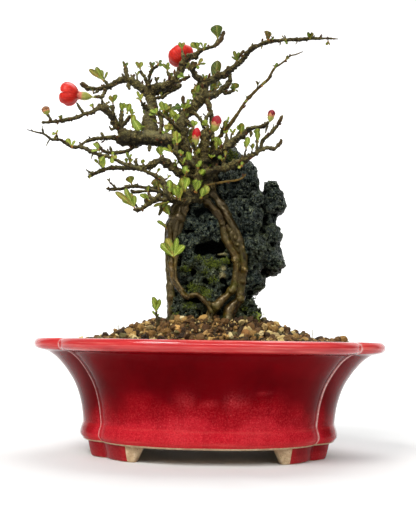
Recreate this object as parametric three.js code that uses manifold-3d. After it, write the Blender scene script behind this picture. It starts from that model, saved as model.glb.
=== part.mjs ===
// Japanese quince bonsai in a lobed, glazed pot, with its roots grown over a stone.
// Millimetres, +Z up. The origin is on the ground under the middle of the pot.
// X runs along the pot's long side, the show side faces -Y.
import * as THREE from 'three';
import Module from 'manifold-3d';
import { mergeVertices } from 'three/addons/utils/BufferGeometryUtils.js';

const wasm = await Module();
wasm.setup();

// ---------------------------------------------------------------- dimensions
const GAP = 0.3;              // clearance between pieces that touch
const RIM_HALF_X = 133.6;      // half width over the lip
const RIM_HALF_Y = 104;       // half depth over the lip
const CREASE_U = 0.81;        // corner creases, as a share of the half width
const CREASE_V = 0.475;       // and of the half depth
const LOBE_ANGLE = 78 * Math.PI / 180;
const GROOVE = 0.018;         // soft groove in the middle of each long side
const FLOOR_UNDER = 11;       // underside of the floor above the ground
const FLOOR_TOP = 18;
const WALL = 7;
const DRAIN_X = 42, DRAIN_R = 9;
const DRAINAGE_TOP = 28;
const SOIL_EDGE = 80.5, SOIL_RISE = 23;
const FOOT_DEPTH = 11;

// outer profile: height, half width
const OUTER = [
  [11, 91.5], [12.4, 95.2], [15.3, 97.2], [19.5, 96.8], [24, 95.4], [28.5, 95.7],
  [40, 97.8], [52, 102], [62, 108.2], [70, 115], [74.2, 120.2], [76.6, 124.8], [77.6, 129.4], [79.4, 132.7],
  [81.7, 133.6], [84, 132.8], [85.5, 130.9], [86, 128.6],
];
const INNER = [[86, 126], [84.4, 123.2], [77, 115], [67, 104.9], [54, 96], [40, 90.6], [25, 88], [18, 85]];

// ---------------------------------------------------------------- helpers
function halfY(a) { return 77 + (a - 96) * (RIM_HALF_Y - 77) / (RIM_HALF_X - 96); }

// plan of the pot: s runs 0..4, one unit per lobe, starting at the front left crease
function plan(s) {
  s = ((s % 4) + 4) % 4;
  const k = Math.floor(s), a = ((s - k) * 2 - 1) * LOBE_ANGLE;
  const sn = Math.sin(a) / Math.sin(LOBE_ANGLE);
  const cs = (Math.cos(a) - Math.cos(LOBE_ANGLE)) / (1 - Math.cos(LOBE_ANGLE));
  if (k === 0 || k === 2) {
    const x = CREASE_U * sn;
    const y = (CREASE_V + (1 - CREASE_V) * cs) * (1 - GROOVE * Math.exp(-((x / 0.1) ** 2)));
    return k === 0 ? [x, -y] : [-x, y];
  }
  const y = CREASE_V * sn, x = CREASE_U + (1 - CREASE_U) * cs;
  return k === 1 ? [x, y] : [-x, -y];
}
const LONG_SEGS = 12, END_SEGS = 8;
const PLAN_S = [];
for (let k = 0; k < 4; k++) {
  const n = k % 2 ? END_SEGS : LONG_SEGS;
  for (let i = 0; i < n; i++) PLAN_S.push(k + i / n);
}
function planRing(a, z, list = PLAN_S) {
  const b = halfY(a);
  return list.map((s) => { const [u, v] = plan(s); return [u * a, v * b, z]; });
}

function geom(verts, tris) {
  const g = new THREE.BufferGeometry();
  g.setAttribute('position', new THREE.Float32BufferAttribute(verts.flat(), 3));
  g.setIndex(tris.flat());
  return g;
}
// a closed skin through rings of equal count; bottom and top are points or null for a flat fan
function loft(rings, bottom = null, top = null) {
  const n = rings[0].length, verts = [], tris = [];
  rings.forEach((r) => r.forEach((p) => verts.push([...p])));
  for (let j = 0; j + 1 < rings.length; j++) {
    for (let i = 0; i < n; i++) {
      const a = j * n + i, b = j * n + (i + 1) % n, c = a + n, d = b + n;
      tris.push([a, b, d], [a, d, c]);
    }
  }
  const mid = (r) => [0, 1, 2].map((k) => r.reduce((t, p) => t + p[k], 0) / r.length);
  const lo = verts.push(bottom ?? mid(rings[0])) - 1;
  const hi = verts.push(top ?? mid(rings[rings.length - 1])) - 1;
  const last = (rings.length - 1) * n;
  for (let i = 0; i < n; i++) {
    tris.push([lo, (i + 1) % n, i]);
    tris.push([hi, last + i, last + (i + 1) % n]);
  }
  return geom(verts, tris);
}
function solid(g, matrix = null) {
  const h = g.index ? g.clone() : g.clone();
  if (matrix) h.applyMatrix4(matrix);
  h.deleteAttribute('normal'); h.deleteAttribute('uv');
  const m = mergeVertices(h, 1e-4);
  const tri = new Uint32Array(m.index.array), pos = new Float32Array(m.attributes.position.array);
  const made = () => new wasm.Manifold(new wasm.Mesh({ numProp: 3, vertProperties: pos, triVerts: tri }));
  let s = made();
  if (s.volume() < 0) {               // wound the other way round: turn every face
    for (let i = 0; i < tri.length; i += 3) { const t = tri[i]; tri[i] = tri[i + 1]; tri[i + 1] = t; }
    s = made();
  }
  return s;
}
function back(s) {
  const m = s.getMesh(), g = new THREE.BufferGeometry();
  g.setAttribute('position', new THREE.BufferAttribute(new Float32Array(m.vertProperties), 3));
  g.setIndex(new THREE.BufferAttribute(new Uint32Array(m.triVerts), 1));
  return g;
}
function largest(s) {
  const parts = s.decompose();
  return parts.reduce((a, b) => (b.volume() > a.volume() ? b : a));
}
function union(list) {
  while (list.length > 1) {
    const next = [];
    for (let i = 0; i < list.length; i += 2) next.push(i + 1 < list.length ? list[i].add(list[i + 1]) : list[i]);
    list = next;
  }
  return list[0];
}
const V = (x, y, z) => new THREE.Vector3(x, y, z);

// tapered stem through points [x, y, z, r], with a parallel frame and a short blunt point at each end
function stem(pts, grow = 0, sides = 0) {
  const P = pts.map((p) => V(p[0], p[1], p[2])), n = P.length;
  const rmax = Math.max(...pts.map((p) => p[3]));
  const N = sides || (rmax > 4.4 ? 6 : rmax > 2.1 ? 5 : 4);
  const T = P.map((p, i) => P[Math.min(i + 1, n - 1)].clone().sub(P[Math.max(i - 1, 0)]).normalize());
  let u = V(0, 0, 1); if (Math.abs(T[0].z) > 0.85) u = V(1, 0, 0);
  u.sub(T[0].clone().multiplyScalar(u.dot(T[0]))).normalize();
  const rings = [];
  for (let i = 0; i < n; i++) {
    if (i) u = u.clone().sub(T[i].clone().multiplyScalar(u.dot(T[i]))).normalize();
    const w = T[i].clone().cross(u), r = pts[i][3] + grow, ring = [];
    for (let k = 0; k < N; k++) {
      const a = 2 * Math.PI * k / N;
      const q = P[i].clone().addScaledVector(u, r * Math.cos(a)).addScaledVector(w, r * Math.sin(a));
      ring.push([q.x, q.y, q.z]);
    }
    rings.push(ring);
  }
  const e0 = P[0].clone().addScaledVector(T[0], -(pts[0][3] * 0.35 + grow));
  const e1 = P[n - 1].clone().addScaledVector(T[n - 1], pts[n - 1][3] * 0.35 + grow);
  return solid(loft(rings, [e0.x, e0.y, e0.z], [e1.x, e1.y, e1.z]));
}
// steady pseudo random number from integers
function rnd(i, j = 0) { const t = Math.sin(i * 127.1 + j * 311.7 + 17.3) * 43758.5453; return t - Math.floor(t); }

const model = new THREE.Group();
function piece(name, s, color, roughness, metalness = 0) {
  const m = new THREE.Mesh(s.isBufferGeometry ? s : back(s), new THREE.MeshStandardMaterial({ color, roughness, metalness }));
  m.name = name;
  model.add(m);
  return m;
}

// ---------------------------------------------------------------- pot
const outside = loft(OUTER.map(([z, a]) => planRing(a, z)), [0, 0, FLOOR_UNDER], [0, 0, 86]);
const inside = loft([...INNER].reverse().map(([z, a]) => planRing(a, z)).concat([planRing(126, 95)]), [0, 0, FLOOR_TOP], [0, 0, 95]);
// four corner feet that follow the wall round each crease
function foot(k) {
  // k is the crease number; the foot reaches along the long side and along the end
  const longSide = k % 2 === 0 ? 1 : -1;
  const reachLong = 0.243, reachEnd = 0.345;
  const s0 = longSide > 0 ? k - reachEnd : k - reachLong;
  const s1 = longSide > 0 ? k + reachLong : k + reachEnd;
  const n = 8, rings = [];
  for (let i = 0; i <= n; i++) {
    const s = i < n / 2 ? s0 + (k - s0) * i * 2 / n : k + (s1 - k) * (i * 2 / n - 1);
    const [u, v] = plan(s);
    const zTop = FLOOR_UNDER + 1.6;
    const at = (off, z) => { const a = 93.6 - off; return [u * a, v * halfY(a) , z]; };
    const zb = 0;
    rings.push([at(0, zTop), at(2.6, zb), at(2.6 + FOOT_DEPTH - 3, zb), at(FOOT_DEPTH, zTop)]);
  }
  // pull the two end rings so the end faces are oblique
  const slope = (ring, next) => { for (const q of [1, 2]) for (let c = 0; c < 2; c++) ring[q][c] += (next[q][c] - ring[q][c]) * 0.6; };
  slope(rings[0], rings[1]); slope(rings[n], rings[n - 1]);
  return solid(loft(rings));
}
const hole = (x) => solid(new THREE.CylinderGeometry(DRAIN_R, DRAIN_R, 30, 20), new THREE.Matrix4().makeRotationX(Math.PI / 2).setPosition(x, 0, 12));
let pot = solid(outside).subtract(solid(inside));
pot = union([pot, foot(0), foot(1), foot(2), foot(3)]);
pot = pot.subtract(hole(-DRAIN_X)).subtract(hole(DRAIN_X));
piece('pot', largest(pot), 0x8f0a18, 0.16);

// ---------------------------------------------------------------- drainage screens and their clips
const SCREEN = 27, SCREEN_T = 1.1, SCREEN_Z = FLOOR_TOP + GAP;
function screen(x) {
  // crossed strands
  const n = 4, pitch = (SCREEN - 1.6) / (n - 1), bars = [];
  for (let i = 0; i < n; i++) {
    const c = -SCREEN / 2 + 0.8 + pitch * i;
    bars.push(solid(new THREE.BoxGeometry(1.6, SCREEN, SCREEN_T), new THREE.Matrix4().makeTranslation(x + c, 0, SCREEN_Z + SCREEN_T / 2)));
    bars.push(solid(new THREE.BoxGeometry(SCREEN, 1.6, SCREEN_T), new THREE.Matrix4().makeTranslation(x, c, SCREEN_Z + SCREEN_T / 2)));
  }
  return union(bars);
}
// the clip: a wire with a bridge on the mesh, two legs down through the hole and feet that spring out under the floor
function clipPoints(x) {
  const z1 = SCREEN_Z + SCREEN_T + 0.7 + GAP, z0 = FLOOR_UNDER - 1.1, c = (SCREEN - 1.6) / 4.4;
  return [[x - 14.5, 0, z0, 0.6], [x - c - 1.6, 0, z0, 0.6], [x - c, 0, z0 + 1.6, 0.6], [x - c, 0, z1 - 0.8, 0.6], [x - c + 0.8, 0, z1, 0.6],
    [x + c - 0.8, 0, z1, 0.6], [x + c, 0, z1 - 0.8, 0.6], [x + c, 0, z0 + 1.6, 0.6], [x + c + 1.6, 0, z0, 0.6], [x + 14.5, 0, z0, 0.6]];
}
const screens = [-DRAIN_X, DRAIN_X].map(screen);
const clips = [-DRAIN_X, DRAIN_X].map((x) => stem(clipPoints(x), 0, 6));
const clipsFat = [-DRAIN_X, DRAIN_X].map((x) => stem(clipPoints(x), GAP, 6));
const slab = (x, h) => solid(new THREE.BoxGeometry(SCREEN + 2 * GAP, SCREEN + 2 * GAP, h), new THREE.Matrix4().makeTranslation(x, 0, SCREEN_Z + SCREEN_T + GAP - h / 2));
['left', 'right'].forEach((side, i) => {
  piece(`drain_screen_${side}`, largest(screens[i]), 0x24282a, 0.7);
  piece(`screen_clip_${side}`, largest(clips[i]), 0x6b5a48, 0.5, 0.6);
});

// ---------------------------------------------------------------- tree: trunk strands, roots, limbs and twigs [x, y, z, radius]
const BRANCHES = [
  ['strandA', [[-10.0, -22.7, 194.8, 2.99], [-0.9, -23.9, 186.8, 2.98], [5.7, -24.0, 178.1, 2.83], [10.4, -24.5, 163.0, 2.83], [18.4, -23.7, 149.7, 2.98], [19.5, -23.1, 144.5, 3.13], [17.3, -22.0, 125.8, 3.29], [2.5, -24.5, 109.8, 3.28], [-1.0, -24.8, 96.3, 3.54], [-1.1, -26.0, 82.3, 2.65]]],
  ['strandB', [[-5.6, -21.3, 199.7, 2.99], [0.5, -21.3, 196.0, 2.81], [10.9, -24.2, 182.0, 2.98], [21.1, -25.8, 160.8, 3.34], [23.8, -26.3, 150.3, 3.34], [23.0, -21.2, 121.4, 2.62], [14.5, -22.8, 106.3, 4.11], [13.1, -23.7, 96.6, 4.47], [14.2, -24.8, 82.6, 3.36]]],
  ['strandD', [[11.4, -24.2, 172.2, 2.05], [16.7, -24.9, 162.3, 2.98], [21.0, -25.5, 151.8, 2.23]]],
  ['strandC', [[18.7, -20.8, 138.6, 1.87], [20.3, -21.2, 123.6, 2.62], [22.7, -20.8, 113.9, 1.87]]],
  ['rootL1', [[-10.0, -24.0, 191.6, 2.24], [-26.5, -24.4, 188.2, 2.02], [-29.4, -23.4, 184.5, 1.91], [-29.4, -22.0, 180.1, 1.87], [-32.2, -22.0, 169.5, 2.53], [-30.0, -22.6, 156.6, 2.08], [-30.2, -24.7, 142.8, 1.79], [-28.3, -26.5, 130.8, 1.83], [-25.2, -27.0, 125.6, 1.86], [-18.4, -28.0, 118.2, 1.90], [-10.2, -29.3, 119.4, 1.98], [-6.5, -30.0, 116.8, 1.99], [0.3, -30.0, 105.8, 1.99]]],
  ['rootL2', [[-19.8, -23.0, 190.8, 2.61], [-27.4, -16.0, 181.0, 3.39], [-32.5, -14.0, 169.7, 3.21], [-33.0, -13.0, 149.9, 2.27], [-30.1, -12.0, 115.8, 3.41], [-29.3, -12.0, 93.1, 3.41], [-31.6, -12.6, 79.1, 2.56]]],
  ['rootL3', [[-27.4, -25.0, 160.1, 1.86], [-25.8, -25.8, 152.6, 1.57], [-26.5, -27.0, 133.7, 1.30], [-20.7, -28.0, 121.9, 1.48]]],
  ['rootL4', [[-23.5, -24.0, 189.1, 2.24], [-27.4, -25.0, 160.1, 1.49]]],
  ['T1', [[-7.0, -25.0, 194.5, 5.58], [-11.7, -23.0, 201.6, 5.22], [-20.2, -16.0, 226.7, 4.15], [-25.0, -10.0, 251.4, 3.80], [-23.6, -8.0, 258.6, 4.01], [-13.7, -4.0, 269.3, 4.22], [-10.3, -2.0, 275.9, 3.85], [-8.5, 0.0, 282.1, 3.47], [-10.2, 0.0, 290.9, 2.32]]],
  ['T2', [[-3.3, -23.0, 198.7, 4.85], [-7.2, -23.0, 227.7, 3.73], [-5.5, -21.0, 244.4, 2.99], [-5.9, -21.0, 246.7, 1.50]]],
  ['T3', [[-4.8, -22.0, 197.3, 4.49], [-1.1, -18.0, 202.6, 4.14], [-0.5, -15.0, 214.0, 4.53], [1.6, -12.0, 231.7, 3.41], [0.7, -11.0, 238.2, 2.66]]],
  ['T4', [[-22.8, -24.0, 191.4, 3.35], [-19.0, -25.0, 193.5, 4.47], [-9.3, -25.0, 195.2, 5.21]]],
  ['T5', [[-12.2, -30.0, 195.9, 3.32], [-11.0, -29.0, 212.7, 2.40], [-14.4, -26.0, 231.6, 1.11]]],
  ['B1', [[-19.8, -17.0, 228.0, 3.77], [-26.7, -18.0, 233.9, 4.32], [-32.9, -18.0, 236.5, 4.51], [-48.2, -18.0, 238.2, 4.70], [-69.8, -16.0, 239.1, 4.52]]],
  ['B1a', [[-68.4, -16.0, 242.2, 3.39], [-80.0, -25.0, 256.9, 2.60], [-87.4, -28.0, 261.8, 1.67]]],
  ['B1a2', [[-83.0, -26.0, 259.7, 1.86], [-87.3, -28.0, 258.7, 1.67], [-91.3, -31.0, 255.2, 1.55], [-106.8, -37.0, 248.1, 1.24], [-126.6, -42.0, 244.0, 0.73]]],
  ['B1a3', [[-97.0, -33.0, 253.1, 0.96], [-102.0, -36.0, 260.6, 0.55]]],
  ['B1b', [[-77.2, -22.0, 253.1, 1.27], [-76.5, -24.0, 262.7, 0.89]]],
  ['B1c', [[-71.4, -18.0, 247.9, 1.28], [-69.9, -20.0, 259.9, 0.90]]],
  ['B1c2', [[-69.7, -19.0, 247.7, 1.20], [-63.4, -24.0, 254.7, 0.82]]],
  ['B1d', [[-71.1, -18.0, 236.3, 1.88], [-75.5, -20.0, 238.5, 1.72], [-87.7, -26.0, 236.2, 1.49], [-94.0, -29.0, 233.9, 1.41], [-101.0, -32.0, 228.2, 1.25], [-105.1, -34.0, 227.7, 1.10], [-113.6, -38.0, 232.3, 0.88], [-119.1, -40.0, 231.9, 0.73], [-124.8, -42.0, 235.4, 0.62], [-136.6, -46.0, 237.6, 0.55]]],
  ['B1e', [[-100.2, -32.0, 228.6, 1.18], [-84.4, -32.0, 222.7, 1.10], [-56.9, -27.0, 213.9, 1.41]]],
  ['B1f', [[-56.6, -17.0, 236.0, 1.66], [-65.0, -16.0, 229.4, 1.28], [-77.4, -14.0, 227.7, 1.13], [-83.7, -13.0, 229.4, 1.06], [-89.8, -12.0, 236.5, 0.83]]],
  ['B1g', [[-48.5, -18.0, 234.3, 1.35], [-48.6, -20.0, 228.5, 0.97]]],
  ['B2', [[-17.0, -21.0, 204.9, 4.12], [-36.0, -27.0, 219.2, 2.67], [-39.3, -28.0, 220.1, 2.52], [-51.0, -26.0, 214.6, 2.08], [-76.5, -20.0, 214.9, 1.65], [-82.0, -18.0, 214.3, 1.50], [-95.4, -13.0, 209.0, 0.76]]],
  ['B2b', [[-56.9, -27.0, 213.5, 1.26], [-36.8, -35.0, 203.3, 1.83], [-34.3, -36.0, 193.8, 1.83]]],
  ['B2b2', [[-34.3, -36.0, 194.5, 1.83], [-27.0, -32.0, 189.7, 1.77], [-22.6, -30.0, 188.9, 1.70]]],
  ['B3', [[-31.5, -31.0, 189.2, 1.84], [-41.1, -21.0, 198.8, 1.57], [-59.3, -12.0, 202.5, 1.37], [-71.4, -6.0, 201.2, 1.07], [-82.4, -1.0, 202.3, 0.69]]],
  ['B3b', [[-36.7, -25.0, 193.6, 1.56], [-41.4, -29.0, 196.5, 1.41], [-58.7, -32.0, 194.8, 1.10], [-60.6, -32.0, 196.3, 0.81]]],
  ['B3c', [[-33.0, -31.0, 189.1, 1.48], [-36.8, -27.0, 186.9, 1.30], [-39.7, -27.0, 178.5, 0.89]]],
  ['B4', [[-16.7, -27.0, 189.9, 2.60], [-28.5, -30.0, 189.0, 1.85], [-40.1, -36.0, 188.5, 1.46], [-51.4, -42.0, 181.2, 1.52], [-57.7, -45.0, 179.4, 0.94]]],
  ['B4a', [[-43.7, -38.0, 187.4, 1.46], [-47.3, -36.0, 193.6, 1.10]]],
  ['B4b', [[-43.7, -38.0, 187.4, 1.46], [-40.5, -37.0, 190.5, 1.46], [-39.5, -35.0, 193.5, 1.32]]],
  ['B5', [[-47.0, -14.0, 240.7, 5.29], [-49.8, -6.0, 257.5, 4.97], [-49.4, 1.0, 273.7, 3.67], [-51.6, 3.0, 279.4, 3.49], [-57.0, 5.0, 284.3, 3.30], [-66.8, 7.0, 290.9, 2.73], [-73.3, 8.0, 291.9, 2.42], [-87.0, 11.0, 285.6, 1.80], [-93.5, 12.0, 285.1, 1.57], [-100.9, 13.0, 285.9, 1.34], [-107.6, 14.0, 289.8, 0.79]]],
  ['B5b', [[-86.2, 11.0, 285.6, 1.25], [-89.1, 7.0, 276.7, 0.94], [-94.7, 4.0, 276.2, 0.70]]],
  ['B5d', [[-68.9, 8.0, 292.3, 1.41], [-72.3, 6.0, 306.0, 0.62]]],
  ['B5g', [[-68.4, 7.0, 289.6, 1.33], [-66.9, 6.0, 283.3, 0.86]]],
  ['B5r', [[-50.3, 2.0, 277.2, 3.10], [-48.7, 1.0, 280.9, 3.25], [-45.5, 0.0, 283.1, 3.24], [-38.4, -2.0, 284.3, 3.08], [-32.9, -3.0, 287.3, 2.92], [-19.0, -7.0, 305.9, 2.44], [-10.5, -9.0, 311.0, 1.60], [-1.2, -10.0, 314.2, 1.29], [1.9, -11.0, 316.2, 1.44], [3.1, -11.0, 319.0, 1.14]]],
  ['B5r2', [[-34.1, -2.0, 287.5, 1.31], [-37.1, 0.0, 296.5, 0.77]]],
  ['B5r3', [[-23.3, -7.0, 302.3, 1.22], [-25.3, -9.0, 310.8, 0.69]]],
  ['B5r4', [[-30.5, -4.0, 287.8, 1.53], [-28.9, -6.0, 286.5, 1.38], [-18.7, -10.0, 289.8, 0.91]]],
  ['B5s', [[-48.1, 4.0, 279.4, 2.33], [-42.8, 8.0, 283.4, 2.58], [-31.2, 15.0, 287.6, 2.56], [-27.3, 18.0, 291.0, 1.98]]],
  ['B5t', [[-50.8, 3.0, 280.6, 1.94], [-53.7, 2.0, 290.8, 1.39], [-58.1, 1.0, 297.3, 0.85]]],
  ['B5u', [[-50.2, 0.0, 281.4, 1.93], [-50.5, -5.0, 291.2, 1.38], [-48.5, -7.0, 295.5, 1.15], [-42.7, -9.0, 299.7, 0.69]]],
  ['B5w', [[-48.1, -4.0, 266.8, 1.76], [-52.5, -8.0, 264.9, 1.68], [-56.4, -14.0, 269.5, 1.06]]],
  ['B5x', [[-48.5, 0.0, 273.8, 1.16], [-39.5, -7.0, 274.2, 0.84], [-34.4, -10.0, 276.5, 0.68]]],
  ['B5y', [[-47.8, -8.0, 264.1, 1.68], [-42.9, -12.0, 260.0, 1.59], [-39.8, -16.0, 252.8, 1.66], [-41.3, -20.0, 241.7, 1.50]]],
  ['B5z', [[-23.2, -12.0, 242.3, 1.74], [-29.2, -20.0, 248.1, 1.50], [-42.1, -26.0, 257.3, 1.11]]],
  ['B6t', [[-9.4, -1.0, 288.2, 2.70], [-16.9, -6.0, 295.1, 1.91], [-18.1, -8.0, 298.8, 1.60], [-16.6, -9.0, 302.1, 1.37]]],
  ['B6t2', [[-17.3, -8.0, 295.6, 1.75], [-13.8, -9.0, 301.8, 1.14]]],
  ['B6r', [[-7.8, 0.0, 286.1, 2.86], [11.7, -6.0, 295.9, 2.37], [27.5, -15.0, 309.7, 1.81], [37.3, -19.0, 314.1, 1.58], [57.5, -25.0, 315.4, 1.27], [93.5, -30.0, 314.8, 0.55]]],
  ['B6r9', [[17.8, -8.0, 301.0, 1.30], [17.2, -8.0, 303.0, 0.92]]],
  ['B6q', [[-9.2, 0.0, 274.8, 2.70], [0.2, 4.0, 279.5, 2.56], [9.7, 8.0, 287.1, 2.19], [12.3, 9.0, 290.6, 2.03], [12.3, 11.0, 299.0, 1.41]]],
  ['B6q2', [[6.6, 6.0, 283.2, 1.32], [10.6, 6.0, 281.6, 1.17], [16.5, 5.0, 283.9, 0.78]]],
  ['B6v', [[0.8, -12.0, 235.6, 1.90], [-1.1, -6.0, 258.3, 1.76], [-5.2, -2.0, 273.6, 2.08]]],
  ['B6v2', [[-1.9, -7.0, 262.0, 1.30], [-5.0, -10.0, 258.0, 1.14], [-6.4, -13.0, 251.7, 0.83]]],
  ['B6u', [[-18.2, -8.0, 261.4, 1.53], [-14.3, -11.0, 260.3, 1.44], [-11.1, -13.0, 256.7, 1.21], [-7.5, -15.0, 248.1, 1.06]]],
  ['B6w', [[-22.5, -10.0, 263.2, 1.37], [-23.3, -12.0, 268.2, 0.99]]],
  ['B7', [[0.8, -12.5, 233.9, 1.89], [2.6, -16.0, 238.3, 1.73], [23.6, -28.0, 265.1, 1.26], [40.7, -36.0, 281.2, 1.02], [45.3, -38.0, 289.1, 0.88], [56.6, -41.0, 297.7, 0.58], [65.7, -43.0, 300.4, 0.55]]],
  ['B7a', [[6.0, -18.0, 242.9, 1.13], [11.1, -22.0, 252.5, 0.55]]],
  ['B8', [[-0.6, -17.0, 222.9, 2.82], [3.1, -20.0, 227.0, 2.62], [12.8, -25.0, 233.0, 2.46], [26.1, -28.0, 244.0, 1.85], [38.0, -30.0, 247.2, 1.11], [41.4, -30.0, 249.9, 0.96]]],
  ['B8a', [[26.9, -28.0, 244.0, 1.26], [28.1, -28.0, 238.7, 0.74]]],
  ['B8e', [[8.3, -23.0, 230.3, 1.64], [10.5, -24.0, 238.5, 1.34], [9.7, -24.0, 241.2, 1.12]]],
  ['B9', [[-9.5, -27.0, 208.6, 2.97], [1.7, -32.0, 212.7, 2.65], [9.1, -33.0, 213.8, 2.57], [27.7, -31.0, 222.8, 1.92], [35.7, -29.0, 229.0, 1.55]]],
  ['B9a', [[34.9, -29.0, 227.9, 1.48], [37.0, -30.0, 235.7, 1.33], [43.2, -32.0, 240.8, 1.03], [50.5, -34.0, 250.6, 0.55]]],
  ['B9b', [[35.3, -29.0, 228.3, 1.18], [39.8, -28.0, 230.6, 1.11], [46.0, -26.0, 230.2, 0.97], [51.7, -25.0, 238.2, 0.55]]],
  ['B9c', [[33.2, -30.0, 226.9, 0.89], [32.7, -33.0, 240.3, 0.55]]],
  ['B10', [[-8.6, -28.0, 199.3, 1.56], [-0.4, -33.0, 201.3, 1.10], [18.8, -36.0, 204.4, 0.88], [24.7, -37.0, 208.8, 0.55]]],
  ['B10b', [[6.9, -32.0, 212.4, 1.47], [8.4, -32.0, 216.2, 1.25], [5.3, -30.0, 223.4, 0.96]]],
  ['B12', [[-15.6, -24.0, 210.5, 2.24], [-23.8, -32.0, 217.6, 1.62], [-30.1, -37.0, 225.6, 1.17]]],
  ['B12a', [[-25.6, -34.0, 222.1, 1.25], [-27.6, -35.0, 230.9, 0.88]]],
  ['B12b', [[-14.1, -28.0, 214.4, 1.48], [-17.8, -34.0, 218.8, 0.95]]],
  ['B12c', [[-13.9, -27.0, 207.0, 1.63], [-19.1, -34.0, 209.0, 1.10]]],
  ['B14', [[-23.9, -9.0, 256.0, 1.30], [-15.5, -19.0, 248.6, 0.98], [-15.6, -21.0, 244.2, 0.75]]],
  ['B15', [[-5.4, -22.0, 238.0, 1.05], [-3.5, -25.0, 239.3, 0.89], [0.4, -28.0, 244.0, 0.74]]],
  ['K1', [[-13.4, -19.0, 209.9, 3.38], [-12.8, -10.0, 216.3, 3.42], [-7.7, 8.0, 227.8, 3.12], [-0.5, 26.0, 233.1, 2.96], [7.9, 42.0, 228.1, 2.62], [16.6, 54.0, 223.7, 2.24], [23.7, 62.0, 216.7, 1.68], [29.2, 68.0, 207.4, 0.85]]],
  ['K1a', [[9.6, 44.0, 227.7, 2.05], [13.2, 50.0, 219.5, 1.65], [8.6, 58.0, 201.3, 0.67]]],
  ['K1b', [[21.9, 60.0, 218.0, 1.51], [28.8, 64.0, 222.3, 1.10], [33.1, 66.0, 229.6, 0.59]]],
  ['K2', [[-18.5, -17.0, 221.8, 3.39], [-20.7, -8.0, 225.9, 3.43], [-22.8, 8.0, 235.6, 3.12], [-21.8, 22.0, 246.8, 2.95], [-27.1, 34.0, 251.0, 2.67], [-46.3, 54.0, 253.5, 1.66], [-57.0, 62.0, 256.0, 0.92]]],
  ['K2a', [[-28.8, 36.0, 251.4, 1.87], [-30.8, 42.0, 261.2, 1.55], [-39.8, 50.0, 275.8, 0.66]]],
  ['K2b', [[-44.5, 52.0, 253.1, 1.58], [-51.3, 52.0, 258.1, 1.33], [-54.1, 54.0, 265.4, 1.00], [-53.6, 56.0, 272.8, 0.58]]],
  ['K3', [[-23.6, -8.0, 256.6, 2.67], [-23.1, 0.0, 259.4, 2.70], [-18.8, 16.0, 268.3, 2.53], [-13.5, 30.0, 278.7, 2.25], [-8.8, 42.0, 289.6, 1.88], [2.1, 56.0, 299.7, 0.83]]],
  ['K3a', [[-8.8, 42.0, 288.7, 1.55], [-8.1, 46.0, 298.4, 1.23], [-10.7, 48.0, 305.8, 0.74]]],
  ['K4', [[-22.2, 14.0, 191.7, 2.36], [-12.9, 30.0, 196.7, 2.25], [-4.8, 40.0, 194.2, 2.04], [8.8, 58.0, 183.4, 1.00]]],
  ['R1', [[-10.1, -23.0, 198.6, 2.99], [-18.5, -14.0, 196.9, 3.03], [-24.2, -2.0, 194.8, 2.85], [-22.1, 8.5, 190.9, 2.81], [-14.2, 19.8, 184.6, 2.78], [-6.1, 28.9, 172.9, 2.65], [-5.0, 33.8, 157.2, 2.51], [-7.2, 34.1, 140.9, 2.51], [-1.9, 32.2, 113.3, 2.83], [-1.8, 30.6, 103.6, 2.98], [-1.9, 32.1, 89.6, 2.24]]],
  ['R2', [[-22.1, 8.5, 191.7, 2.58], [1.7, 26.4, 189.8, 2.40], [13.2, 31.0, 184.1, 2.26], [20.7, 30.8, 173.6, 2.26], [23.2, 29.8, 160.5, 2.25], [18.7, 27.2, 129.5, 2.24], [23.7, 26.0, 115.0, 2.40], [25.5, 28.0, 103.9, 2.57], [27.5, 29.4, 89.9, 1.93]]],
  ['R3', [[-16.7, -25.0, 192.8, 2.60], [-23.1, -13.0, 191.9, 2.50], [-27.2, -1.0, 188.6, 2.39], [-28.1, 7.7, 179.6, 2.34], [-28.9, 12.6, 167.4, 2.20], [-29.9, 12.5, 140.5, 2.20], [-28.9, 14.4, 124.8, 2.28], [-27.2, 18.1, 112.4, 2.38], [-26.2, 18.0, 101.3, 2.53], [-28.3, 18.9, 87.3, 1.90]]],
];
const wood = (grow) => union(BRANCHES.map(([, pts]) => stem(pts, grow)));
const tree = largest(wood(0));
const treeFat = wood(GAP);

// ---------------------------------------------------------------- stone: overlapping lobes [x, y, z, rx, ry, rz]
const LOBES = [
  [0, 4, 135, 31, 28, 42],
  [8, 4, 165, 36, 28, 34],
  [-17, 0, 156, 15.5, 22, 40],
  [-15, 2, 112, 17.5, 25, 22],
  [16, 4, 196, 25, 24, 32],
  [13, 4, 222, 11, 15, 15],
  [26, 0, 209, 11.5, 17, 16],
  [46, -2, 194, 11.5, 14, 13.5],
  [42, 0, 178, 9, 15, 12],
  [43, 0, 162, 11.5, 18, 13],
  [44, -2, 147, 12.5, 17, 12],
  [30, 0, 133, 13, 20, 11],
  [25, 2, 124, 10.5, 20, 8],
  [22, 2, 103, 16, 22, 17],
  [2, 4, 92, 33, 29, 22],
  [-6, -13, 184, 14, 12, 14],
  [22, -16, 182, 16, 11, 20],
  [28, -14, 152, 14, 13, 18],
  [-10, -15, 150, 13, 12, 13],
  [0, -14, 118, 17, 12, 13],
  [0, 20, 150, 24, 15, 30],
  [16, 19, 190, 19, 13, 25],
  [-5, 18, 115, 22, 14, 20],
  [26, 14, 160, 16, 14, 22],
];
function lobeReach(ox, oy, z, dx, dy) {
  let best = 6;
  for (const [x, y, zz, a, b, c] of LOBES) {
    const h = 1 - ((z - zz) / c) ** 2;
    if (h <= 0) continue;
    const A = (dx / a) ** 2 + (dy / b) ** 2, ex = (ox - x) / a, ey = (oy - y) / b;
    const B = 2 * (ex * dx / a + ey * dy / b), C = ex * ex + ey * ey - h, D = B * B - 4 * A * C;
    if (D < 0) continue;
    const t = (-B + Math.sqrt(D)) / (2 * A);
    if (t > best) best = t;
  }
  return best;
}
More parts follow.
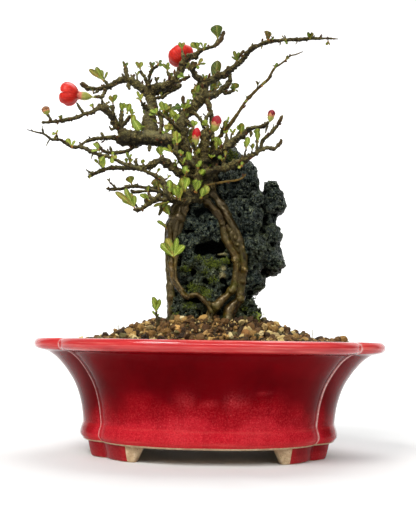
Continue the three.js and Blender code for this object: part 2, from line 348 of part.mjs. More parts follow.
const STONE_LEVELS = [71, 84, 98, 108, 117, 123, 131, 139, 147, 155, 163, 171, 178, 185, 192, 199, 206, 212, 219, 227, 233.5];
const stoneRings = STONE_LEVELS.map((z, j) => {
  const t = (z - 71) / 163, ox = 4 + 9 * t, oy = 4, ring = [], n = 22;
  for (let i = 0; i < n; i++) {
    const a = 2 * Math.PI * i / n, dx = Math.cos(a), dy = Math.sin(a);
    const r = lobeReach(ox, oy, z, dx, dy) - 0.6 - 1.3 * rnd(i, j);
    ring.push([ox + dx * r, oy + dy * r, z]);
  }
  return ring;
});
const stoneRaw = solid(loft(stoneRings, [2, 4, 69], [13, 4, 236.5]));
const rock = largest(stoneRaw.subtract(treeFat));
const rockFat = (() => {
  const rings = stoneRings.map((r, j) => {
    const t = (STONE_LEVELS[j] - 71) / 163, ox = 4 + 9 * t, oy = 4;
    return r.map(([x, y, z]) => { const d = Math.hypot(x - ox, y - oy), k = (d + GAP * 1.6) / d; return [ox + (x - ox) * k, oy + (y - oy) * k, z]; });
  });
  return solid(loft(rings, [2, 4, 68.4], [13, 4, 237.2]));
})();
piece('rock', rock, 0x2f3734, 0.92);
piece('tree', tree, 0x4d4232, 0.85);

// ---------------------------------------------------------------- drainage layer and soil
const insideAt = (z) => {
  for (let i = 0; i + 1 < INNER.length; i++) {
    const [z1, a1] = INNER[i], [z0, a0] = INNER[i + 1];
    if (z <= z1 && z >= z0) return a0 + (a1 - a0) * (z - z0) / (z1 - z0);
  }
  return INNER[0][1];
};
const BED_S = PLAN_S.filter((s, i) => i % 2 === 0 || Number.isInteger(s));
const bedRing = (z, k = 1) => planRing((insideAt(z) - GAP * (Number.isInteger(k) ? 3 : 1.5)) * k, z, BED_S);
let drainage = solid(loft([FLOOR_TOP + GAP, 22, DRAINAGE_TOP].map((z) => bedRing(z))));
for (let i = 0; i < 2; i++) drainage = drainage.subtract(slab(i ? DRAIN_X : -DRAIN_X, 3)).subtract(clipsFat[i]);
piece('drainage_layer', largest(drainage), 0xb9ab8c, 0.95);
// the soil mound
const mound = (k) => SOIL_EDGE + SOIL_RISE * 0.5 * (1 + Math.cos(Math.PI * Math.min(1, k) ** 1.34));
const soilRings = [DRAINAGE_TOP + GAP, 40, 54, 67, SOIL_EDGE - 0.6].map((z) => bedRing(z));
[0.9, 0.72, 0.5, 0.26].forEach((k, j) => {
  soilRings.push(bedRing(SOIL_EDGE, k).map(([x, y], i) => [x, y, mound(k) + 1.2 * (rnd(i, j + 50) - 0.5)]));
});
let soil = solid(loft(soilRings, null, [0, 0, mound(0)]));
soil = soil.subtract(rockFat).subtract(treeFat);

// ---------------------------------------------------------------- sucker: young shoot from the soil
const SUCKER = [[-39.1, -20.0, 93.6, 1.12], [-38.8, -20.0, 99.6, 1.05], [-39.5, -20.0, 102.5, 0.90], [-40.6, -20.0, 105.9, 0.82]];
const sucker = stem(SUCKER, 0, 6), suckerFat = stem(SUCKER, GAP, 6);
soil = soil.subtract(suckerFat);
piece('soil', largest(soil), 0x6b5138, 0.95);
piece('sucker_sprout', sucker, 0x5a4426, 0.8);

// ---------------------------------------------------------------- moss patches on the stone [x, z, half width, half height, turn]
const MOSS = [['moss_upper', 9, 145, 9.5, 4.2, 0.15], ['moss_middle', -9, 141, 8, 3.6, -0.2], ['moss_lower', -5, 124, 10, 4, 0.1]];
for (const [name, mx, mz, rx, rz, turn] of MOSS) {
  // a low cushion that follows the stone's front
  const n = 12, ringsFront = [1, 0.72, 0.36], mid = [];
  const frontY = (x, z) => {
    let y = 10;
    for (const [lx, ly, lz, a, b, c] of LOBES) {
      const h = 1 - ((x - lx) / a) ** 2 - ((z - lz) / c) ** 2;
      if (h > 0) y = Math.min(y, ly - b * Math.sqrt(h));
    }
    return y;
  };
  const rings = ringsFront.map((k, q) => {
    const ring = [];
    for (let i = 0; i < n; i++) {
      const a = -2 * Math.PI * i / n, e = 1 + 0.22 * (rnd(i, q + 7 * MOSS.length + mx) - 0.5);
      const px = rx * k * e * Math.cos(a), pz = rz * k * e * Math.sin(a);
      const x = mx + px * Math.cos(turn) - pz * Math.sin(turn), z = mz + px * Math.sin(turn) + pz * Math.cos(turn);
      ring.push([x, frontY(x, z) - 0.4 - [0, 1.0, 1.5][q], z]);
    }
    return ring;
  });
  const under = rings[0].map(([x, y, z]) => [x, y + 4, z]);
  let m = solid(loft([under, ...rings]));
  m = m.subtract(rockFat).subtract(treeFat);
  piece(name, largest(m), 0x6f7a2c, 0.95);
}

// ---------------------------------------------------------------- leaves, buds and flowers
function frameOf(from, to, hint = V(0, -1, 0.25)) {
  const d = to.clone().sub(from), L = d.length(); d.normalize();
  let n = hint.clone().sub(d.clone().multiplyScalar(hint.dot(d)));
  if (n.length() < 0.1) n = V(1, 0, 0).sub(d.clone().multiplyScalar(d.x));
  n.normalize();
  const w = d.clone().cross(n);
  return { L, d, n, w };
}
// one blade: a thin lens with a spoon-shaped outline, from base to tip
function blade(from, to, width, hint) {
  const { L, d, n, w } = frameOf(from, to, hint);
  const out = [[0, 0.1], [0.28, 0.2], [0.62, 0.46], [0.86, 0.4], [1, 0.08]];
  const rim = [];
  for (const [t, h] of out) rim.push([t, h]);
  for (const [t, h] of [...out].reverse()) rim.push([t, -h]);
  const at = (t, h, k) => { const q = from.clone().addScaledVector(d, L * t).addScaledVector(w, width * h).addScaledVector(n, k + 0.08 * L * t * t); return [q.x, q.y, q.z]; };
  const verts = rim.map(([t, h]) => at(t, h, 0));
  const m = verts.length, tris = [];
  verts.push(at(0.55, 0, 0.42), at(0.55, 0, -0.42));
  for (let i = 0; i < m; i++) { tris.push([i, (i + 1) % m, m]); tris.push([(i + 1) % m, i, m + 1]); }
  return solid(geom(verts, tris));
}
const LEAVES = [
  ['leaves_upper_left', [-88.2, 9.5, 290.8], [[-98.1, 6.9, 298.9, 3.2], [-93.9, 7.9, 300.5, 3.2], [-90.7, 11.3, 300.3, 2.8], [-85.1, 5.6, 296.3, 1.5]], 0.30],
  ['leaves_left_limb_a', [-76.5, -24.7, 263.9], [[-78.5, -27.3, 268.3, 2.6], [-74.4, -27.5, 269.1, 3.4], [-77.3, -24.1, 267.3, 2.3]], 0.50],
  ['leaves_left_limb_b', [-62.3, -24.8, 254.4], [[-56.5, -27.1, 244.5, 5.0], [-62.5, -26.0, 259.3, 2.6], [-60.4, -23.8, 257.5, 2.0]], 0.35],
  ['leaves_left_twig', [-104.9, -35.3, 227.4], [[-108.6, -36.4, 232.8, 3.2], [-103.4, -36.7, 231.6, 1.8]], 0.20],
  ['leaves_left_low', [-80.6, -32.3, 222.0], [[-84.0, -33.8, 218.2, 2.6], [-81.8, -33.0, 213.9, 2.5], [-86.0, -30.1, 220.8, 2.3], [-83.3, -33.3, 215.3, 2.3]], 0.25],
  ['leaves_top_left', [-58.4, 0.3, 298.5], [[-60.8, -2.7, 302.6, 2.8], [-57.3, -0.9, 303.2, 2.8], [-60.3, 2.1, 301.3, 2.0]], 0.30],
  ['leaves_top_a', [-13.0, -9.7, 311.6], [[-17.5, -12.0, 315.5, 3.5], [-13.7, -11.4, 316.2, 3.7], [-10.5, -8.5, 313.2, 2.0]], 0.40],
  ['leaf_crown_tip', [2.5, -11.5, 319.8], [[1.3, -15.4, 328.2, 7.2]], 0.75],
  ['leaf_top_right', [1.2, 2.8, 284.6], [[1.6, -0.4, 303.9, 6.6]], 0.70],
  ['leaves_centre_a', [-43.3, -14.5, 258.5], [[-48.1, -15.5, 261.4, 3.1], [-44.3, -15.6, 262.6, 2.6], [-49.3, -13.8, 258.7, 2.3], [-42.7, -15.5, 259.9, 2.3]], 0.15],
  ['leaves_centre_b', [-37.5, -26.5, 258.0], [[-39.7, -30.5, 263.1, 3.8], [-36.0, -28.1, 263.0, 3.1], [-40.6, -25.6, 260.5, 2.3], [-33.8, -27.2, 261.3, 2.3]], 0.25],
  ['leaves_centre_c', [-26.9, -35.6, 230.8], [[-28.4, -39.4, 238.6, 3.8], [-25.8, -37.9, 237.9, 3.1], [-30.0, -33.2, 235.8, 2.3], [-24.6, -39.7, 233.7, 1.8]], 0.10],
  ['leaves_right_top', [17.7, -8.7, 302.7], [[15.4, -11.9, 309.3, 2.2], [18.4, -10.5, 309.0, 2.2], [20.8, -7.6, 309.6, 2.0], [14.5, -12.7, 305.1, 1.5]], 0.60],
  ['leaf_right_twig', [40.6, -21.6, 316.0], [[40.8, -22.7, 322.3, 5.1]], 0.60],
  ['leaf_right_side', [16.4, 3.8, 283.5], [[16.9, -0.5, 286.9, 5.2], [13.6, 2.9, 285.7, 2.0], [19.3, 6.4, 283.5, 1.8]], 0.50],
  ['leaves_low_left', [-56.7, -44.8, 181.4], [[-68.8, -46.4, 191.9, 3.2], [-63.8, -45.3, 194.0, 3.1], [-59.6, -42.7, 192.3, 3.2], [-64.4, -45.6, 186.6, 3.1], [-56.6, -47.9, 188.6, 2.8]], 0.45],
  ['leaf_low_left', [-40.1, -29.0, 197.4], [[-42.6, -31.5, 204.2, 5.8], [-38.8, -32.0, 203.4, 3.1]], 0.85],
  ['leaf_elbow', [-39.2, -29.2, 222.9], [[-40.1, -32.0, 228.6, 5.1], [-38.2, -30.3, 224.9, 1.5]], 0.45],
  ['leaves_trunk_a', [-20.3, -26.3, 198.2], [[-23.2, -29.4, 204.9, 2.9], [-21.0, -30.5, 207.0, 3.5], [-18.8, -25.3, 204.9, 3.4], [-24.6, -29.3, 200.3, 2.3]], 0.10],
  ['leaves_beside_root', [-31.5, -22.6, 178.6], [[-38.4, -24.4, 186.1, 3.5], [-36.1, -26.1, 187.8, 3.2], [-33.8, -19.5, 187.3, 3.1]], 0.15],
  ['leaves_on_root', [-28.2, -26.9, 147.2], [[-37.2, -30.7, 157.1, 4.0], [-33.2, -29.9, 161.4, 3.8], [-30.1, -23.7, 160.2, 3.2], [-25.0, -31.3, 163.6, 2.6], [-20.8, -31.3, 155.8, 4.2], [-34.8, -24.0, 152.6, 3.1]], 0.25],
  ['leaf_right_limb', [24.6, -33.5, 229.0], [[25.8, -37.6, 235.3, 3.4], [23.7, -34.6, 233.3, 2.0]], 0.30],
  ['leaves_sucker', [-40.3, -20.4, 106.4], [[-42.4, -22.8, 116.2, 3.4], [-38.3, -24.5, 114.3, 2.8], [-40.2, -19.4, 113.0, 2.5]], 0.25],
];
const suckerAndTree = treeFat.add(suckerFat);
for (const [name, base, tips, shade] of LEAVES) {
  const b = V(...base);
  const knot = solid(new THREE.OctahedronGeometry(1.2, 0), new THREE.Matrix4().setPosition(b.x, b.y, b.z));
  const blades = tips.map(([x, y, z, wd], i) => {
    const t = V(x, y, z), from = b.clone().lerp(t, 0.02);
    return blade(from, t, wd, V(0.35 * (rnd(i, b.x) - 0.5), -1, 0.4 * (rnd(i, b.z))));
  });
  let s = union([knot, ...blades]).subtract(suckerAndTree).subtract(rockFat);
  const c = new THREE.Color(0xa8b45a).lerp(new THREE.Color(0x4f6a2c), shade);
  piece(name, largest(s), c.getHex(), 0.55);
}

// a closed skin petal: sector of a cup round an axis
function place(origin, axis, roll = 0) {
  const z = axis.clone().normalize(), ref = Math.abs(z.z) > 0.9 ? V(1, 0, 0) : V(0, 0, 1);
  const x = ref.clone().cross(z).normalize(), y = z.clone().cross(x);
  const m = new THREE.Matrix4().makeBasis(x, y, z);
  m.multiply(new THREE.Matrix4().makeRotationZ(roll));
  m.setPosition(origin.x, origin.y, origin.z);
  return m;
}
function petal(k, R, H, skin = 0.9) {
  // profile along the petal: radius from the axis and height, for the inner face
  const rows = [[0.16, 0.0, 0.35], [0.55, 0.16, 0.8], [0.93, 0.46, 0.98], [1.0, 0.78, 0.9], [0.9, 1.0, 0.5]];
  const cols = 5, mid = 2 * Math.PI * k / 5, verts = [], tris = [], nr = rows.length;
  for (const side of [0, 1]) for (const [r, h, wdt] of rows) for (let c = 0; c < cols; c++) {
    const f = (c / (cols - 1)) * 2 - 1;
    const half = (Math.PI / 5 - 0.06) * wdt;
    const a = mid + f * half;
    const rr = (R * r + 1.2) + side * skin, hh = H * h - 0.06 * H * f * f * (h > 0.7 ? 2.2 : 0.3) - side * skin * 0.35;
    verts.push([rr * Math.cos(a), rr * Math.sin(a), hh]);
  }
  const id = (s, r, c) => s * nr * cols + r * cols + c;
  for (let r = 0; r + 1 < nr; r++) for (let c = 0; c + 1 < cols; c++) {
    tris.push([id(0, r, c), id(0, r + 1, c + 1), id(0, r, c + 1)], [id(0, r, c), id(0, r + 1, c), id(0, r + 1, c + 1)]);
    tris.push([id(1, r, c), id(1, r, c + 1), id(1, r + 1, c + 1)], [id(1, r, c), id(1, r + 1, c + 1), id(1, r + 1, c)]);
  }
  for (let r = 0; r + 1 < nr; r++) {
    tris.push([id(0, r, 0), id(1, r, 0), id(1, r + 1, 0)], [id(0, r, 0), id(1, r + 1, 0), id(0, r + 1, 0)]);
    const c = cols - 1;
    tris.push([id(0, r, c), id(1, r + 1, c), id(1, r, c)], [id(0, r, c), id(0, r + 1, c), id(1, r + 1, c)]);
  }
  for (let c = 0; c + 1 < cols; c++) {
    tris.push([id(0, 0, c), id(0, 0, c + 1), id(1, 0, c + 1)], [id(0, 0, c), id(1, 0, c + 1), id(1, 0, c)]);
    const r = nr - 1;
    tris.push([id(0, r, c), id(1, r, c + 1), id(0, r, c + 1)], [id(0, r, c), id(1, r, c), id(1, r, c + 1)]);
  }
  return [verts, tris];
}
function flower(name, origin, axis, R, H, calyxLen, roll) {
  const M = place(origin, axis, roll);
  // calyx tube behind the petals, widest in the middle, with its neck at -calyxLen
  const pr = [[0, -calyxLen], [1.0, -calyxLen + 0.4], [2.9, -calyxLen * 0.72], [3.5, -calyxLen * 0.4], [3.1, -0.9], [2.0, -0.45], [0, -0.45]].map(([x, y]) => new THREE.Vector2(x, y));
  const lathe = new THREE.LatheGeometry(pr, 9).rotateX(Math.PI / 2);
  const calyx = solid(lathe, M);
  const petals = [];
  for (let k = 0; k < 5; k++) {
    const [v, t] = petal(k, R, H);
    petals.push(solid(geom(v, t), M));
  }
  // stamens: a short bunch on a small cushion, all inside the cup
  const st = [solid(new THREE.CylinderGeometry(0.95, 0.95, 1.2, 8).rotateX(Math.PI / 2), M.clone().multiply(new THREE.Matrix4().makeTranslation(0, 0, 0.45)))];
  for (let i = 0; i < 4; i++) {
    const a = i * Math.PI / 2, o = (r, z) => V(r * Math.cos(a), r * Math.sin(a), z).applyMatrix4(M);
    const p = [o(0.3, 0.6), o(0.9, H * 0.3), o(1.5, H * 0.5), o(1.6, H * 0.56)];
    st.push(stem([[p[0].x, p[0].y, p[0].z, 0.35], [p[1].x, p[1].y, p[1].z, 0.3], [p[2].x, p[2].y, p[2].z, 0.3], [p[3].x, p[3].y, p[3].z, 0.6]], 0, 4));
  }
  const woodCut = (s) => s.subtract(treeFat);
  piece(`${name}_calyx`, largest(woodCut(calyx)), 0x8d9a45, 0.5);
  petals.forEach((s, k) => piece(`${name}_petal_${k + 1}`, largest(woodCut(s)), 0xd8402f, 0.45));
  piece(`${name}_stamens`, largest(woodCut(union(st))), 0xe2c665, 0.6);
}
function bud(name, neck, axis, r, len, calyxLen) {
  const M = place(neck, axis, 0);
  const cal = [[0, 0], [0.8, 0.2], [r * 0.95, calyxLen * 0.55], [r * 0.8, calyxLen], [0, calyxLen]].map(([x, y]) => new THREE.Vector2(x, y));
  const pet = [[0, calyxLen + GAP], [r * 0.75, calyxLen + GAP], [r, calyxLen + len * 0.35], [r * 0.8, calyxLen + len * 0.75], [0, calyxLen + len]].map(([x, y]) => new THREE.Vector2(x, y));
  piece(`${name}_calyx`, largest(solid(new THREE.LatheGeometry(cal, 8).rotateX(Math.PI / 2), M).subtract(treeFat)), 0x9aa24a, 0.5);
  piece(`${name}_petals`, largest(solid(new THREE.LatheGeometry(pet, 8).rotateX(Math.PI / 2), M).subtract(treeFat)), 0xc8304a, 0.45);
}
flower('flower_left', V(-106.7, 2.0, 276.8), V(-0.992, -0.091, 0.084), 8.2, 14.2, 11.0, 0.35);
flower('flower_top', V(-23.6, 5.5, 305.8), V(-0.421, 0.340, 0.841), 9.2, 12.5, 6.5, 0.9);
bud('bud_far_left', V(-122.4, -43.5, 249.7), V(-0.359, -0.078, 0.930), 2.90, 3.54, 2.90);
bud('bud_centre', V(-13.9, -29.0, 229.8), V(0.127, -0.266, 0.956), 3.10, 6.76, 8.27);
bud('bud_upper', V(-0.1, -27.5, 242.2), V(0.290, -0.191, 0.938), 3.60, 6.53, 6.53);
bud('bud_right', V(42.3, -30.5, 250.2), V(0.207, -0.054, 0.977), 2.70, 4.61, 4.61);

export default model;
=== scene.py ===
# Japanese quince bonsai grown over an upright stone, in a lobed glazed pot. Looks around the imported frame.
# Lengths below are millimetres unless a name ends in _m; meshes are written in metres.
import math
import bpy
import numpy as np
from mathutils import Matrix, Vector, kdtree


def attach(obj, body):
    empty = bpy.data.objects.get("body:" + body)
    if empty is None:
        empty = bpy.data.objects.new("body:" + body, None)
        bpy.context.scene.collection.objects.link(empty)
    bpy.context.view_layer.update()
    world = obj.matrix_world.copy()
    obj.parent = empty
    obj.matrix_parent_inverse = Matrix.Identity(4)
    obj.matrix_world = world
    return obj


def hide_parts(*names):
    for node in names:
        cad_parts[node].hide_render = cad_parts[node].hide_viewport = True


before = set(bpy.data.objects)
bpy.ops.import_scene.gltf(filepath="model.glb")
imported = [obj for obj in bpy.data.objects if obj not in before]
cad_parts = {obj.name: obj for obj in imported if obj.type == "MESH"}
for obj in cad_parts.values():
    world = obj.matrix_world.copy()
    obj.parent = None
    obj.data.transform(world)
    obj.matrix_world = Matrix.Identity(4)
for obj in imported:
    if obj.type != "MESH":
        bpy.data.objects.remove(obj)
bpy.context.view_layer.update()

# ------------------------------------------------------------------ noise
def _hash(ix, iy, iz, seed):
    h = ix.astype(np.uint32) * np.uint32(374761393) + iy.astype(np.uint32) * np.uint32(668265263) + iz.astype(np.uint32) * np.uint32(2246822519) + np.uint32((seed * 3266489917) & 0xffffffff)
    h = (h ^ (h >> np.uint32(13))) * np.uint32(1274126177)
    h = (h ^ (h >> np.uint32(15))) * np.uint32(2654435761)
    return ((h ^ (h >> np.uint32(16))) & np.uint32(0xffffff)).astype(np.float32) / 16777215.0

def vnoise(P, size, seed=0):
    q = np.asarray(P, np.float32) / np.float32(size) + 1000.0
    i = np.floor(q).astype(np.int64); f = (q - i).astype(np.float32); f = f * f * (3 - 2 * f)
    out = 0
    for dx in (0, 1):
        wx = f[..., 0] if dx else 1 - f[..., 0]
        for dy in (0, 1):
            wy = f[..., 1] if dy else 1 - f[..., 1]
            for dz in (0, 1):
                wz = f[..., 2] if dz else 1 - f[..., 2]
                out = out + wx * wy * wz * _hash(i[..., 0] + dx, i[..., 1] + dy, i[..., 2] + dz, seed)
    return out

def fbm(P, size, octaves=3, seed=0, gain=0.5):
    t = 0; a = 1.0; s = 0
    for o in range(octaves):
        t = t + a * vnoise(P, size / 2 ** o, seed + 17 * o); s += a; a *= gain
    return t / s

def worley(P, size, seed=0):
    q = np.asarray(P, np.float32) / np.float32(size) + 1000.0
    i = np.floor(q).astype(np.int64); f = (q - i).astype(np.float32)
    f1 = np.full(q.shape[:-1], 9.0, np.float32); f2 = f1.copy(); cid = np.zeros(q.shape[:-1], np.float32)
    for dx in (-1, 0, 1):
        for dy in (-1, 0, 1):
            for dz in (-1, 0, 1):
                a, b, c = i[..., 0] + dx, i[..., 1] + dy, i[..., 2] + dz
                d = (dx + 0.1 + 0.8 * _hash(a, b, c, seed) - f[..., 0]) ** 2
                d += (dy + 0.1 + 0.8 * _hash(a, b, c, seed + 1) - f[..., 1]) ** 2
                d += (dz + 0.1 + 0.8 * _hash(a, b, c, seed + 2) - f[..., 2]) ** 2
                near = d < f1
                f2 = np.where(near, f1, np.minimum(f2, d))
                cid = np.where(near, _hash(a, b, c, seed + 3), cid)
                f1 = np.where(near, d, f1)
    return np.sqrt(f1), np.sqrt(f2), cid

def smoothstep(a, b, x):
    t = np.clip((x - a) / (b - a), 0, 1)
    return t * t * (3 - 2 * t)

def rnd(i, j=0):
    t = math.sin(i * 127.1 + j * 311.7 + 17.3) * 43758.5453
    return t - math.floor(t)

# ------------------------------------------------------------------ meshes
def mesh_object(name, verts_mm, faces, mats, smooth=True, attrs=None, mat_index=None):
    """faces is a list of integer arrays, each (n, 3) or (n, 4)."""
    me = bpy.data.meshes.new(name)
    V = np.asarray(verts_mm, np.float32) * 0.001
    me.vertices.add(len(V)); me.vertices.foreach_set("co", V.ravel())
    faces = [np.asarray(f, np.int32) for f in faces if len(f)]
    loops = np.concatenate([f.ravel() for f in faces])
    sizes = np.concatenate([np.full(len(f), f.shape[1], np.int32) for f in faces])
    starts = np.concatenate([[0], np.cumsum(sizes)[:-1]]).astype(np.int32)
    me.loops.add(len(loops)); me.loops.foreach_set("vertex_index", loops)
    me.polygons.add(len(sizes)); me.polygons.foreach_set("loop_start", starts)
    if mat_index is not None:
        me.polygons.foreach_set("material_index", np.asarray(mat_index, np.int32))
    me.polygons.foreach_set("use_smooth", np.full(len(sizes), bool(smooth)))
    me.update(calc_edges=True)
    me.validate()
    for k, v in (attrs or {}).items():
        v = np.asarray(v, np.float32)
        if v.ndim == 2:
            a = me.attributes.new(k, "FLOAT_COLOR", "POINT")
            if v.shape[1] == 3:
                v = np.c_[v, np.ones(len(v), np.float32)]
            a.data.foreach_set("color", v.ravel())
        else:
            a = me.attributes.new(k, "FLOAT", "POINT"); a.data.foreach_set("value", v)
    o = bpy.data.objects.new(name, me)
    bpy.context.scene.collection.objects.link(o)
    for m in (mats if isinstance(mats, (list, tuple)) else [mats]):
        me.materials.append(m)
    return o

def finish_piece(o, nodes=()):
    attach(o, "root")
    if nodes:
        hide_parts(*nodes)
    return o

class Soup:
    """collects small meshes into one"""
    def __init__(self):
        self.v, self.f3, self.f4, self.a, self.n = [], [], [], {}, 0
    def add(self, v, f3=None, f4=None, **attrs):
        v = np.asarray(v, np.float32)
        self.v.append(v)
        if f3 is not None and len(f3): self.f3.append(np.asarray(f3, np.int64) + self.n)
        if f4 is not None and len(f4): self.f4.append(np.asarray(f4, np.int64) + self.n)
        for k, x in attrs.items():
            x = np.asarray(x, np.float32)
            if x.ndim == 0 or (x.ndim == 1 and len(x) == 3 and k == "tint" and len(v) != 3):
                x = np.tile(x, (len(v), 1)) if x.ndim == 1 else np.full(len(v), float(x), np.float32)
            self.a.setdefault(k, []).append(x)
        self.n += len(v)
    def build(self, name, mats, smooth=True):
        F = []
        if self.f3: F.append(np.concatenate(self.f3))
        if self.f4: F.append(np.concatenate(self.f4))
        return mesh_object(name, np.concatenate(self.v), F, mats, smooth, {k: np.concatenate(x) for k, x in self.a.items()})

def co_of(me):
    a = np.zeros(len(me.vertices) * 3, np.float32); me.vertices.foreach_get("co", a); return a.reshape(-1, 3)
def no_of(me):
    a = np.zeros(len(me.vertices) * 3, np.float32); me.vertices.foreach_get("normal", a); return a.reshape(-1, 3)

def cavity(me, V, N, steps):
    """how far each point lies under (+) or over (-) its smoothed surroundings, in mm"""
    E = np.zeros(len(me.edges) * 2, np.int32); me.edges.foreach_get("vertices", E); E = E.reshape(-1, 2)
    cnt = np.bincount(E.ravel(), minlength=len(V)).astype(float); cnt[cnt == 0] = 1
    S = np.asarray(V, float).copy()
    for _ in range(steps):
        A = np.stack([np.bincount(E[:, 0], S[E[:, 1], k], len(V)) + np.bincount(E[:, 1], S[E[:, 0], k], len(V)) for k in range(3)], 1) / cnt[:, None]
        S = 0.4 * S + 0.6 * A
    return ((S - V) * N).sum(1)

def put_attr(me, name, values):
    a = me.attributes.get(name) or me.attributes.new(name, "FLOAT", "POINT")
    a.data.foreach_set("value", np.asarray(values, np.float32))

def voxel(o, size_mm, smooth_steps=1):
    """replaces the object's mesh by its voxel remesh, lightly relaxed"""
    m = o.modifiers.new("v", "REMESH"); m.mode = "VOXEL"; m.voxel_size = size_mm * 0.001; m.adaptivity = 0
    m.use_smooth_shade = True
    if smooth_steps:
        s = o.modifiers.new("s", "SMOOTH"); s.factor = 0.5; s.iterations = smooth_steps
    dg = bpy.context.evaluated_depsgraph_get()
    new = bpy.data.meshes.new_from_object(o.evaluated_get(dg), depsgraph=dg)
    o.modifiers.clear(); old = o.data; mats = list(old.materials); o.data = new; bpy.data.meshes.remove(old)
    new.materials.clear()
    for k in mats: new.materials.append(k)
    new.shade_smooth()
    return o

def surface_nets(vol, origin, h):
    S = vol < 0
    c = np.zeros(tuple(n - 1 for n in vol.shape), np.int8)
    for dx in (0, 1):
        for dy in (0, 1):
            for dz in (0, 1):
                c += S[dx:S.shape[0] - 1 + dx, dy:S.shape[1] - 1 + dy, dz:S.shape[2] - 1 + dz]
    act = (c > 0) & (c < 8)
    I = np.argwhere(act); idx = np.full(act.shape, -1, np.int64); idx[act] = np.arange(len(I))
    pos = np.zeros((len(I), 3)); cnt = np.zeros(len(I))
    for axis in range(3):
        o1, o2 = [a for a in range(3) if a != axis]
        for a in (0, 1):
            for b in (0, 1):
                off = np.zeros(3, np.int64); off[o1] = a; off[o2] = b
                A = I + off; B = A.copy(); B[:, axis] += 1
                va = vol[A[:, 0], A[:, 1], A[:, 2]]; vb = vol[B[:, 0], B[:, 1], B[:, 2]]
                m = (va < 0) != (vb < 0)
                t = np.where(m, va / np.where(m, va - vb, 1), 0)
                p = A.astype(float); p[:, axis] += t
                pos[m] += p[m]; cnt[m] += 1
    V = pos / cnt[:, None] * h + origin
    quads = []
    for axis in range(3):
        u, w = [(1, 2), (2, 0), (0, 1)][axis]
        sl0 = [slice(1, -1)] * 3; sl1 = [slice(1, -1)] * 3
        sl0[axis] = slice(0, -1); sl1[axis] = slice(1, None)
        a, b = S[tuple(sl0)], S[tuple(sl1)]
        for flip, m in ((False, a & ~b), (True, ~a & b)):
            E = np.argwhere(m)
            base = E.copy()
            for k in range(3):
                if k != axis: base[:, k] += 1
            def cell(du, dw):
                q = base.copy(); q[:, u] += du; q[:, w] += dw
                return idx[q[:, 0], q[:, 1], q[:, 2]]
            Q = np.stack([cell(-1, -1), cell(0, -1), cell(0, 0), cell(-1, 0)], 1)
            quads.append(Q[:, ::-1] if flip else Q)
    return V, np.concatenate(quads)

# ------------------------------------------------------------------ materials
class Mat:
    def __init__(self, name):
        self.m = bpy.data.materials.new(name); self.m.use_nodes = True
        self.nt = self.m.node_tree; self.b = self.nt.nodes["Principled BSDF"]
    def set(self, **kw):
        names = dict(rough="Roughness", metal="Metallic", spec="Specular IOR Level", ior="IOR", coat="Coat Weight", coat_rough="Coat Roughness",
                     sheen="Sheen Weight", sheen_rough="Sheen Roughness", sss="Subsurface Weight", sss_scale="Subsurface Scale", trans="Transmission Weight")
        for k, v in kw.items(): self.b.inputs[names[k]].default_value = v
        return self
    def node(self, kind, ins=None, **props):
        n = self.nt.nodes.new(kind)
        for k, v in props.items(): setattr(n, k, v)
        for k, v in (ins or {}).items():
            if hasattr(v, "is_output"): self.nt.links.new(v, n.inputs[k])
            else: n.inputs[k].default_value = v
        return n
    def obj(self):
        if not hasattr(self, "_o"): self._o = self.node("ShaderNodeTexCoord").outputs["Object"]
        return self._o
    def attr(self, name, color=False):
        return self.node("ShaderNodeAttribute", attribute_name=name).outputs["Color" if color else "Fac"]
    def noise(self, mm, detail=3.0, rough=0.55, distort=0.0, vec=None):
        return self.node("ShaderNodeTexNoise", {"Vector": vec or self.obj(), "Scale": 1000.0 / mm, "Detail": detail, "Roughness": rough, "Distortion": distort}).outputs["Fac"]
    def cells(self, mm, feature="F1", out="Distance", vec=None):
        n = self.node("ShaderNodeTexVoronoi", {"Vector": vec or self.obj(), "Scale": 1000.0 / mm}, feature=feature)
        return n.outputs[out]
    def stretch(self, sx, sy, sz):
        return self.node("ShaderNodeMapping", {"Vector": self.obj(), "Scale": (sx, sy, sz)}).outputs["Vector"]
    def ramp(self, fac, stops, interp="LINEAR"):
        n = self.node("ShaderNodeValToRGB", {"Fac": fac}); r = n.color_ramp; r.interpolation = interp
        c4 = lambda c: (*c, 1) if len(c) == 3 else c
        first, last = r.elements[0], r.elements[-1]
        first.position, first.color = stops[0][0], c4(stops[0][1]); last.position, last.color = stops[-1][0], c4(stops[-1][1])
        for p, c in stops[1:-1]: r.elements.new(p).color = c4(c)
        return n.outputs["Color"]
    def remap(self, x, a, b, c=0.0, d=1.0):
        return self.node("ShaderNodeMapRange", {"Value": x, "From Min": a, "From Max": b, "To Min": c, "To Max": d}, interpolation_type="SMOOTHSTEP").outputs["Result"]
    def mix(self, fac, a, b, mode="MIX"):
        n = self.node("ShaderNodeMix", data_type="RGBA", blend_type=mode)
        for k, v in ((0, fac), (6, a), (7, b)):
            if hasattr(v, "is_output"): self.nt.links.new(v, n.inputs[k])
            else: n.inputs[k].default_value = (*v, 1) if isinstance(v, tuple) and len(v) == 3 else v
        return n.outputs[2]
    def math(self, op, a, b=0.0, c=0.0):
        return self.node("ShaderNodeMath", {0: a, 1: b, 2: c}, operation=op).outputs[0]
    def z(self):
        return self.node("ShaderNodeSeparateXYZ", {"Vector": self.obj()}).outputs["Z"]
    def color(self, out): self.nt.links.new(out, self.b.inputs["Base Color"]); return self
    def roughness(self, out): self.nt.links.new(out, self.b.inputs["Roughness"]); return self
    def bump(self, height, strength, dist_mm, after=None):
        ins = {"Height": height, "Strength": strength, "Distance": dist_mm * 0.001}
        if after is not None: ins["Normal"] = after
        n = self.node("ShaderNodeBump", ins)
        self.last = n.outputs["Normal"]
        self.nt.links.new(n.outputs["Normal"], self.b.inputs["Normal"])
        return n.outputs["Normal"]

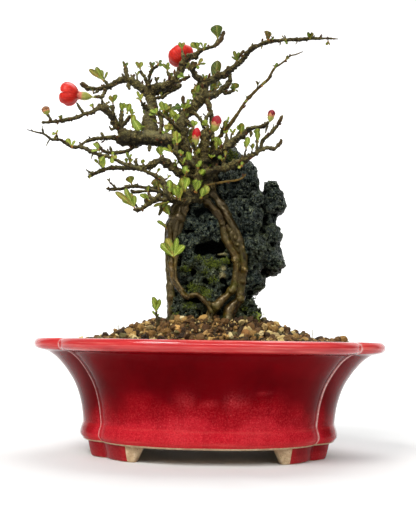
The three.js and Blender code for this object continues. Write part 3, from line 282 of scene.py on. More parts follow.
def lin(r, g, b):
    f = lambda c: (c / 255 / 12.92) if c / 255 <= 0.04045 else ((c / 255 + 0.055) / 1.055) ** 2.4
    return (f(r), f(g), f(b))

# glaze: deep mottled red, lighter where it runs thin over edges, with painted highlights and painted shade worked into
# its colour
def make_glaze():
    m = Mat("glaze_red").set(rough=0.12)
    z = m.z()
    # darker high on the wall under the lip and paler towards the foot, along a wavy line: partly the glaze running
    # thick up there, partly painted shade on the upper wall, which leans out and faces down
    # a per-point value moves the ramp: towards the lighter red at painted highlight patches, towards the darker red as
    # painted shade on the end lobes, near the creases and on the feet
    zw = m.math("ADD", z, m.remap(m.noise(26, 2, 0.5), 0.3, 0.7, -0.0045, 0.0045)); zw = m.math("SUBTRACT", zw, m.math("MULTIPLY", m.attr("painted_light_shade"), 0.010))
    tall = m.ramp(m.remap(zw, 0.010, 0.080), [(0.0, lin(180, 32, 42)), (0.14, lin(172, 24, 37)), (0.22, lin(144, 9, 22)), (0.38, lin(127, 3, 13)), (0.48, lin(113, 1, 9)), (0.57, lin(97, 0, 7)), (0.7, lin(90, 0, 5)), (0.9, lin(92, 1, 6)), (1.0, lin(106, 3, 10))])
    runs = m.noise(7.0, 4, 0.6, 0.2, m.stretch(1, 1, 0.16))
    col = m.mix(m.remap(runs, 0.42, 0.70, 0, 0.22), tall, lin(76, 0, 5))
    col = m.mix(m.remap(m.noise(38, 3, 0.5, 0.3), 0.40, 0.75, 0, 0.14), col, lin(160, 8, 20))
    # fine mottle, strongest near the foot
    low_more = m.remap(zw, 0.052, 0.024, 0.0, 1.0)
    col = m.mix(m.math("MULTIPLY", m.remap(m.noise(1.15, 4, 0.7), 0.44, 0.66, 0, 0.42), low_more), col, lin(214, 58, 64))
    col = m.mix(m.math("MULTIPLY", m.remap(m.noise(0.85, 3, 0.7, 0.4), 0.50, 0.68, 0, 0.7), low_more), col, lin(118, 2, 12))
    col = m.mix(m.math("MULTIPLY", m.remap(m.noise(0.8, 2, 0.6), 0.66, 0.76, 0, 0.5), low_more), col, lin(224, 110, 106))
    # painted highlight: pinkish patches where that value is positive, standing in for lamp reflections on the front
    # lobes
    col = m.mix(m.math("MULTIPLY", m.attr("painted_light_shade"), m.remap(m.noise(1.2, 3, 0.7), 0.40, 0.62, 0.10, 0.8)), col, lin(196, 70, 74))
    # thin glaze over the lip and the foot's edge
    thin = m.attr("thin")
    thin_n = m.math("MULTIPLY", thin, m.remap(m.noise(9.0, 2, 0.5, 0.0, m.stretch(0.3, 0.3, 2.0)), 0.3, 0.7, 0.8, 1.0))
    col = m.mix(thin_n, col, m.ramp(m.noise(2.6, 3, 0.55, 0.0, m.stretch(0.09, 0.09, 1.7)), [(0.28, lin(188, 34, 40)), (0.5, lin(203, 54, 54)), (0.70, lin(222, 98, 90))]))
    # palest along each rib: partly the glaze breaking thin over it, partly a painted reflection of the bright backdrop
    col = m.mix(m.math("MULTIPLY", m.attr("rib"), m.remap(m.noise(3.0, 3, 0.6), 0.2, 0.6, 0.6, 1.0)), col, m.ramp(m.noise(1.6, 3, 0.6), [(0.3, lin(206, 122, 118)), (0.7, lin(238, 206, 198))]))
    m.color(col)
    m.nt.links.new(m.remap(m.attr("gloss"), 0.0, 1.0, 0.025, 0.5), m.b.inputs["Specular IOR Level"])
    m.roughness(m.remap(m.noise(6, 3, 0.6), 0.3, 0.7, 0.09, 0.17))
    n = m.bump(m.noise(9.0, 2, 0.5), 0.22, 0.35)
    m.bump(m.noise(1.1, 2, 0.5), 0.08, 0.12, n)
    return m.m

def make_clay():
    m = Mat("clay_unglazed").set(spec=0.3)
    col = m.ramp(m.noise(3.5, 5, 0.62), [(0.25, lin(150, 122, 92)), (0.5, lin(190, 164, 128)), (0.75, lin(212, 192, 160))])
    col = m.mix(m.remap(m.noise(0.7, 2, 0.6), 0.6, 0.72), col, lin(118, 88, 62))
    col = m.mix(m.remap(m.noise(18, 3, 0.6), 0.5, 0.75, 0, 0.5), col, lin(142, 84, 66))
    m.color(col); m.roughness(m.remap(m.noise(4, 3), 0.3, 0.7, 0.62, 0.85))
    m.bump(m.noise(0.9, 4, 0.65), 0.5, 0.25)
    return m.m

def make_rock():
    m = Mat("rock_clinker").set(spec=0.30)
    pit = m.attr("pit"); crest = m.attr("crest"); green = m.attr("moss"); pale = m.attr("pale")
    base = m.ramp(m.noise(5.5, 6, 0.7, 0.4), [(0.22, lin(4, 7, 6)), (0.45, lin(12, 17, 14)), (0.60, lin(23, 29, 23)), (0.80, lin(56, 62, 42))])
    blue = m.ramp(m.noise(3.0, 5, 0.7), [(0.3, lin(3, 9, 10)), (0.7, lin(21, 33, 33))])
    col = m.mix(m.remap(m.noise(22, 3, 0.5), 0.38, 0.66), base, blue)
    # dull olive weathering, paler crests (partly weathered, partly painted highlight), ashy flecks
    col = m.mix(m.math("MULTIPLY", m.remap(m.noise(9, 4, 0.6, 0.5), 0.44, 0.66, 0, 0.8), m.remap(m.z(), 0.185, 0.105, 0.15, 1.0)), col, lin(36, 38, 12))
    col = m.mix(m.math("MULTIPLY", crest, m.remap(m.noise(2.2, 4, 0.7), 0.40, 0.66, 0, 0.85)), col, m.ramp(m.noise(4, 3), [(0.3, lin(52, 62, 54)), (0.7, lin(104, 110, 80))]))
    col = m.mix(m.remap(m.noise(1.3, 4, 0.72), 0.64, 0.76, 0, 0.45), col, lin(92, 94, 66))
    col = m.mix(m.remap(m.noise(1.7, 4, 0.7, 0.5), 0.56, 0.68, 0, 0.85), col, lin(10, 12, 12))
    col = m.mix(pale, col, m.ramp(m.noise(1.8, 4, 0.7), [(0.3, lin(112, 100, 62)), (0.55, lin(170, 158, 108)), (0.75, lin(206, 198, 158))]))
    mossy = m.ramp(m.noise(1.4, 4, 0.7), [(0.25, lin(30, 34, 8)), (0.5, lin(62, 68, 18)), (0.78, lin(104, 110, 38))])
    col = m.mix(m.math("MULTIPLY", green, m.remap(m.noise(2.6, 4, 0.7), 0.34, 0.58)), col, mossy)
    # painted shade: near black in the hollows and pits
    col = m.mix(m.remap(pit, 0.06, 0.55, 0, 0.94), col, lin(3, 4, 4))
    # painted highlight: pale flecks on the crests, standing in for glints on the wet stone
    col = m.mix(m.math("MULTIPLY", m.remap(crest, 0.25, 0.9), m.remap(m.noise(0.7, 3, 0.75), 0.52, 0.64, 0, 0.7)), col, m.ramp(m.noise(3, 3), [(0.3, lin(84, 96, 84)), (0.7, lin(142, 142, 106))]))
    # painted shade: darker towards the top of the stone, under the trunk and the crown
    col = m.mix(m.remap(m.z(), 0.164, 0.192, 0, 0.42), col, lin(6, 9, 9))
    m.color(col)
    # crisp small-scale grain: dark specks, and lighter points kept out of the hollows, which are painted glints of a
    # wet surface
    fine = m.noise(0.95, 2, 0.5); area = m.remap(m.noise(7, 3, 0.6), 0.40, 0.62, 0.22, 1.0)
    col = m.mix(m.math("MULTIPLY", m.remap(fine, 0.50, 0.38, 0, 0.9), area), col, lin(2, 3, 3))
    col = m.mix(m.math("MULTIPLY", m.math("MULTIPLY", m.remap(fine, 0.58, 0.67, 0, 0.9), area), m.remap(pit, 0.3, 0.05)), col, m.ramp(m.noise(4, 2), [(0.35, lin(84, 100, 88)), (0.65, lin(150, 154, 118))]))
    m.color(col)
    wet = m.math("MULTIPLY", m.remap(m.noise(1.5, 3, 0.6), 0.44, 0.60, 0.03, 0.66), m.remap(pit, 0.5, 0.05, 0.1, 1.0))
    m.nt.links.new(wet, m.b.inputs["Specular IOR Level"]); m.b.inputs["Specular Tint"].default_value = (0.84, 1.0, 0.92, 1)
    m.roughness(m.remap(m.noise(2.2, 4), 0.3, 0.7, 0.22, 0.55))
    n = m.bump(m.noise(2.4, 5, 0.72), 1.0, 1.9)
    m.bump(m.cells(1.15), 0.6, 0.5, n)
    return m.m

def make_bark(name, kind):
    """kind 0 crown bark, 1 strands and roots over the stone"""
    m = Mat(name).set(spec=0.14 if kind == 0 else 0.44)
    if kind: m.b.inputs["Specular Tint"].default_value = (1.0, 0.80, 0.50, 1)
    ridge = m.attr("ridge"); tone = m.attr("tone"); top = m.attr("top"); pit = m.attr("pit"); crest = m.attr("crest")
    if kind == 0:
        stops = [(0.2, lin(19, 13, 4)), (0.42, lin(38, 29, 10)), (0.6, lin(67, 54, 22)), (0.82, lin(122, 106, 54))]
        alt = [(0.25, lin(26, 24, 8)), (0.75, lin(92, 84, 40))]
        dark, pale = lin(12, 7, 2), lin(164, 146, 88)
    else:
        stops = [(0.2, lin(22, 14, 3)), (0.42, lin(46, 32, 8)), (0.62, lin(78, 57, 16)), (0.85, lin(134, 104, 40))]
        alt = [(0.25, lin(30, 26, 5)), (0.75, lin(82, 74, 20))]
        dark, pale = lin(12, 6, 2), lin(196, 170, 112)
    col = m.ramp(m.noise(3.4, 5, 0.66, 0.5), stops)
    col = m.mix(m.remap(m.noise(11, 3, 0.5), 0.4, 0.66, 0, 0.8), col, m.ramp(m.noise(2.0, 4, 0.7), alt))
    grey = m.ramp(m.noise(2.4, 5, 0.7), [(0.25, lin(42, 35, 20)), (0.5, lin(74, 65, 40)), (0.78, lin(132, 118, 80))] if kind else [(0.25, lin(74, 70, 46)), (0.75, lin(138, 132, 96))])
    col = m.mix(tone, col, grey)
    # paler on the ridges and crests, darker in the furrows: partly the bark's own colour, partly painted highlight and
    # painted shade
    col = m.mix(m.remap(ridge, 0.60, 0.98, 0, 0.42), col, pale)
    col = m.mix(m.math("MULTIPLY", m.remap(crest, 0.3, 1.0), m.remap(m.noise(1.8, 4, 0.7), 0.40, 0.66, 0, 0.8 if kind else 0.6)), col, pale)
    col = m.mix(m.remap(ridge, 0.40, 0.10, 0, 0.85), col, dark)
    if kind == 0:
        # lichen and moss grow on what faces up; the undersides get painted shade, nearly black
        col = m.mix(m.math("MULTIPLY", m.remap(top, 0.45, 0.9), m.remap(m.noise(3.4, 4, 0.65), 0.44, 0.60, 0, 0.75)), col, m.ramp(m.noise(1.2, 4, 0.7), [(0.3, lin(70, 70, 32)), (0.7, lin(138, 132, 84))]))
        col = m.mix(m.remap(top, 0.36, 0.04, 0, 0.74), col, lin(13, 11, 6))
        col = m.mix(m.math("MULTIPLY", m.remap(m.noise(0.9, 3, 0.6), 0.60, 0.70), 0.6), col, pale)
    else:
        # painted shade: darker on the undersides
        col = m.mix(m.remap(top, 0.20, 0.0, 0, 0.45), col, dark)
        col = m.mix(m.remap(m.noise(5.0, 4, 0.7, 0.8), 0.64, 0.74, 0, 0.5), col, lin(176, 148, 92))
        col = m.mix(m.remap(m.noise(9.0, 3, 0.6, 0.6), 0.52, 0.70, 0, 0.65), col, lin(62, 64, 14))
    col = m.mix(m.math("MULTIPLY", m.remap(m.noise(1.3, 3, 0.6, 0.8), 0.58, 0.68), 0.85 if kind == 0 else 0.45), col, dark)
    # painted shade in the hollows and cracks
    col = m.mix(m.remap(pit, 0.2, 0.9, 0, 0.9), col, dark)
    col = m.mix(m.attr("bud"), col, m.ramp(m.noise(1.0, 3, 0.6), [(0.3, lin(44, 22, 12)), (0.7, lin(104, 60, 34))]))
    col = m.mix(m.attr("ochre"), col, m.ramp(m.noise(2.0, 3, 0.6), [(0.3, lin(66, 50, 18)), (0.7, lin(118, 94, 42))]))
    # painted shade: strands darker higher up, where they pass under the trunk and the tufts
    if kind: col = m.mix(m.remap(m.z(), 0.140, 0.176, 0, 0.66), col, dark)
    # darken by a per-point value: painted shade on the bark under the crown and in the gaps between strands, and a
    # darker tone on some strands
    col = m.mix(m.attr("dim"), col, m.mix(1.0, col, (0.20, 0.19, 0.17), "MULTIPLY"))
    m.color(col)
    m.roughness(m.remap(m.noise(2.5, 3), 0.3, 0.7, 0.22, 0.48) if kind else m.remap(m.noise(2.5, 3), 0.3, 0.7, 0.42, 0.74))
    if kind == 0:
        n = m.bump(m.noise(1.1, 5, 0.74, 0.6), 1.0, 0.7)
        m.bump(m.noise(0.45, 3, 0.6), 0.4, 0.18, n)
    else:
        n = m.bump(m.noise(2.4, 4, 0.6, 0.4), 0.5, 0.35)
        m.bump(m.noise(0.6, 3, 0.6), 0.25, 0.10, n)
    return m.m

def make_leaf():
    m = Mat("leaf_green").set(rough=0.46, spec=0.25, sss=0.10, sss_scale=0.002)
    shade = m.attr("shade"); along = m.attr("along"); rib = m.attr("rib"); red = m.attr("red")
    light = m.ramp(m.noise(2.2, 3, 0.6), [(0.3, lin(96, 122, 14)), (0.7, lin(142, 158, 40))])
    dark = m.ramp(m.noise(2.2, 3, 0.6), [(0.3, lin(26, 50, 4)), (0.7, lin(54, 84, 12))])
    col = m.mix(shade, light, dark)
    paler = m.remap(shade, 0.8, 0.2, 0.35, 1.0)
    col = m.mix(m.math("MULTIPLY", m.remap(along, 0.35, 0.0, 0, 0.7), paler), col, lin(190, 194, 92))
    col = m.mix(m.math("MULTIPLY", m.remap(rib, 0.55, 1.0, 0, 0.55), paler), col, lin(196, 204, 104))
    col = m.mix(m.remap(m.attr("edge"), 0.62, 1.0, 0, 0.62), col, lin(50, 68, 12))
    vein = m.math("SINE", m.math("MULTIPLY", m.attr("vein"), 44.0))
    col = m.mix(m.math("MULTIPLY", m.remap(vein, 0.62, 1.0, 0, 0.45), paler), col, lin(196, 208, 112))
    col = m.mix(m.math("MULTIPLY", red, m.remap(m.noise(1.6, 2), 0.35, 0.6)), col, lin(150, 84, 46))
    col = m.mix(m.remap(m.noise(0.7, 2, 0.6), 0.64, 0.76, 0, 0.4), col, lin(70, 92, 30))
    m.color(col)
    m.bump(vein, 0.35, 0.12)
    return m.m

def make_petal(name, a, b, edge, deep):
    m = Mat(name).set(rough=0.42, spec=0.22, sss=0.10, sss_scale=0.002, sheen=0.0)
    along = m.attr("along"); across = m.attr("across")
    col = m.ramp(m.noise(3.0, 3, 0.6, 0.4), [(0.3, a), (0.7, b)])
    veins = m.math("SINE", m.math("MULTIPLY_ADD", across, 46.0, m.math("MULTIPLY", m.noise(3.0, 3), 5.0)))
    col = m.mix(m.remap(veins, 0.45, 1.0, 0, 0.32), col, deep)
    col = m.mix(m.remap(along, 0.84, 1.0, 0, 0.45), col, edge)
    # painted shade: darker along each petal's sides, where petals meet and overlap, and towards the base, deep in the
    # cup
    col = m.mix(m.remap(m.math("ABSOLUTE", m.math("SUBTRACT", across, 0.5)), 0.40, 0.5, 0, 0.45), col, deep)
    col = m.mix(m.remap(along, 0.28, 0.0, 0, 0.6), col, deep)
    m.color(col)
    m.bump(veins, 0.25, 0.12)
    return m.m

def make_two_tone(name, a, b, c, rough=0.5, mm=2.0, bump=0.3):
    m = Mat(name).set(spec=0.34)
    col = m.ramp(m.noise(mm, 4, 0.6, 0.3), [(0.25, a), (0.75, b)])
    col = m.mix(m.remap(m.noise(mm * 0.4, 3, 0.6), 0.6, 0.72, 0, 0.6), col, c)
    m.color(col); m.roughness(m.remap(m.noise(mm * 1.5, 2), 0.3, 0.7, rough - 0.1, rough + 0.1))
    m.bump(m.noise(mm * 0.5, 3, 0.6), bump, 0.2)
    return m.m

def make_tinted(name, rough=0.8, grain_mm=0.9, bump=0.6, spec=0.25):
    """colour comes from a per-grain tint, broken up by fine noise"""
    m = Mat(name).set(spec=spec)
    t = m.attr("tint", True)
    col = m.mix(m.remap(m.noise(grain_mm, 4, 0.68), 0.34, 0.7, 0, 0.5), t, m.mix(1.0, t, (0.42, 0.38, 0.34), "MULTIPLY"))
    col = m.mix(m.remap(m.noise(grain_mm * 0.45, 3, 0.6), 0.6, 0.74, 0, 0.5), col, m.mix(0.55, t, (0.75, 0.68, 0.52)))
    m.color(col); m.roughness(m.remap(m.noise(2.4, 3), 0.3, 0.7, rough - 0.14, rough + 0.12))
    n = m.bump(m.noise(grain_mm, 5, 0.7), bump, 0.35)
    return m.m

# ------------------------------------------------------------------ pot
RIM_HALF_X, RIM_HALF_Y = 133.6, 104.0
CREASE_U, CREASE_V, LOBE, GROOVE = 0.81, 0.475, math.radians(78), 0.018
FLOOR_UNDER, FLOOR_TOP = 11.0, 18.0
DRAIN_X, DRAIN_R = 42.0, 9.0
SOIL_EDGE, SOIL_RISE = 80.5, 23.0
OUTER = [(12.4, 95.2), (15.3, 97.2), (19.5, 96.8), (24, 95.4), (28.5, 95.7), (40, 97.8), (52, 102), (62, 108.2), (70, 115), (74.2, 120.2), (76.5, 124.6), (77.4, 129.0), (78.9, 132.3), (81.6, 133.5), (84, 132.8), (85.5, 130.9), (86, 128.6)]
INNER = [(86, 126.2), (84.4, 123.4), (77, 115.3), (67, 105.2)]

def half_y(a): return 77 + (a - 96) * 28 / 39.0

def plan(s):
    """unit plan of the pot, vectorised; s counts the corner creases"""
    s = np.mod(np.asarray(s, float), 4); k = np.floor(s).astype(int) % 4
    ang = ((s - np.floor(s)) * 2 - 1) * LOBE
    sn = np.sin(ang) / math.sin(LOBE); cs = (np.cos(ang) - math.cos(LOBE)) / (1 - math.cos(LOBE))
    xl = CREASE_U * sn
    yl = (CREASE_V + (1 - CREASE_V) * cs) * (1 - GROOVE * np.exp(-(xl / 0.1) ** 2))
    ye = CREASE_V * sn; xe = CREASE_U + (1 - CREASE_U) * cs
    x = np.select([k == 0, k == 1, k == 2, k == 3], [xl, xe, -xl, -xe])
    y = np.select([k == 0, k == 1, k == 2, k == 3], [-yl, ye, yl, -ye])
    return x, y

def spline(points, n):
    """smooth curve through profile points, evenly spaced"""
    P = np.asarray(points, float); P2 = np.vstack([2 * P[0] - P[1], P, 2 * P[-1] - P[-2]]); out = []
    for i in range(1, len(P2) - 2):
        for t in np.linspace(0, 1, 14, endpoint=False):
            a, b, c, d = P2[i - 1], P2[i], P2[i + 1], P2[i + 2]
            out.append(0.5 * ((2 * b) + (c - a) * t + (2 * a - 5 * b + 4 * c - d) * t * t + (3 * b - a - 3 * c + d) * t ** 3))
    out.append(P[-1]); out = np.array(out)
    L = np.r_[0, np.cumsum(np.linalg.norm(np.diff(out, axis=0), axis=1))]
    s = np.linspace(0, L[-1], n)
    return np.c_[np.interp(s, L, out[:, 0]), np.interp(s, L, out[:, 1])]

# sample positions round the pot: dense by the creases, where a rib runs down the wall
def ring_s():
    s = []
    for k in range(4):
        length = 190.0 if k % 2 == 0 else 104.0
        near = np.array([0, .35, .7, 1.05, 1.4, 1.8, 2.3, 3.0, 4.0, 5.5, 7.5]) / length
        mid = np.linspace(10 / length, 1 - 10 / length, 27 if k % 2 == 0 else 17)
        s += list(k + near) + list(k + mid) + list(k + 1 - near[:0:-1])
    return np.array(s)
RS = ring_s()
CREASE_MM = np.minimum.reduce([np.abs(np.mod(RS - k + 2, 4) - 2) * np.where(np.mod(RS - k + 2, 4) - 2 > 0, 190.0 if k % 2 == 0 else 104.0, 104.0 if k % 2 == 0 else 190.0) for k in range(4)])

def pot_ring(a, z, rib=0.0):
    x, y = plan(RS); X, Y = x * a, y * half_y(a)
    if rib:
        r = rib * np.exp(-(CREASE_MM / 1.15) ** 2); n = np.hypot(X, Y); X, Y = X * (1 + r / n), Y * (1 + r / n)
    return np.c_[X, Y, np.full(len(X), z)]

def build_pot(glaze, clay):
    rows = []                                  # (z, a, rib, thin, material)
    prof = spline(OUTER, 92)
    for z, a in prof:
        rib = 0.95 * smoothstep(13.5, 17, z) * (1 - 0.6 * smoothstep(76, 79.5, z))
        thin = 0.42 * math.exp(-((z - 14.2) / 1.6) ** 2) + 0.20 * math.exp(-((z - 23.2) / 1.0) ** 2) + 0.85 * smoothstep(76.6, 78.2, z)
        rows.append((z, a, rib, thin, 0))
    for z, a in spline(INNER, 16)[1:]:
        rows.append((z, a, 0, 0.8 if z > 83.6 else 0.15, 0))
    under = [(11.9, 95.0, 0, 1.0, 0), (11.35, 94.0, 0, .4, 1), (11.0, 92.6, 0, 0, 1)]
    rows = [u for u in under[::-1]] + rows
    n = len(RS); V = []; thin = []; ribs = []; gloss = []; painted_light_shade = []
    # painted highlights: soft lighter patches at given places on the front of the pot, standing in for lamp reflections
    # on the lobes
    highlight_spots = [(unproj(px, py, -86.0), w, k) for (px, py, w, k) in ((184, 402, 6.0, 0.42), (236, 403, 6.2, 0.62), (305, 417, 3.6, 0.42), (211, 405, 2.4, 0.45), (267, 394.5, 1.4, 0.4), (178, 436, 12, 0.35), (250, 438, 10, 0.3))]
    wob = 0.35
    for z, a, rib, t, mi in rows:
        R = pot_ring(a, z, rib)
        # hand finished walls: slow waviness of a fraction of a millimetre
        w = (fbm(np.c_[R[:, 0], R[:, 1], R[:, 2] * 1.6], 46, 2, 5) - 0.5) * wob
        d = np.hypot(R[:, 0], R[:, 1])[:, None]
        R[:, :2] *= 1 + (w[:, None] / d)
        V.append(R)
        highlight_patch = np.zeros(n)
        for c, w, k in highlight_spots: highlight_patch = np.maximum(highlight_patch, k * np.exp(-((R[:, 0] - c[0]) ** 2 + (R[:, 2] - c[2]) ** 2) / w ** 2 * 1.3) * (R[:, 1] < 0))
        # painted shade: the two end lobes, and the lower body near the creases, are pushed darker, as they turn away
        # from the light
        ends = smoothstep(0.80, 0.90, np.abs(R[:, 0]) / max(a, 1)) * (z < 76)       # the two end lobes stay dark nearly to the foot
        edge = smoothstep(0.42, 0.79, np.abs(R[:, 0]) / max(a, 1)) * np.where(R[:, 0] > 0, 0.75, 0.5) * (z < 76) * smoothstep(15, 30, z)
        painted_light_shade.append(highlight_patch - np.maximum(1.7 * ends, edge) * (1 - highlight_patch) if z > 12.2 else highlight_patch * 0)
        # painted reflection on the ribs: a band along each crease, wider and stronger on the right-hand side
        wide = np.where(R[:, 0] > 0, 1.35, 0.72)
        crest = np.exp(-(CREASE_MM / wide) ** 2) * np.where(R[:, 0] > 0, 0.95, 0.7) * (1.0 if 13 < z < 82 else 0.6) if z > 12.2 else 0 * CREASE_MM
        thin.append(np.full(n, t)); ribs.append(crest)
        side = smoothstep(0.70, 0.95, np.abs(R[:, 0]) / max(a, 1)) * 0.22 + 0.20 * np.exp(-(CREASE_MM / 12) ** 2) * smoothstep(40, 66, z)
        gloss.append(np.clip(np.maximum(np.maximum(crest, t * 1.0 if z > 60 else t * 0.5), side), 0, 1))
    V = np.concatenate(V); thin = np.concatenate(thin); ribs = np.concatenate(ribs); gloss = np.concatenate(gloss); painted_light_shade = np.concatenate(painted_light_shade)
    i = np.arange(n); j = (i + 1) % n; F = []; MI = []
    for r in range(len(rows) - 1):
        F.append(np.c_[r * n + i, r * n + j, (r + 1) * n + j, (r + 1) * n + i]); MI.append(np.full(n, 1 if rows[r + 1][4] or rows[r + 1][0] < 13.1 else 0))     # bare clay where the glaze was wiped from the bottom edge
    base = len(V)
    soup_v = [V]; thin_l = [thin]
    F = [np.concatenate(F)]; MI = [np.concatenate(MI)]
    o = mesh_object("pot_wall", V, F, [glaze, clay], True, {"thin": thin, "rib": ribs, "gloss": gloss, "painted_light_shade": painted_light_shade}, np.concatenate(MI))
    return o

def build_pot_floor(clay):
    """the unglazed underside with its two round drain holes, as one sheet with thickness"""
    s = Soup(); N = 96
    x, y = plan(np.linspace(0, 4, N, endpoint=False)); rim = np.c_[x * 92.8, y * half_y(92.8)]
    # polar grids round each hole, blended out to the half outline
    for side in (-1, 1):
        M = 72; th = 2 * math.pi * np.arange(M) / M
        c, sn = np.cos(th), np.sin(th)
        # distance to the boundary of this half: the pot outline or the middle line x = 0
        reach = np.zeros(M)
        for q in range(M):
            d = np.array([c[q], sn[q]]); best = 1e9
            for e in range(N):
                p0 = rim[e]; p1 = rim[(e + 1) % N]; ed = p1 - p0
                den = d[0] * ed[1] - d[1] * ed[0]
                if abs(den) < 1e-9: continue
                w0 = p0 - np.array([side * DRAIN_X, 0.0])
                t = (w0[0] * ed[1] - w0[1] * ed[0]) / den; u = (w0[0] * d[1] - w0[1] * d[0]) / den
                if t > 0 and -1e-9 <= u <= 1 + 1e-9: best = min(best, t)
            if d[0] * side < -1e-6: best = min(best, -side * DRAIN_X / d[0])
            reach[q] = best
        rings = []
        for k, zz in [(0.0, FLOOR_TOP), (0.0, 12.2), (0.02, 11.3), (0.05, 11.0), (0.12, 11.0), (0.3, 11.0), (0.5, 11.0), (0.75, 11.0), (1.0, 11.0)]:
            r = DRAIN_R + (reach - DRAIN_R) * k
            P = np.c_[side * DRAIN_X + c * r, sn * r, np.full(M, zz)]
            if zz == 11.0: P[:, 2] += (fbm(P, 9, 3, 3) - 0.5) * 0.5 * math.sin(math.pi * min(1, k * 1.6 if k < .6 else (1 - k) * 2.4))
            rings.append(P)
        for zz in (FLOOR_TOP,):
            pass
        V = np.concatenate(rings); i = np.arange(M); j = (i + 1) % M; F = []
        for r in range(len(rings) - 1):
            F.append(np.c_[r * M + i, r * M + j, (r + 1) * M + j, (r + 1) * M + i])
        s.add(V, f4=np.concatenate(F))
    return s.build("pot_underside", clay)

def build_feet(glaze, clay):
    """four corner feet; each end is an unglazed facet that slants in towards the middle of the pot"""
    prof = [(0.0, 12.6), (0.25, 10.4), (0.9, 7.4), (1.7, 4.2), (2.5, 1.5), (3.1, 0.45), (4.1, 0.0), (6.4, 0.0), (8.4, 0.0), (9.6, 0.5), (10.3, 2.2), (10.9, 6.0), (11.2, 10.4), (11.3, 12.6)]
    V, F, MI, thin = [], [], [], []; base = 0; n1, n2 = 27, 7
    for k in range(4):
        long_first = k % 2 == 0
        a_top, b_top = (0.345, 0.243) if long_first else (0.243, 0.345)
        a_cut, b_cut = (0.052, 0.036) if long_first else (0.036, 0.052)
        a_face, b_face = (0.084, 0.0575) if long_first else (0.0575, 0.084)
        rows = []
        for off, z in prof:
            drop = (1 - z / 12.6) ** 0.85
            lo, hi = k - a_top + a_cut * drop, k + b_top - b_cut * drop                       # where the foot ends at this height
            vlo, vhi = k - a_top + a_face, k + b_top - b_face                     # upright line where the facet starts
            vlo, vhi = max(lo, vlo), min(hi, vhi)
            s = np.concatenate([np.linspace(lo, vlo, n2)[:-1], np.linspace(vlo, vhi, n1), np.linspace(vhi, hi, n2)[1:]])
            x, y = plan(s); a = 93.8 - off
            P = np.c_[x * a, y * half_y(a), np.full(len(s), z)]
            e = np.zeros(len(s)); wl, wh = max(vlo - lo, 1e-6), max(hi - vhi, 1e-6)
            e[:n2 - 1] = ((vlo - s[:n2 - 1]) / wl) * min(1, (vlo - lo) / a_face); e[-(n2 - 1):] = ((s[-(n2 - 1):] - vhi) / wh) * min(1, (hi - vhi) / b_face)
            d = np.hypot(P[:, 0], P[:, 1]); ins = 8.0 * e * max(0.0, 1 - off / 9.0)
            soft = np.exp(-((np.arange(len(s)) - (n2 - 1)) / 0.8) ** 2) + np.exp(-((np.arange(len(s)) - (n2 + n1 - 2)) / 0.8) ** 2)
            ins = ins + 0.35 * soft * (off < 5)
            P[:, :2] *= (1 - ins / d)[:, None]
            w = (fbm(P, 12, 2, 9) - 0.5) * 0.5; P[:, :2] *= (1 + w / d)[:, None]
            rows.append(P)
        m = len(rows); n = n1 + 2 * (n2 - 1); G = np.array(rows)
        V.append(G.reshape(-1, 3)); th = np.zeros((m, n)); th[3:7, :] = 0.12; th[:, n2 - 2:n2 + 1] = 0.2; th[:, n2 + n1 - 3:n2 + n1] = 0.2; thin.append(th.ravel())
        cols = np.arange(n - 1); facet = (cols < n2 - 1) | (cols >= n2 - 1 + n1 - 1)
        for r in range(m - 1):
            F.append(np.c_[base + r * n + cols + 1, base + r * n + cols, base + (r + 1) * n + cols, base + (r + 1) * n + cols + 1])
            MI.append(np.where(facet | (r >= 5), 1, 0))
        for col, flip in ((0, False), (n - 1, True)):
            a, b = 0, m - 1
            while b - a > 1:
                q = [base + a * n + col, base + (a + 1) * n + col, base + (b - 1) * n + col, base + b * n + col]
                if a + 1 == b - 1:
                    tri = [q[0], q[1], q[3]]
                    F.append(np.array([tri[::-1] if not flip else tri])); MI.append(np.array([1]))
                    break
                F.append(np.array([q[::-1] if not flip else q])); MI.append(np.array([1]))
                a += 1; b -= 1
        base += m * n
    mi = [m for f, m in zip(F, MI) if f.shape[1] == 3] + [m for f, m in zip(F, MI) if f.shape[1] == 4]
    tri = [f for f in F if f.shape[1] == 3]; quad = [f for f in F if f.shape[1] == 4]
    faces = ([np.concatenate(tri)] if tri else []) + [np.concatenate(quad)]
    # the feet are pushed far darker in the glaze: painted shade, as they stand under the band
    return mesh_object("pot_feet", np.concatenate(V), faces, [glaze, clay], True, {"thin": np.concatenate(thin), "gloss": np.full(len(np.concatenate(thin)), 0.28), "painted_light_shade": np.full(len(np.concatenate(thin)), -3.2)}, np.concatenate(mi))

# ------------------------------------------------------------------ camera of the photograph, used to place what the picture shows
PHI, RHO, FPX = math.radians(5.1), 0.0154, 907.0
CAM = np.array([-2.5, -700.0, 86.0])
FWD = np.array([0, math.cos(PHI), math.sin(PHI)]); UP0 = np.array([0, -math.sin(PHI), math.cos(PHI)]); RT0 = np.array([1.0, 0, 0])
RT = math.cos(RHO) * RT0 + math.sin(RHO) * UP0; UPV = -math.sin(RHO) * RT0 + math.cos(RHO) * UP0

def ray(px, py): return (px - 208) / FPX * RT + (259 - py) / FPX * UPV + FWD
def unproj(px, py, y):
    d = ray(px, py); return CAM + (y - CAM[1]) / d[1] * d

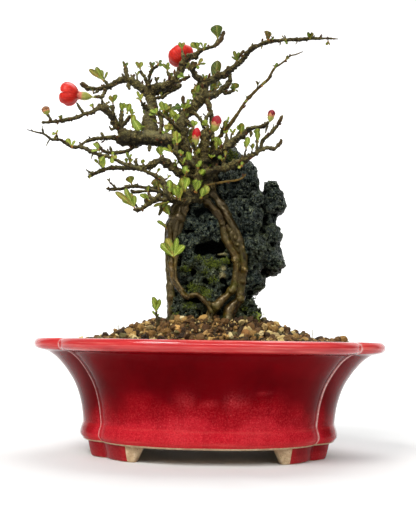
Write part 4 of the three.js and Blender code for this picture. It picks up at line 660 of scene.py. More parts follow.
# ------------------------------------------------------------------ stone
ROCK = [
(0,4,135,31,28,42),(8,4,165,36,28,34),(-17,0,156,15.5,22,40),(-15,2,112,17.5,25,22),
(16,4,196,25,24,32),(13,4,222,11,15,15),(26,0,209,11.5,17,16),(46,-2,194,11.5,14,13.5),
(42,0,178,9,15,12),(43,0,162,11.5,18,13),(44,-2,147,12.5,17,12),(30,0,133,13,20,11),
(25,2,124,10.5,20,8),(22,2,103,16,22,17),(2,4,92,33,29,22),
(-6,-13,184,14,12,14),(22,-16,182,16,11,20),(28,-14,152,14,13,18),(-10,-15,150,13,12,13),(0,-14,118,17,12,13),
(0,20,150,24,15,30),(16,19,190,19,13,25),(-5,18,115,22,14,20),(26,14,160,16,14,22)]

def rock_front(px, py):
    d = ray(px, py); best = None
    for (x, y, z, a, b, c) in ROCK:
        q = np.array([a, b, c]); o = (CAM - np.array([x, y, z])) / q; e = d / q
        A = e @ e; B = 2 * o @ e; C = o @ o - 1; D = B * B - 4 * A * C
        if D < 0: continue
        t = (-B - math.sqrt(D)) / (2 * A)
        if best is None or t < best: best = t
    return None if best is None else CAM + best * d

# hollows seen in the stone: (px, py, half width px, half height px, depth mm)
HOLLOWS = [(210, 248, 15, 7.5, 14), (202, 252, 9, 4, 10), (221, 257, 7, 3.2, 8), (193, 272, 6, 4, 8), (226, 290, 4, 6, 8), (250, 292, 4, 3.6, 7), (194, 301, 12, 3, 8), (263, 273, 9.5, 4.6, 10),
           (187, 231, 7, 3.4, 5), (231, 262, 4, 6, 6), (199, 226, 3.4, 2.6, 4), (252, 232, 7, 2.2, 5), (266, 218, 4.2, 5.5, 6), (272, 244, 4.6, 3.2, 5), (181, 262, 3.4, 7, 6), (206, 282, 4.4, 3.4, 6),
           (222, 243, 4, 5, 6), (185, 284, 4, 2.6, 5), (261, 207, 2.6, 7, 4), (203, 210, 16, 5, 6), (197, 215, 6, 4, 5), (224, 282, 4, 4, 5), (236, 197, 5, 2.6, 4), (245, 262, 4, 8, 5)]
BITES = [(261, 185.5, 0, 2.7, 8, 24), (281.8, 219, 0, 5.6, 3.2, 20), (286.5, 241, 0, 6.0, 12, 20), (287.5, 188, 0, 7.4, 9, 20), (289.8, 204, 0, 5.4, 7.5, 20), (265, 180.5, 0, 3.4, 4.0, 20), (263.2, 195, 0, 2.2, 3.4, 24), (273, 291, 0, 9.0, 10, 26), (266.5, 297, 0, 7.6, 7.5, 26), (256, 296.8, 0, 5.0, 1.5, 16), (264.5, 314, 0, 4.2, 12, 22), (262, 176, 0, 4.6, 6, 22)]
# knobs that stand out: (px, py, radius px)
KNOBS = [(250, 215, 10), (241, 205, 8), (254, 199, 7), (241, 191, 7.5), (252, 225, 7), (270, 189.5, 6.5), (275, 196, 5.5), (277, 205, 6), (268, 207, 5.5), (257, 187, 6.5), (271, 231, 7), (264, 240, 6), (275, 236, 4.5),
         (253, 244, 7.5), (261, 251, 8), (269, 257, 7.5), (276, 263, 6.5), (256, 248, 5), (264, 253, 5.5), (272, 259, 5), (249, 282, 6.5), (258, 284, 5), (246, 306, 7.5), (252, 314, 6.5), (190, 312, 9), (180, 318, 5),
         (189, 221, 6.5), (205, 232, 7), (214, 226, 5), (182, 240, 6), (190, 246, 4.6), (188, 262, 6), (203, 265, 5.5), (212, 272, 5), (199, 283, 4.6), (220, 283, 4.2),
         (228, 190, 7), (240, 179, 7), (251, 177, 5), (184, 205, 5), (196, 222, 5), (236, 235, 3.6), (232, 300, 5), (232, 178, 6), (246, 170, 6)]

def ell(P, c, r):
    q = P - c; k0 = np.sqrt(((q / r) ** 2).sum(-1)); k1 = np.sqrt(((q / (r * r)) ** 2).sum(-1)) + 1e-9
    return k0 * (k0 - 1) / k1

def smin(a, b, k):
    h = np.clip(0.5 + 0.5 * (b - a) / k, 0, 1)
    return b + (a - b) * h - k * h * (1 - h)

def rock_field(P, detail=True):
    P = np.asarray(P, np.float32)
    d = np.full(P.shape[:-1], 1e3, np.float32)
    for (x, y, z, a, b, c) in ROCK:
        d = smin(d, ell(P, np.array([x, y, z], np.float32), np.array([a, b, c], np.float32) * 0.985).astype(np.float32), 3.2)
    if not detail: return d
    near = np.abs(d) < 13
    Q = P[near]; e = d[near] + 1.5 + 0.9 * smoothstep(25, 48, P[near][:, 0])
    # traced knobs
    for (px, py, r) in KNOBS:
        h = rock_front(px, py)
        if h is None: continue
        rr = r * 0.72; c = h + FWD * rr * 0.62
        m = np.abs(Q - c).max(-1) < rr + 6
        if m.any(): e[m] = smin(e[m], np.linalg.norm(Q[m] - c, axis=-1) - rr, 1.6)
    # clinker lumps at three sizes, round outside and deep between
    wrp = np.stack([fbm(Q, 7, 3, 71), fbm(Q, 7, 3, 72), fbm(Q, 7, 3, 73)], -1) * 7.0
    f1, f2, ci = worley(Q + wrp, 12.0, 31)
    e -= 4.2 * (np.sqrt(np.clip(1 - f1 * f1 * 0.95, 0, 1)) - 0.62) + 1.6 * (ci - 0.5)
    g1, g2, gi = worley(Q + 0.7 * wrp, 5.4, 47)
    e -= 1.9 * (np.sqrt(np.clip(1 - g1 * g1, 0, 1)) - 0.6) + 0.8 * (gi - 0.5)
    w1, w2, wi = worley(Q + 0.25 * wrp, 2.7, 53)
    e -= 1.15 * (np.sqrt(np.clip(1 - w1 * w1, 0, 1)) - 0.6)
    # crinkled skin
    a1 = 1 - np.abs(2 * vnoise(Q + 0.3 * wrp, 3.4, 11) - 1); a2 = 1 - np.abs(2 * vnoise(Q + 0.2 * wrp, 1.9, 12) - 1)
    e -= 1.3 * (a1 * a1 - 0.36) + 0.75 * (a2 * a2 - 0.36)
    e += 1.6 * (fbm(Q, 6.0, 3, 14) - 0.5) * 2
    # small open pores
    e += 2.0 * smoothstep(0.70, 0.82, vnoise(Q + 0.4 * wrp, 3.6, 91)) + 1.2 * smoothstep(0.68, 0.8, vnoise(Q, 2.2, 92))
    # traced hollows, ragged
    for (px, py, w, hgt, dep) in HOLLOWS:
        h = rock_front(px, py)
        if h is None: continue
        dep = dep * 0.85; c = h + FWD * dep * 0.15; r = np.array([w * 0.74, dep, hgt * 0.74])
        m = np.abs(Q - c).max(-1) < max(r) + 5
        if m.any():
            q = Q[m]; k = ell(q, c, r) + min(3.2, 0.55 * min(w, hgt) + 0.8) * (fbm(q + 0.5 * wrp[m], 4.6, 3, 5) - 0.5) * 2 + 0.6 * (worley(q, 3.2, 6)[0] - 0.4)
            e[m] = -smin(-e[m], k, 1.4)
    # bites out of the outline: (px, py, depth y, half width px, half height px, half depth mm)
    for (px, py, y, w, hgt, dy) in BITES:
        c = unproj(px, py, y); r = np.array([w * 0.77, dy, hgt * 0.77]); m = np.abs(Q - c).max(-1) < max(r) + 5
        if m.any():
            q = Q[m]; k = ell(q, c, r) + 1.6 * (fbm(q + 0.4 * wrp[m], 4.6, 3, 9) - 0.5) * 2; e[m] = -smin(-e[m], k, 1.6)
    d[near] = e
    return d

def build_rock(mat, moss_spots, pale_spots):
    h = 1.0
    lo, hi = np.array([-46.0, -34.0, 71.0]), np.array([65.0, 45.0, 243.0])
    n = np.ceil((hi - lo) / h).astype(int) + 1
    g = [lo[k] + h * np.arange(n[k]) for k in range(3)]
    P = np.stack(np.meshgrid(*g, indexing="ij"), -1).astype(np.float32)
    vol = rock_field(P)
    vol[:, :, 0] = 1; vol[:, :, -1] = 1; vol[0] = 1; vol[-1] = 1; vol[:, 0] = 1; vol[:, -1] = 1
    V, Q = surface_nets(vol.astype(np.float64), lo, h)
    # keep the largest connected body only
    par = np.arange(len(V))
    for _ in range(200):
        m = par[Q].min(1); new = par.copy()
        for k in range(4): np.minimum.at(new, Q[:, k], m)
        new = new[new]
        if (new == par).all(): break
        par = new
    lab, cnt = np.unique(par, return_counts=True); keep = par == lab[cnt.argmax()]
    ids = np.full(len(V), -1); ids[keep] = np.arange(keep.sum()); V = V[keep]; Q = ids[Q]; Q = Q[(Q >= 0).all(1)]
    o = mesh_object("rock_body", V, [Q], mat)
    N = no_of(o.data)
    # cavity measure: how far inside the smooth shape a point lies
    smooth = rock_field(V, False)
    fine, broad = cavity(o.data, V, N, 3), cavity(o.data, V, N, 14)
    # darkness for the hollows from the cavity measures, which is painted shade, and paleness for the crests, partly
    # painted highlight
    pit = np.clip(np.maximum((-smooth - 2.2) / 5.0, 0) + smoothstep(0.10, 0.9, broad) * 0.75 + smoothstep(0.06, 0.36, fine) * 0.35, 0, 1)
    crest = np.clip(smoothstep(0.05, 0.32, -fine) * 0.8 + smoothstep(0.15, 0.9, -broad) * 0.5, 0, 1) * (1 - pit)
    moss = np.zeros(len(V)); pale = np.zeros(len(V))
    for (px, py, w, hgt, k) in moss_spots:
        c = rock_front(px, py)
        if c is None: continue
        q = (V - c) / np.array([w * 0.8, 9.0, hgt * 0.8]); moss = np.maximum(moss, k * np.exp(-(q ** 2).sum(1)))
    # a thin green film in the damp low parts and on shaded ledges, all round
    film = smoothstep(0.52, 0.7, fbm(V, 15, 3, 21)) * (0.35 + 0.65 * smoothstep(150, 95, V[:, 2])) * smoothstep(-0.1, 0.7, N[:, 2]) * 0.75
    moss = np.clip(np.maximum(moss, film), 0, 1)
    for (px, py, w, hgt) in pale_spots:
        c = rock_front(px, py)
        if c is None: continue
        q = (V - c) / np.array([w * 0.8, 6.0, hgt * 0.8]); pale = np.maximum(pale, smoothstep(1.4, 0.5, np.sqrt((q ** 2).sum(1))))
    for k, a in (("pit", pit), ("crest", crest), ("moss", moss), ("pale", pale)): put_attr(o.data, k, a)
    return o, V, N, moss
MOSS_SPOTS = [(212, 264, 12, 5, 1.0), (225, 261, 5, 4, 1.0), (195, 288, 11, 5, 1.0), (206, 294, 7, 6, 1.0), (186, 268, 8, 5, .8), (200, 258, 9, 4, .7), (213, 280, 7, 6, .8), (190, 306, 9, 5, .8), (232, 156, 9, 8, .9), (223, 250, 6, 4, .5), (254, 318, 7, 7, .9), (257, 306, 4, 9, .7), (262, 246, 9, 4, .35), (206, 272, 9, 6, .6), (244, 308, 7, 7, .6)]
PALE_SPOTS = [(222.5, 276, 3.0, 3.6), (223.5, 268, 2.2, 2.0), (222, 254, 4.6, 1.6)]

# ------------------------------------------------------------------ wood: name, [x, y, z, radius] ...
BRANCHES = [
  ('strandA', [[-10.0, -22.7, 194.8, 2.99], [-4.7, -23.5, 190.2, 2.98], [-0.9, -23.9, 186.8, 2.98], [3.0, -24.1, 182.6, 2.98], [5.7, -24.0, 178.1, 2.83], [7.6, -24.2, 173.6, 2.79], [8.8, -24.5, 168.3, 2.79], [10.4, -24.5, 163.0, 2.83], [13.1, -24.5, 157.8, 2.98], [16.1, -24.2, 153.7, 2.98], [18.4, -23.7, 149.7, 2.98], [19.5, -23.1, 144.5, 3.13], [19.3, -22.6, 138.5, 3.21], [18.4, -21.9, 131.8, 3.36], [17.3, -22.0, 125.8, 3.29], [14.3, -22.8, 121.6, 2.99], [9.9, -23.8, 117.3, 2.98], [5.8, -24.1, 113.5, 3.13], [2.5, -24.5, 109.8, 3.28], [0.4, -24.5, 105.3, 3.35], [-1.0, -24.8, 96.3, 3.54], [-1.1, -26.0, 82.3, 2.65]]),
  ('strandB', [[-5.6, -21.3, 199.7, 2.99], [0.5, -21.3, 196.0, 2.81], [4.4, -21.9, 191.3, 2.80], [7.8, -23.0, 186.7, 2.99], [10.9, -24.2, 182.0, 2.98], [13.5, -24.9, 176.6, 2.98], [16.1, -25.3, 171.3, 3.16], [18.8, -25.5, 166.1, 3.35], [21.1, -25.8, 160.8, 3.34], [22.7, -26.3, 155.5, 3.34], [23.8, -26.3, 150.3, 3.34], [24.1, -25.5, 144.4, 3.16], [23.9, -23.9, 138.5, 2.98], [23.6, -22.5, 132.6, 2.80], [23.3, -21.5, 126.6, 2.62], [23.0, -21.2, 121.4, 2.62], [21.1, -21.5, 116.9, 3.37], [17.5, -22.1, 111.6, 3.74], [14.5, -22.8, 106.3, 4.11], [13.1, -23.7, 96.6, 4.47], [14.2, -24.8, 82.6, 3.36]]),
  ('strandD', [[11.4, -24.2, 172.2, 2.05], [14.0, -24.4, 167.6, 2.61], [16.7, -24.9, 162.3, 2.98], [19.0, -25.3, 157.1, 2.79], [21.0, -25.5, 151.8, 2.23]]),
  ('strandC', [[18.7, -20.8, 138.6, 1.87], [19.5, -21.0, 131.1, 2.25], [20.3, -21.2, 123.6, 2.62], [21.9, -21.2, 117.6, 2.62], [22.7, -20.8, 113.9, 1.87]]),
  ('rootL1', [[-10.0, -24.0, 191.6, 2.24], [-15.2, -24.8, 190.6, 2.23], [-20.5, -25.0, 189.7, 2.17], [-26.5, -24.4, 188.2, 2.02], [-29.4, -23.4, 184.5, 1.91], [-29.4, -22.0, 180.1, 1.87], [-30.8, -22.0, 174.8, 1.88], [-32.2, -22.0, 169.5, 2.53], [-31.3, -22.0, 163.4, 2.53], [-30.0, -22.6, 156.6, 2.08], [-29.9, -23.8, 148.9, 1.79], [-30.2, -24.7, 142.8, 1.79], [-29.6, -25.6, 136.8, 1.78], [-28.3, -26.5, 130.8, 1.83], [-25.2, -27.0, 125.6, 1.86], [-21.4, -27.4, 121.1, 1.86], [-18.4, -28.0, 118.2, 1.90], [-14.7, -28.6, 119.0, 1.94], [-10.2, -29.3, 119.4, 1.98], [-6.5, -30.0, 116.8, 1.99], [-3.5, -30.0, 113.2, 1.99], [-1.2, -30.0, 109.5, 1.99], [0.3, -30.0, 105.8, 1.99]]),
  ('rootL2', [[-19.8, -23.0, 190.8, 2.61], [-23.9, -19.0, 186.0, 3.38], [-27.4, -16.0, 181.0, 3.39], [-30.3, -15.0, 175.7, 3.40], [-32.5, -14.0, 169.7, 3.21], [-33.1, -14.0, 161.3, 2.65], [-33.0, -13.0, 149.9, 2.27], [-32.2, -12.0, 138.5, 2.65], [-31.1, -12.0, 127.1, 3.03], [-30.1, -12.0, 115.8, 3.41], [-29.5, -12.0, 103.6, 3.41], [-29.3, -12.0, 93.1, 3.41], [-31.6, -12.6, 79.1, 2.56]]),
  ('rootL3', [[-27.4, -25.0, 160.1, 1.86], [-25.8, -25.8, 152.6, 1.57], [-26.4, -26.4, 146.5, 1.42], [-27.0, -27.0, 140.5, 1.30], [-26.5, -27.0, 133.7, 1.30], [-24.5, -27.3, 127.8, 1.35], [-20.7, -28.0, 121.9, 1.48]]),
  ('rootL4', [[-23.5, -24.0, 189.1, 2.24], [-24.1, -25.0, 182.8, 2.05], [-25.4, -25.0, 175.3, 1.86], [-26.8, -25.0, 167.7, 1.86], [-27.4, -25.0, 160.1, 1.49]]),
  ('T1', [[-7.0, -25.0, 194.5, 5.58], [-11.7, -23.0, 201.6, 5.22], [-14.9, -20.0, 210.5, 4.87], [-17.3, -18.0, 218.6, 4.51], [-20.2, -16.0, 226.7, 4.15], [-22.3, -14.0, 234.8, 3.97], [-24.0, -12.0, 243.1, 3.79], [-25.0, -10.0, 251.4, 3.80], [-23.6, -8.0, 258.6, 4.01], [-19.1, -6.0, 263.9, 4.21], [-13.7, -4.0, 269.3, 4.22], [-10.3, -2.0, 275.9, 3.85], [-8.5, 0.0, 282.1, 3.47], [-8.6, 0.0, 286.9, 3.09], [-10.2, 0.0, 290.9, 2.32]]),
  ('T2', [[-3.3, -23.0, 198.7, 4.85], [-5.0, -23.0, 207.8, 4.48], [-6.6, -23.0, 217.7, 4.11], [-7.2, -23.0, 227.7, 3.73], [-6.2, -22.0, 236.4, 3.55], [-5.5, -21.0, 244.4, 2.99], [-5.9, -21.0, 246.7, 1.50]]),
  ('T3', [[-4.8, -22.0, 197.3, 4.49], [-1.1, -18.0, 202.6, 4.14], [-0.5, -15.0, 214.0, 4.53], [0.2, -13.0, 223.7, 4.17], [1.6, -12.0, 231.7, 3.41], [0.7, -11.0, 238.2, 2.66]]),
  ('T4', [[-22.8, -24.0, 191.4, 3.35], [-19.0, -25.0, 193.5, 4.47], [-14.5, -25.0, 193.6, 4.84], [-9.3, -25.0, 195.2, 5.21]]),
  ('T5', [[-12.2, -30.0, 195.9, 3.32], [-10.9, -30.0, 205.0, 2.95], [-11.0, -29.0, 212.7, 2.40], [-11.9, -28.0, 220.5, 1.85], [-13.6, -27.0, 228.3, 1.48], [-14.4, -26.0, 231.6, 1.11]]),
  ('B1', [[-19.8, -17.0, 228.0, 3.77], [-26.7, -18.0, 233.9, 4.32], [-32.9, -18.0, 236.5, 4.51], [-40.6, -18.0, 237.9, 4.51], [-48.2, -18.0, 238.2, 4.70], [-59.7, -17.0, 238.2, 4.71], [-69.8, -16.0, 239.1, 4.52]]),
  ('B1a', [[-68.4, -16.0, 242.2, 3.39], [-72.1, -18.0, 246.4, 2.82], [-74.6, -20.0, 249.7, 2.62], [-76.4, -22.0, 253.1, 2.62], [-80.0, -25.0, 256.9, 2.60], [-83.6, -27.0, 259.8, 2.41], [-87.4, -28.0, 261.8, 1.67]]),
  ('B1a2', [[-83.0, -26.0, 259.7, 1.86], [-87.3, -28.0, 258.7, 1.67], [-91.3, -31.0, 255.2, 1.55], [-96.3, -33.0, 253.1, 1.47], [-101.2, -35.0, 250.2, 1.32], [-106.8, -37.0, 248.1, 1.24], [-113.8, -39.0, 246.0, 1.09], [-119.4, -41.0, 244.7, 0.94], [-126.6, -42.0, 244.0, 0.73]]),
  ('B1a3', [[-97.0, -33.0, 253.1, 0.96], [-98.4, -34.0, 255.1, 0.81], [-100.6, -35.0, 257.9, 0.66], [-102.0, -36.0, 260.6, 0.51]]),
  ('B1a4', [[-112.5, -38.0, 246.3, 0.73], [-112.9, -38.0, 248.6, 0.58], [-113.2, -39.0, 250.6, 0.36]]),
  ('B1a5', [[-119.4, -41.0, 245.1, 0.80], [-120.8, -42.0, 247.4, 0.65], [-122.1, -43.0, 249.4, 0.58], [-123.8, -44.0, 250.6, 0.58]]),
  ('B1b', [[-77.2, -22.0, 253.1, 1.27], [-76.5, -23.0, 258.3, 1.04], [-76.5, -24.0, 262.7, 0.89]]),
  ('B1c', [[-71.4, -18.0, 247.9, 1.28], [-70.3, -19.0, 254.7, 1.13], [-69.9, -20.0, 259.9, 0.90]]),
  ('B1c2', [[-69.7, -19.0, 247.7, 1.20], [-65.7, -22.0, 251.7, 1.05], [-63.4, -24.0, 254.7, 0.82]]),
  ('B1d', [[-71.1, -18.0, 236.3, 1.88], [-75.5, -20.0, 238.5, 1.72], [-82.0, -23.0, 237.3, 1.57], [-87.7, -26.0, 236.2, 1.49], [-94.0, -29.0, 233.9, 1.41], [-97.4, -31.0, 231.1, 1.33], [-101.0, -32.0, 228.2, 1.25], [-105.1, -34.0, 227.7, 1.10], [-109.4, -36.0, 229.8, 0.95], [-113.6, -38.0, 232.3, 0.88], [-119.1, -40.0, 231.9, 0.73], [-124.8, -42.0, 235.4, 0.62], [-130.4, -44.0, 236.3, 0.47], [-136.6, -46.0, 237.6, 0.25]]),
  ('B1d2', [[-124.8, -42.0, 235.4, 0.51], [-125.6, -42.0, 238.4, 0.36], [-125.9, -43.0, 241.1, 0.18]]),
  ('B1d3', [[-120.6, -40.0, 232.1, 0.51], [-122.4, -40.0, 229.1, 0.36], [-123.2, -41.0, 226.2, 0.18]]),
  ('B1d4', [[-115.1, -38.0, 232.7, 0.55], [-115.7, -39.0, 234.7, 0.47], [-116.0, -40.0, 236.3, 0.36]]),
  ('B1d5', [[-82.8, -23.0, 237.3, 0.97], [-83.8, -24.0, 239.0, 0.82], [-85.0, -24.0, 241.3, 0.60]]),
  ('B1e', [[-100.2, -32.0, 228.6, 1.18], [-94.9, -32.0, 227.1, 1.10], [-90.4, -32.0, 224.5, 1.10], [-84.4, -32.0, 222.7, 1.10], [-78.5, -31.0, 221.5, 1.11], [-73.3, -30.0, 219.5, 1.18], [-68.1, -29.0, 217.1, 1.26], [-62.1, -28.0, 215.1, 1.33], [-56.9, -27.0, 213.9, 1.41]]),
  ('B1f', [[-56.6, -17.0, 236.0, 1.66], [-60.4, -17.0, 232.4, 1.51], [-65.0, -16.0, 229.4, 1.28], [-71.2, -15.0, 228.0, 1.21], [-77.4, -14.0, 227.7, 1.13], [-83.7, -13.0, 229.4, 1.06], [-87.7, -12.0, 233.1, 0.99], [-89.8, -12.0, 236.5, 0.83]]),
  ('B1f2', [[-77.8, -14.0, 227.7, 0.91], [-78.2, -14.0, 230.0, 0.76], [-79.1, -14.0, 232.8, 0.61]]),
  ('B1g', [[-48.5, -18.0, 234.3, 1.35], [-48.4, -19.0, 231.0, 1.05], [-48.6, -20.0, 228.5, 0.97]]),
  ('B1h', [[-89.6, -32.0, 224.2, 0.55], [-90.3, -32.0, 221.5, 0.37], [-90.9, -33.0, 218.6, 0.18]]),
  ('B1i', [[-73.6, -19.0, 247.7, 0.90], [-77.2, -20.0, 244.7, 0.75], [-79.1, -20.0, 246.6, 0.60]]),
  ('B2', [[-17.0, -21.0, 204.9, 4.12], [-21.6, -22.0, 208.1, 3.36], [-26.1, -24.0, 211.9, 2.98], [-31.4, -26.0, 215.6, 2.82], [-36.0, -27.0, 219.2, 2.67], [-39.3, -28.0, 220.1, 2.52], [-42.7, -28.0, 217.7, 2.37], [-47.2, -27.0, 215.6, 2.23], [-51.0, -26.0, 214.6, 2.08], [-56.3, -25.0, 214.3, 1.93], [-62.4, -24.0, 214.4, 1.79], [-70.2, -22.0, 214.6, 1.72], [-76.5, -20.0, 214.9, 1.65], [-82.0, -18.0, 214.3, 1.50], [-87.5, -16.0, 212.4, 1.28], [-92.3, -14.0, 210.8, 1.06], [-95.4, -13.0, 209.0, 0.76]]),
  ('B2a', [[-91.5, -14.0, 211.2, 0.83], [-94.3, -14.0, 212.7, 0.68], [-97.1, -13.0, 214.8, 0.45]]),
  ('B2c', [[-57.1, -25.0, 214.3, 1.12], [-57.8, -26.0, 217.9, 0.89], [-57.8, -27.0, 221.1, 0.74]]),
  ('B2d', [[-61.7, -24.0, 215.2, 0.97], [-62.5, -25.0, 218.8, 0.74], [-63.2, -26.0, 221.2, 0.59]]),
  ('B2e', [[-81.2, -18.0, 214.5, 0.90], [-84.2, -19.0, 216.2, 0.75], [-86.4, -20.0, 218.2, 0.52]]),
  ('B2b', [[-56.9, -27.0, 213.5, 1.26], [-52.2, -29.0, 212.1, 1.41], [-45.3, -31.0, 208.8, 1.55], [-40.6, -33.0, 205.8, 1.69], [-36.8, -35.0, 203.3, 1.83], [-35.2, -36.0, 199.0, 1.83], [-34.3, -36.0, 193.8, 1.83]]),
  ('B2b2', [[-34.3, -36.0, 194.5, 1.83], [-31.4, -34.0, 191.9, 1.84], [-27.0, -32.0, 189.7, 1.77], [-22.6, -30.0, 188.9, 1.70]]),
  ('B3', [[-31.5, -31.0, 189.2, 1.84], [-34.7, -27.0, 192.2, 1.86], [-37.5, -24.0, 194.6, 1.71], [-41.1, -21.0, 198.8, 1.57], [-47.4, -18.0, 200.1, 1.50], [-53.7, -15.0, 201.3, 1.43], [-59.3, -12.0, 202.5, 1.37], [-65.0, -9.0, 202.4, 1.30], [-71.4, -6.0, 201.2, 1.07], [-77.9, -3.0, 201.4, 0.92], [-82.4, -1.0, 202.3, 0.69]]),
  ('B3a', [[-73.8, -5.0, 201.5, 0.77], [-77.1, -4.0, 204.6, 0.65], [-79.6, -3.0, 206.7, 0.50]]),
  ('B3b', [[-36.7, -25.0, 193.6, 1.56], [-39.2, -28.0, 195.0, 1.48], [-41.4, -29.0, 196.5, 1.41], [-46.6, -30.0, 196.4, 1.33], [-54.0, -31.0, 195.4, 1.25], [-58.7, -32.0, 194.8, 1.10], [-60.6, -32.0, 196.3, 0.81]]),
  ('B3c', [[-33.0, -31.0, 189.1, 1.48], [-34.5, -29.0, 188.1, 1.48], [-36.8, -27.0, 186.9, 1.30], [-38.2, -27.0, 182.3, 1.11], [-39.7, -27.0, 178.5, 0.89]]),
  ('B4', [[-16.7, -27.0, 189.9, 2.60], [-22.6, -28.0, 189.2, 2.22], [-28.5, -30.0, 189.0, 1.85], [-34.4, -33.0, 189.3, 1.54], [-40.1, -36.0, 188.5, 1.46], [-44.4, -38.0, 186.6, 1.68], [-47.9, -40.0, 184.5, 1.60], [-51.4, -42.0, 181.2, 1.52], [-54.9, -44.0, 180.1, 1.45], [-57.7, -45.0, 179.4, 0.94]]),
  ('B4a', [[-43.7, -38.0, 187.4, 1.46], [-46.0, -37.0, 190.8, 1.24], [-47.3, -36.0, 193.6, 1.10]]),
  ('B4b', [[-43.7, -38.0, 187.4, 1.46], [-40.5, -37.0, 190.5, 1.46], [-39.5, -35.0, 193.5, 1.32]]),
  ('B4c', [[-46.5, -40.0, 184.8, 1.09], [-48.6, -41.0, 186.5, 0.94], [-49.7, -42.0, 187.8, 0.73]]),
  ('B5', [[-47.0, -14.0, 240.7, 5.29], [-48.9, -10.0, 248.6, 5.33], [-49.8, -6.0, 257.5, 4.97], [-48.6, -2.0, 266.5, 4.23], [-49.4, 1.0, 273.7, 3.67], [-51.6, 3.0, 279.4, 3.49], [-57.0, 5.0, 284.3, 3.30], [-62.7, 6.0, 287.8, 3.11], [-66.8, 7.0, 290.9, 2.73], [-73.3, 8.0, 291.9, 2.42], [-77.7, 9.0, 289.6, 2.19], [-83.0, 10.0, 287.0, 1.96], [-87.0, 11.0, 285.6, 1.80], [-93.5, 12.0, 285.1, 1.57], [-100.9, 13.0, 285.9, 1.34], [-104.7, 14.0, 287.8, 1.18], [-107.6, 14.0, 289.8, 0.79]]),
  ('B5a', [[-84.7, 11.0, 286.4, 1.10], [-85.5, 11.0, 289.3, 0.94], [-87.9, 10.0, 291.8, 0.78]]),
  ('B5b', [[-86.2, 11.0, 285.6, 1.25], [-87.1, 9.0, 280.9, 1.09], [-89.1, 7.0, 276.7, 0.94], [-91.3, 5.0, 276.9, 0.78], [-94.7, 4.0, 276.2, 0.70]]),
  ('B5b2', [[-89.1, 7.0, 276.3, 0.78], [-87.7, 6.0, 272.8, 0.70], [-85.2, 5.0, 270.6, 0.62], [-82.6, 4.0, 268.3, 0.54]]),
  ('B5c', [[-93.5, 12.0, 284.9, 0.94], [-93.4, 11.0, 282.2, 0.78], [-96.4, 10.0, 280.7, 0.55]]),
  ('B5d', [[-68.9, 8.0, 292.3, 1.41], [-69.7, 7.0, 296.9, 1.25], [-70.8, 7.0, 301.8, 1.01], [-72.3, 6.0, 306.0, 0.62]]),
  ('B5e', [[-63.5, 6.0, 288.6, 0.93], [-63.7, 5.0, 291.5, 0.78], [-64.3, 5.0, 294.0, 0.58]]),
  ('B5f', [[-60.6, 5.0, 287.5, 0.93], [-60.8, 4.0, 290.9, 0.78], [-61.1, 4.0, 294.1, 0.58]]),
  ('B5g', [[-68.4, 7.0, 289.6, 1.33], [-67.8, 6.0, 286.1, 1.17], [-66.9, 6.0, 283.3, 0.86]]),
  ('B5r', [[-50.3, 2.0, 277.2, 3.10], [-48.7, 1.0, 280.9, 3.25], [-45.5, 0.0, 283.1, 3.24], [-38.4, -2.0, 284.3, 3.08], [-32.9, -3.0, 287.3, 2.92], [-29.4, -4.0, 291.0, 2.69], [-26.3, -5.0, 296.4, 2.53], [-23.3, -6.0, 301.8, 2.45], [-19.0, -7.0, 305.9, 2.44], [-14.3, -8.0, 308.1, 2.29], [-10.5, -9.0, 311.0, 1.60], [-5.8, -10.0, 312.8, 1.37], [-1.2, -10.0, 314.2, 1.29], [1.9, -11.0, 316.2, 1.44], [3.1, -11.0, 319.0, 1.14]]),
  ('B5r2', [[-34.1, -2.0, 287.5, 1.31], [-35.0, -1.0, 292.7, 1.16], [-37.1, 0.0, 296.5, 0.77]]),
  ('B5r3', [[-23.3, -7.0, 302.3, 1.22], [-24.5, -8.0, 306.7, 0.99], [-25.3, -9.0, 310.8, 0.69]]),
  ('B5r4', [[-30.5, -4.0, 287.8, 1.53], [-28.9, -6.0, 286.5, 1.38], [-25.7, -8.0, 287.5, 1.30], [-21.8, -9.0, 288.9, 1.22], [-18.7, -10.0, 289.8, 0.91]]),
  ('B5s', [[-48.1, 4.0, 279.4, 2.33], [-42.8, 8.0, 283.4, 2.58], [-36.6, 12.0, 285.0, 2.75], [-31.2, 15.0, 287.6, 2.56], [-27.3, 18.0, 291.0, 1.98]]),
  ('B5t', [[-50.8, 3.0, 280.6, 1.94], [-52.1, 3.0, 285.5, 1.71], [-53.7, 2.0, 290.8, 1.39], [-57.0, 2.0, 294.8, 1.16], [-58.1, 1.0, 297.3, 0.85]]),
  ('B5u', [[-50.2, 0.0, 281.4, 1.93], [-51.1, -3.0, 286.2, 1.54], [-50.5, -5.0, 291.2, 1.38], [-48.5, -7.0, 295.5, 1.15], [-46.2, -8.0, 297.2, 0.92], [-42.7, -9.0, 299.7, 0.69]]),
  ('B5v', [[-43.9, -1.0, 283.3, 0.92], [-45.0, -1.0, 287.7, 0.77], [-46.4, -2.0, 291.4, 0.54]]),
  ('B5w', [[-48.1, -4.0, 266.8, 1.76], [-52.5, -8.0, 264.9, 1.68], [-55.0, -12.0, 266.9, 1.37], [-56.4, -14.0, 269.5, 1.06]]),
  ('B5x', [[-48.5, 0.0, 273.8, 1.16], [-43.6, -4.0, 274.2, 0.92], [-39.5, -7.0, 274.2, 0.84], [-36.7, -9.0, 275.9, 0.76], [-34.4, -10.0, 276.5, 0.68]]),
  ('B5y', [[-47.8, -8.0, 264.1, 1.68], [-42.9, -12.0, 260.0, 1.59], [-39.8, -16.0, 252.8, 1.66], [-39.9, -19.0, 246.6, 1.50], [-41.3, -20.0, 241.7, 1.50]]),
  ('B5z', [[-23.2, -12.0, 242.3, 1.74], [-25.5, -16.0, 245.2, 1.66], [-29.2, -20.0, 248.1, 1.50], [-33.8, -23.0, 252.0, 1.42], [-38.3, -25.0, 254.9, 1.27], [-42.1, -26.0, 257.3, 1.11]]),
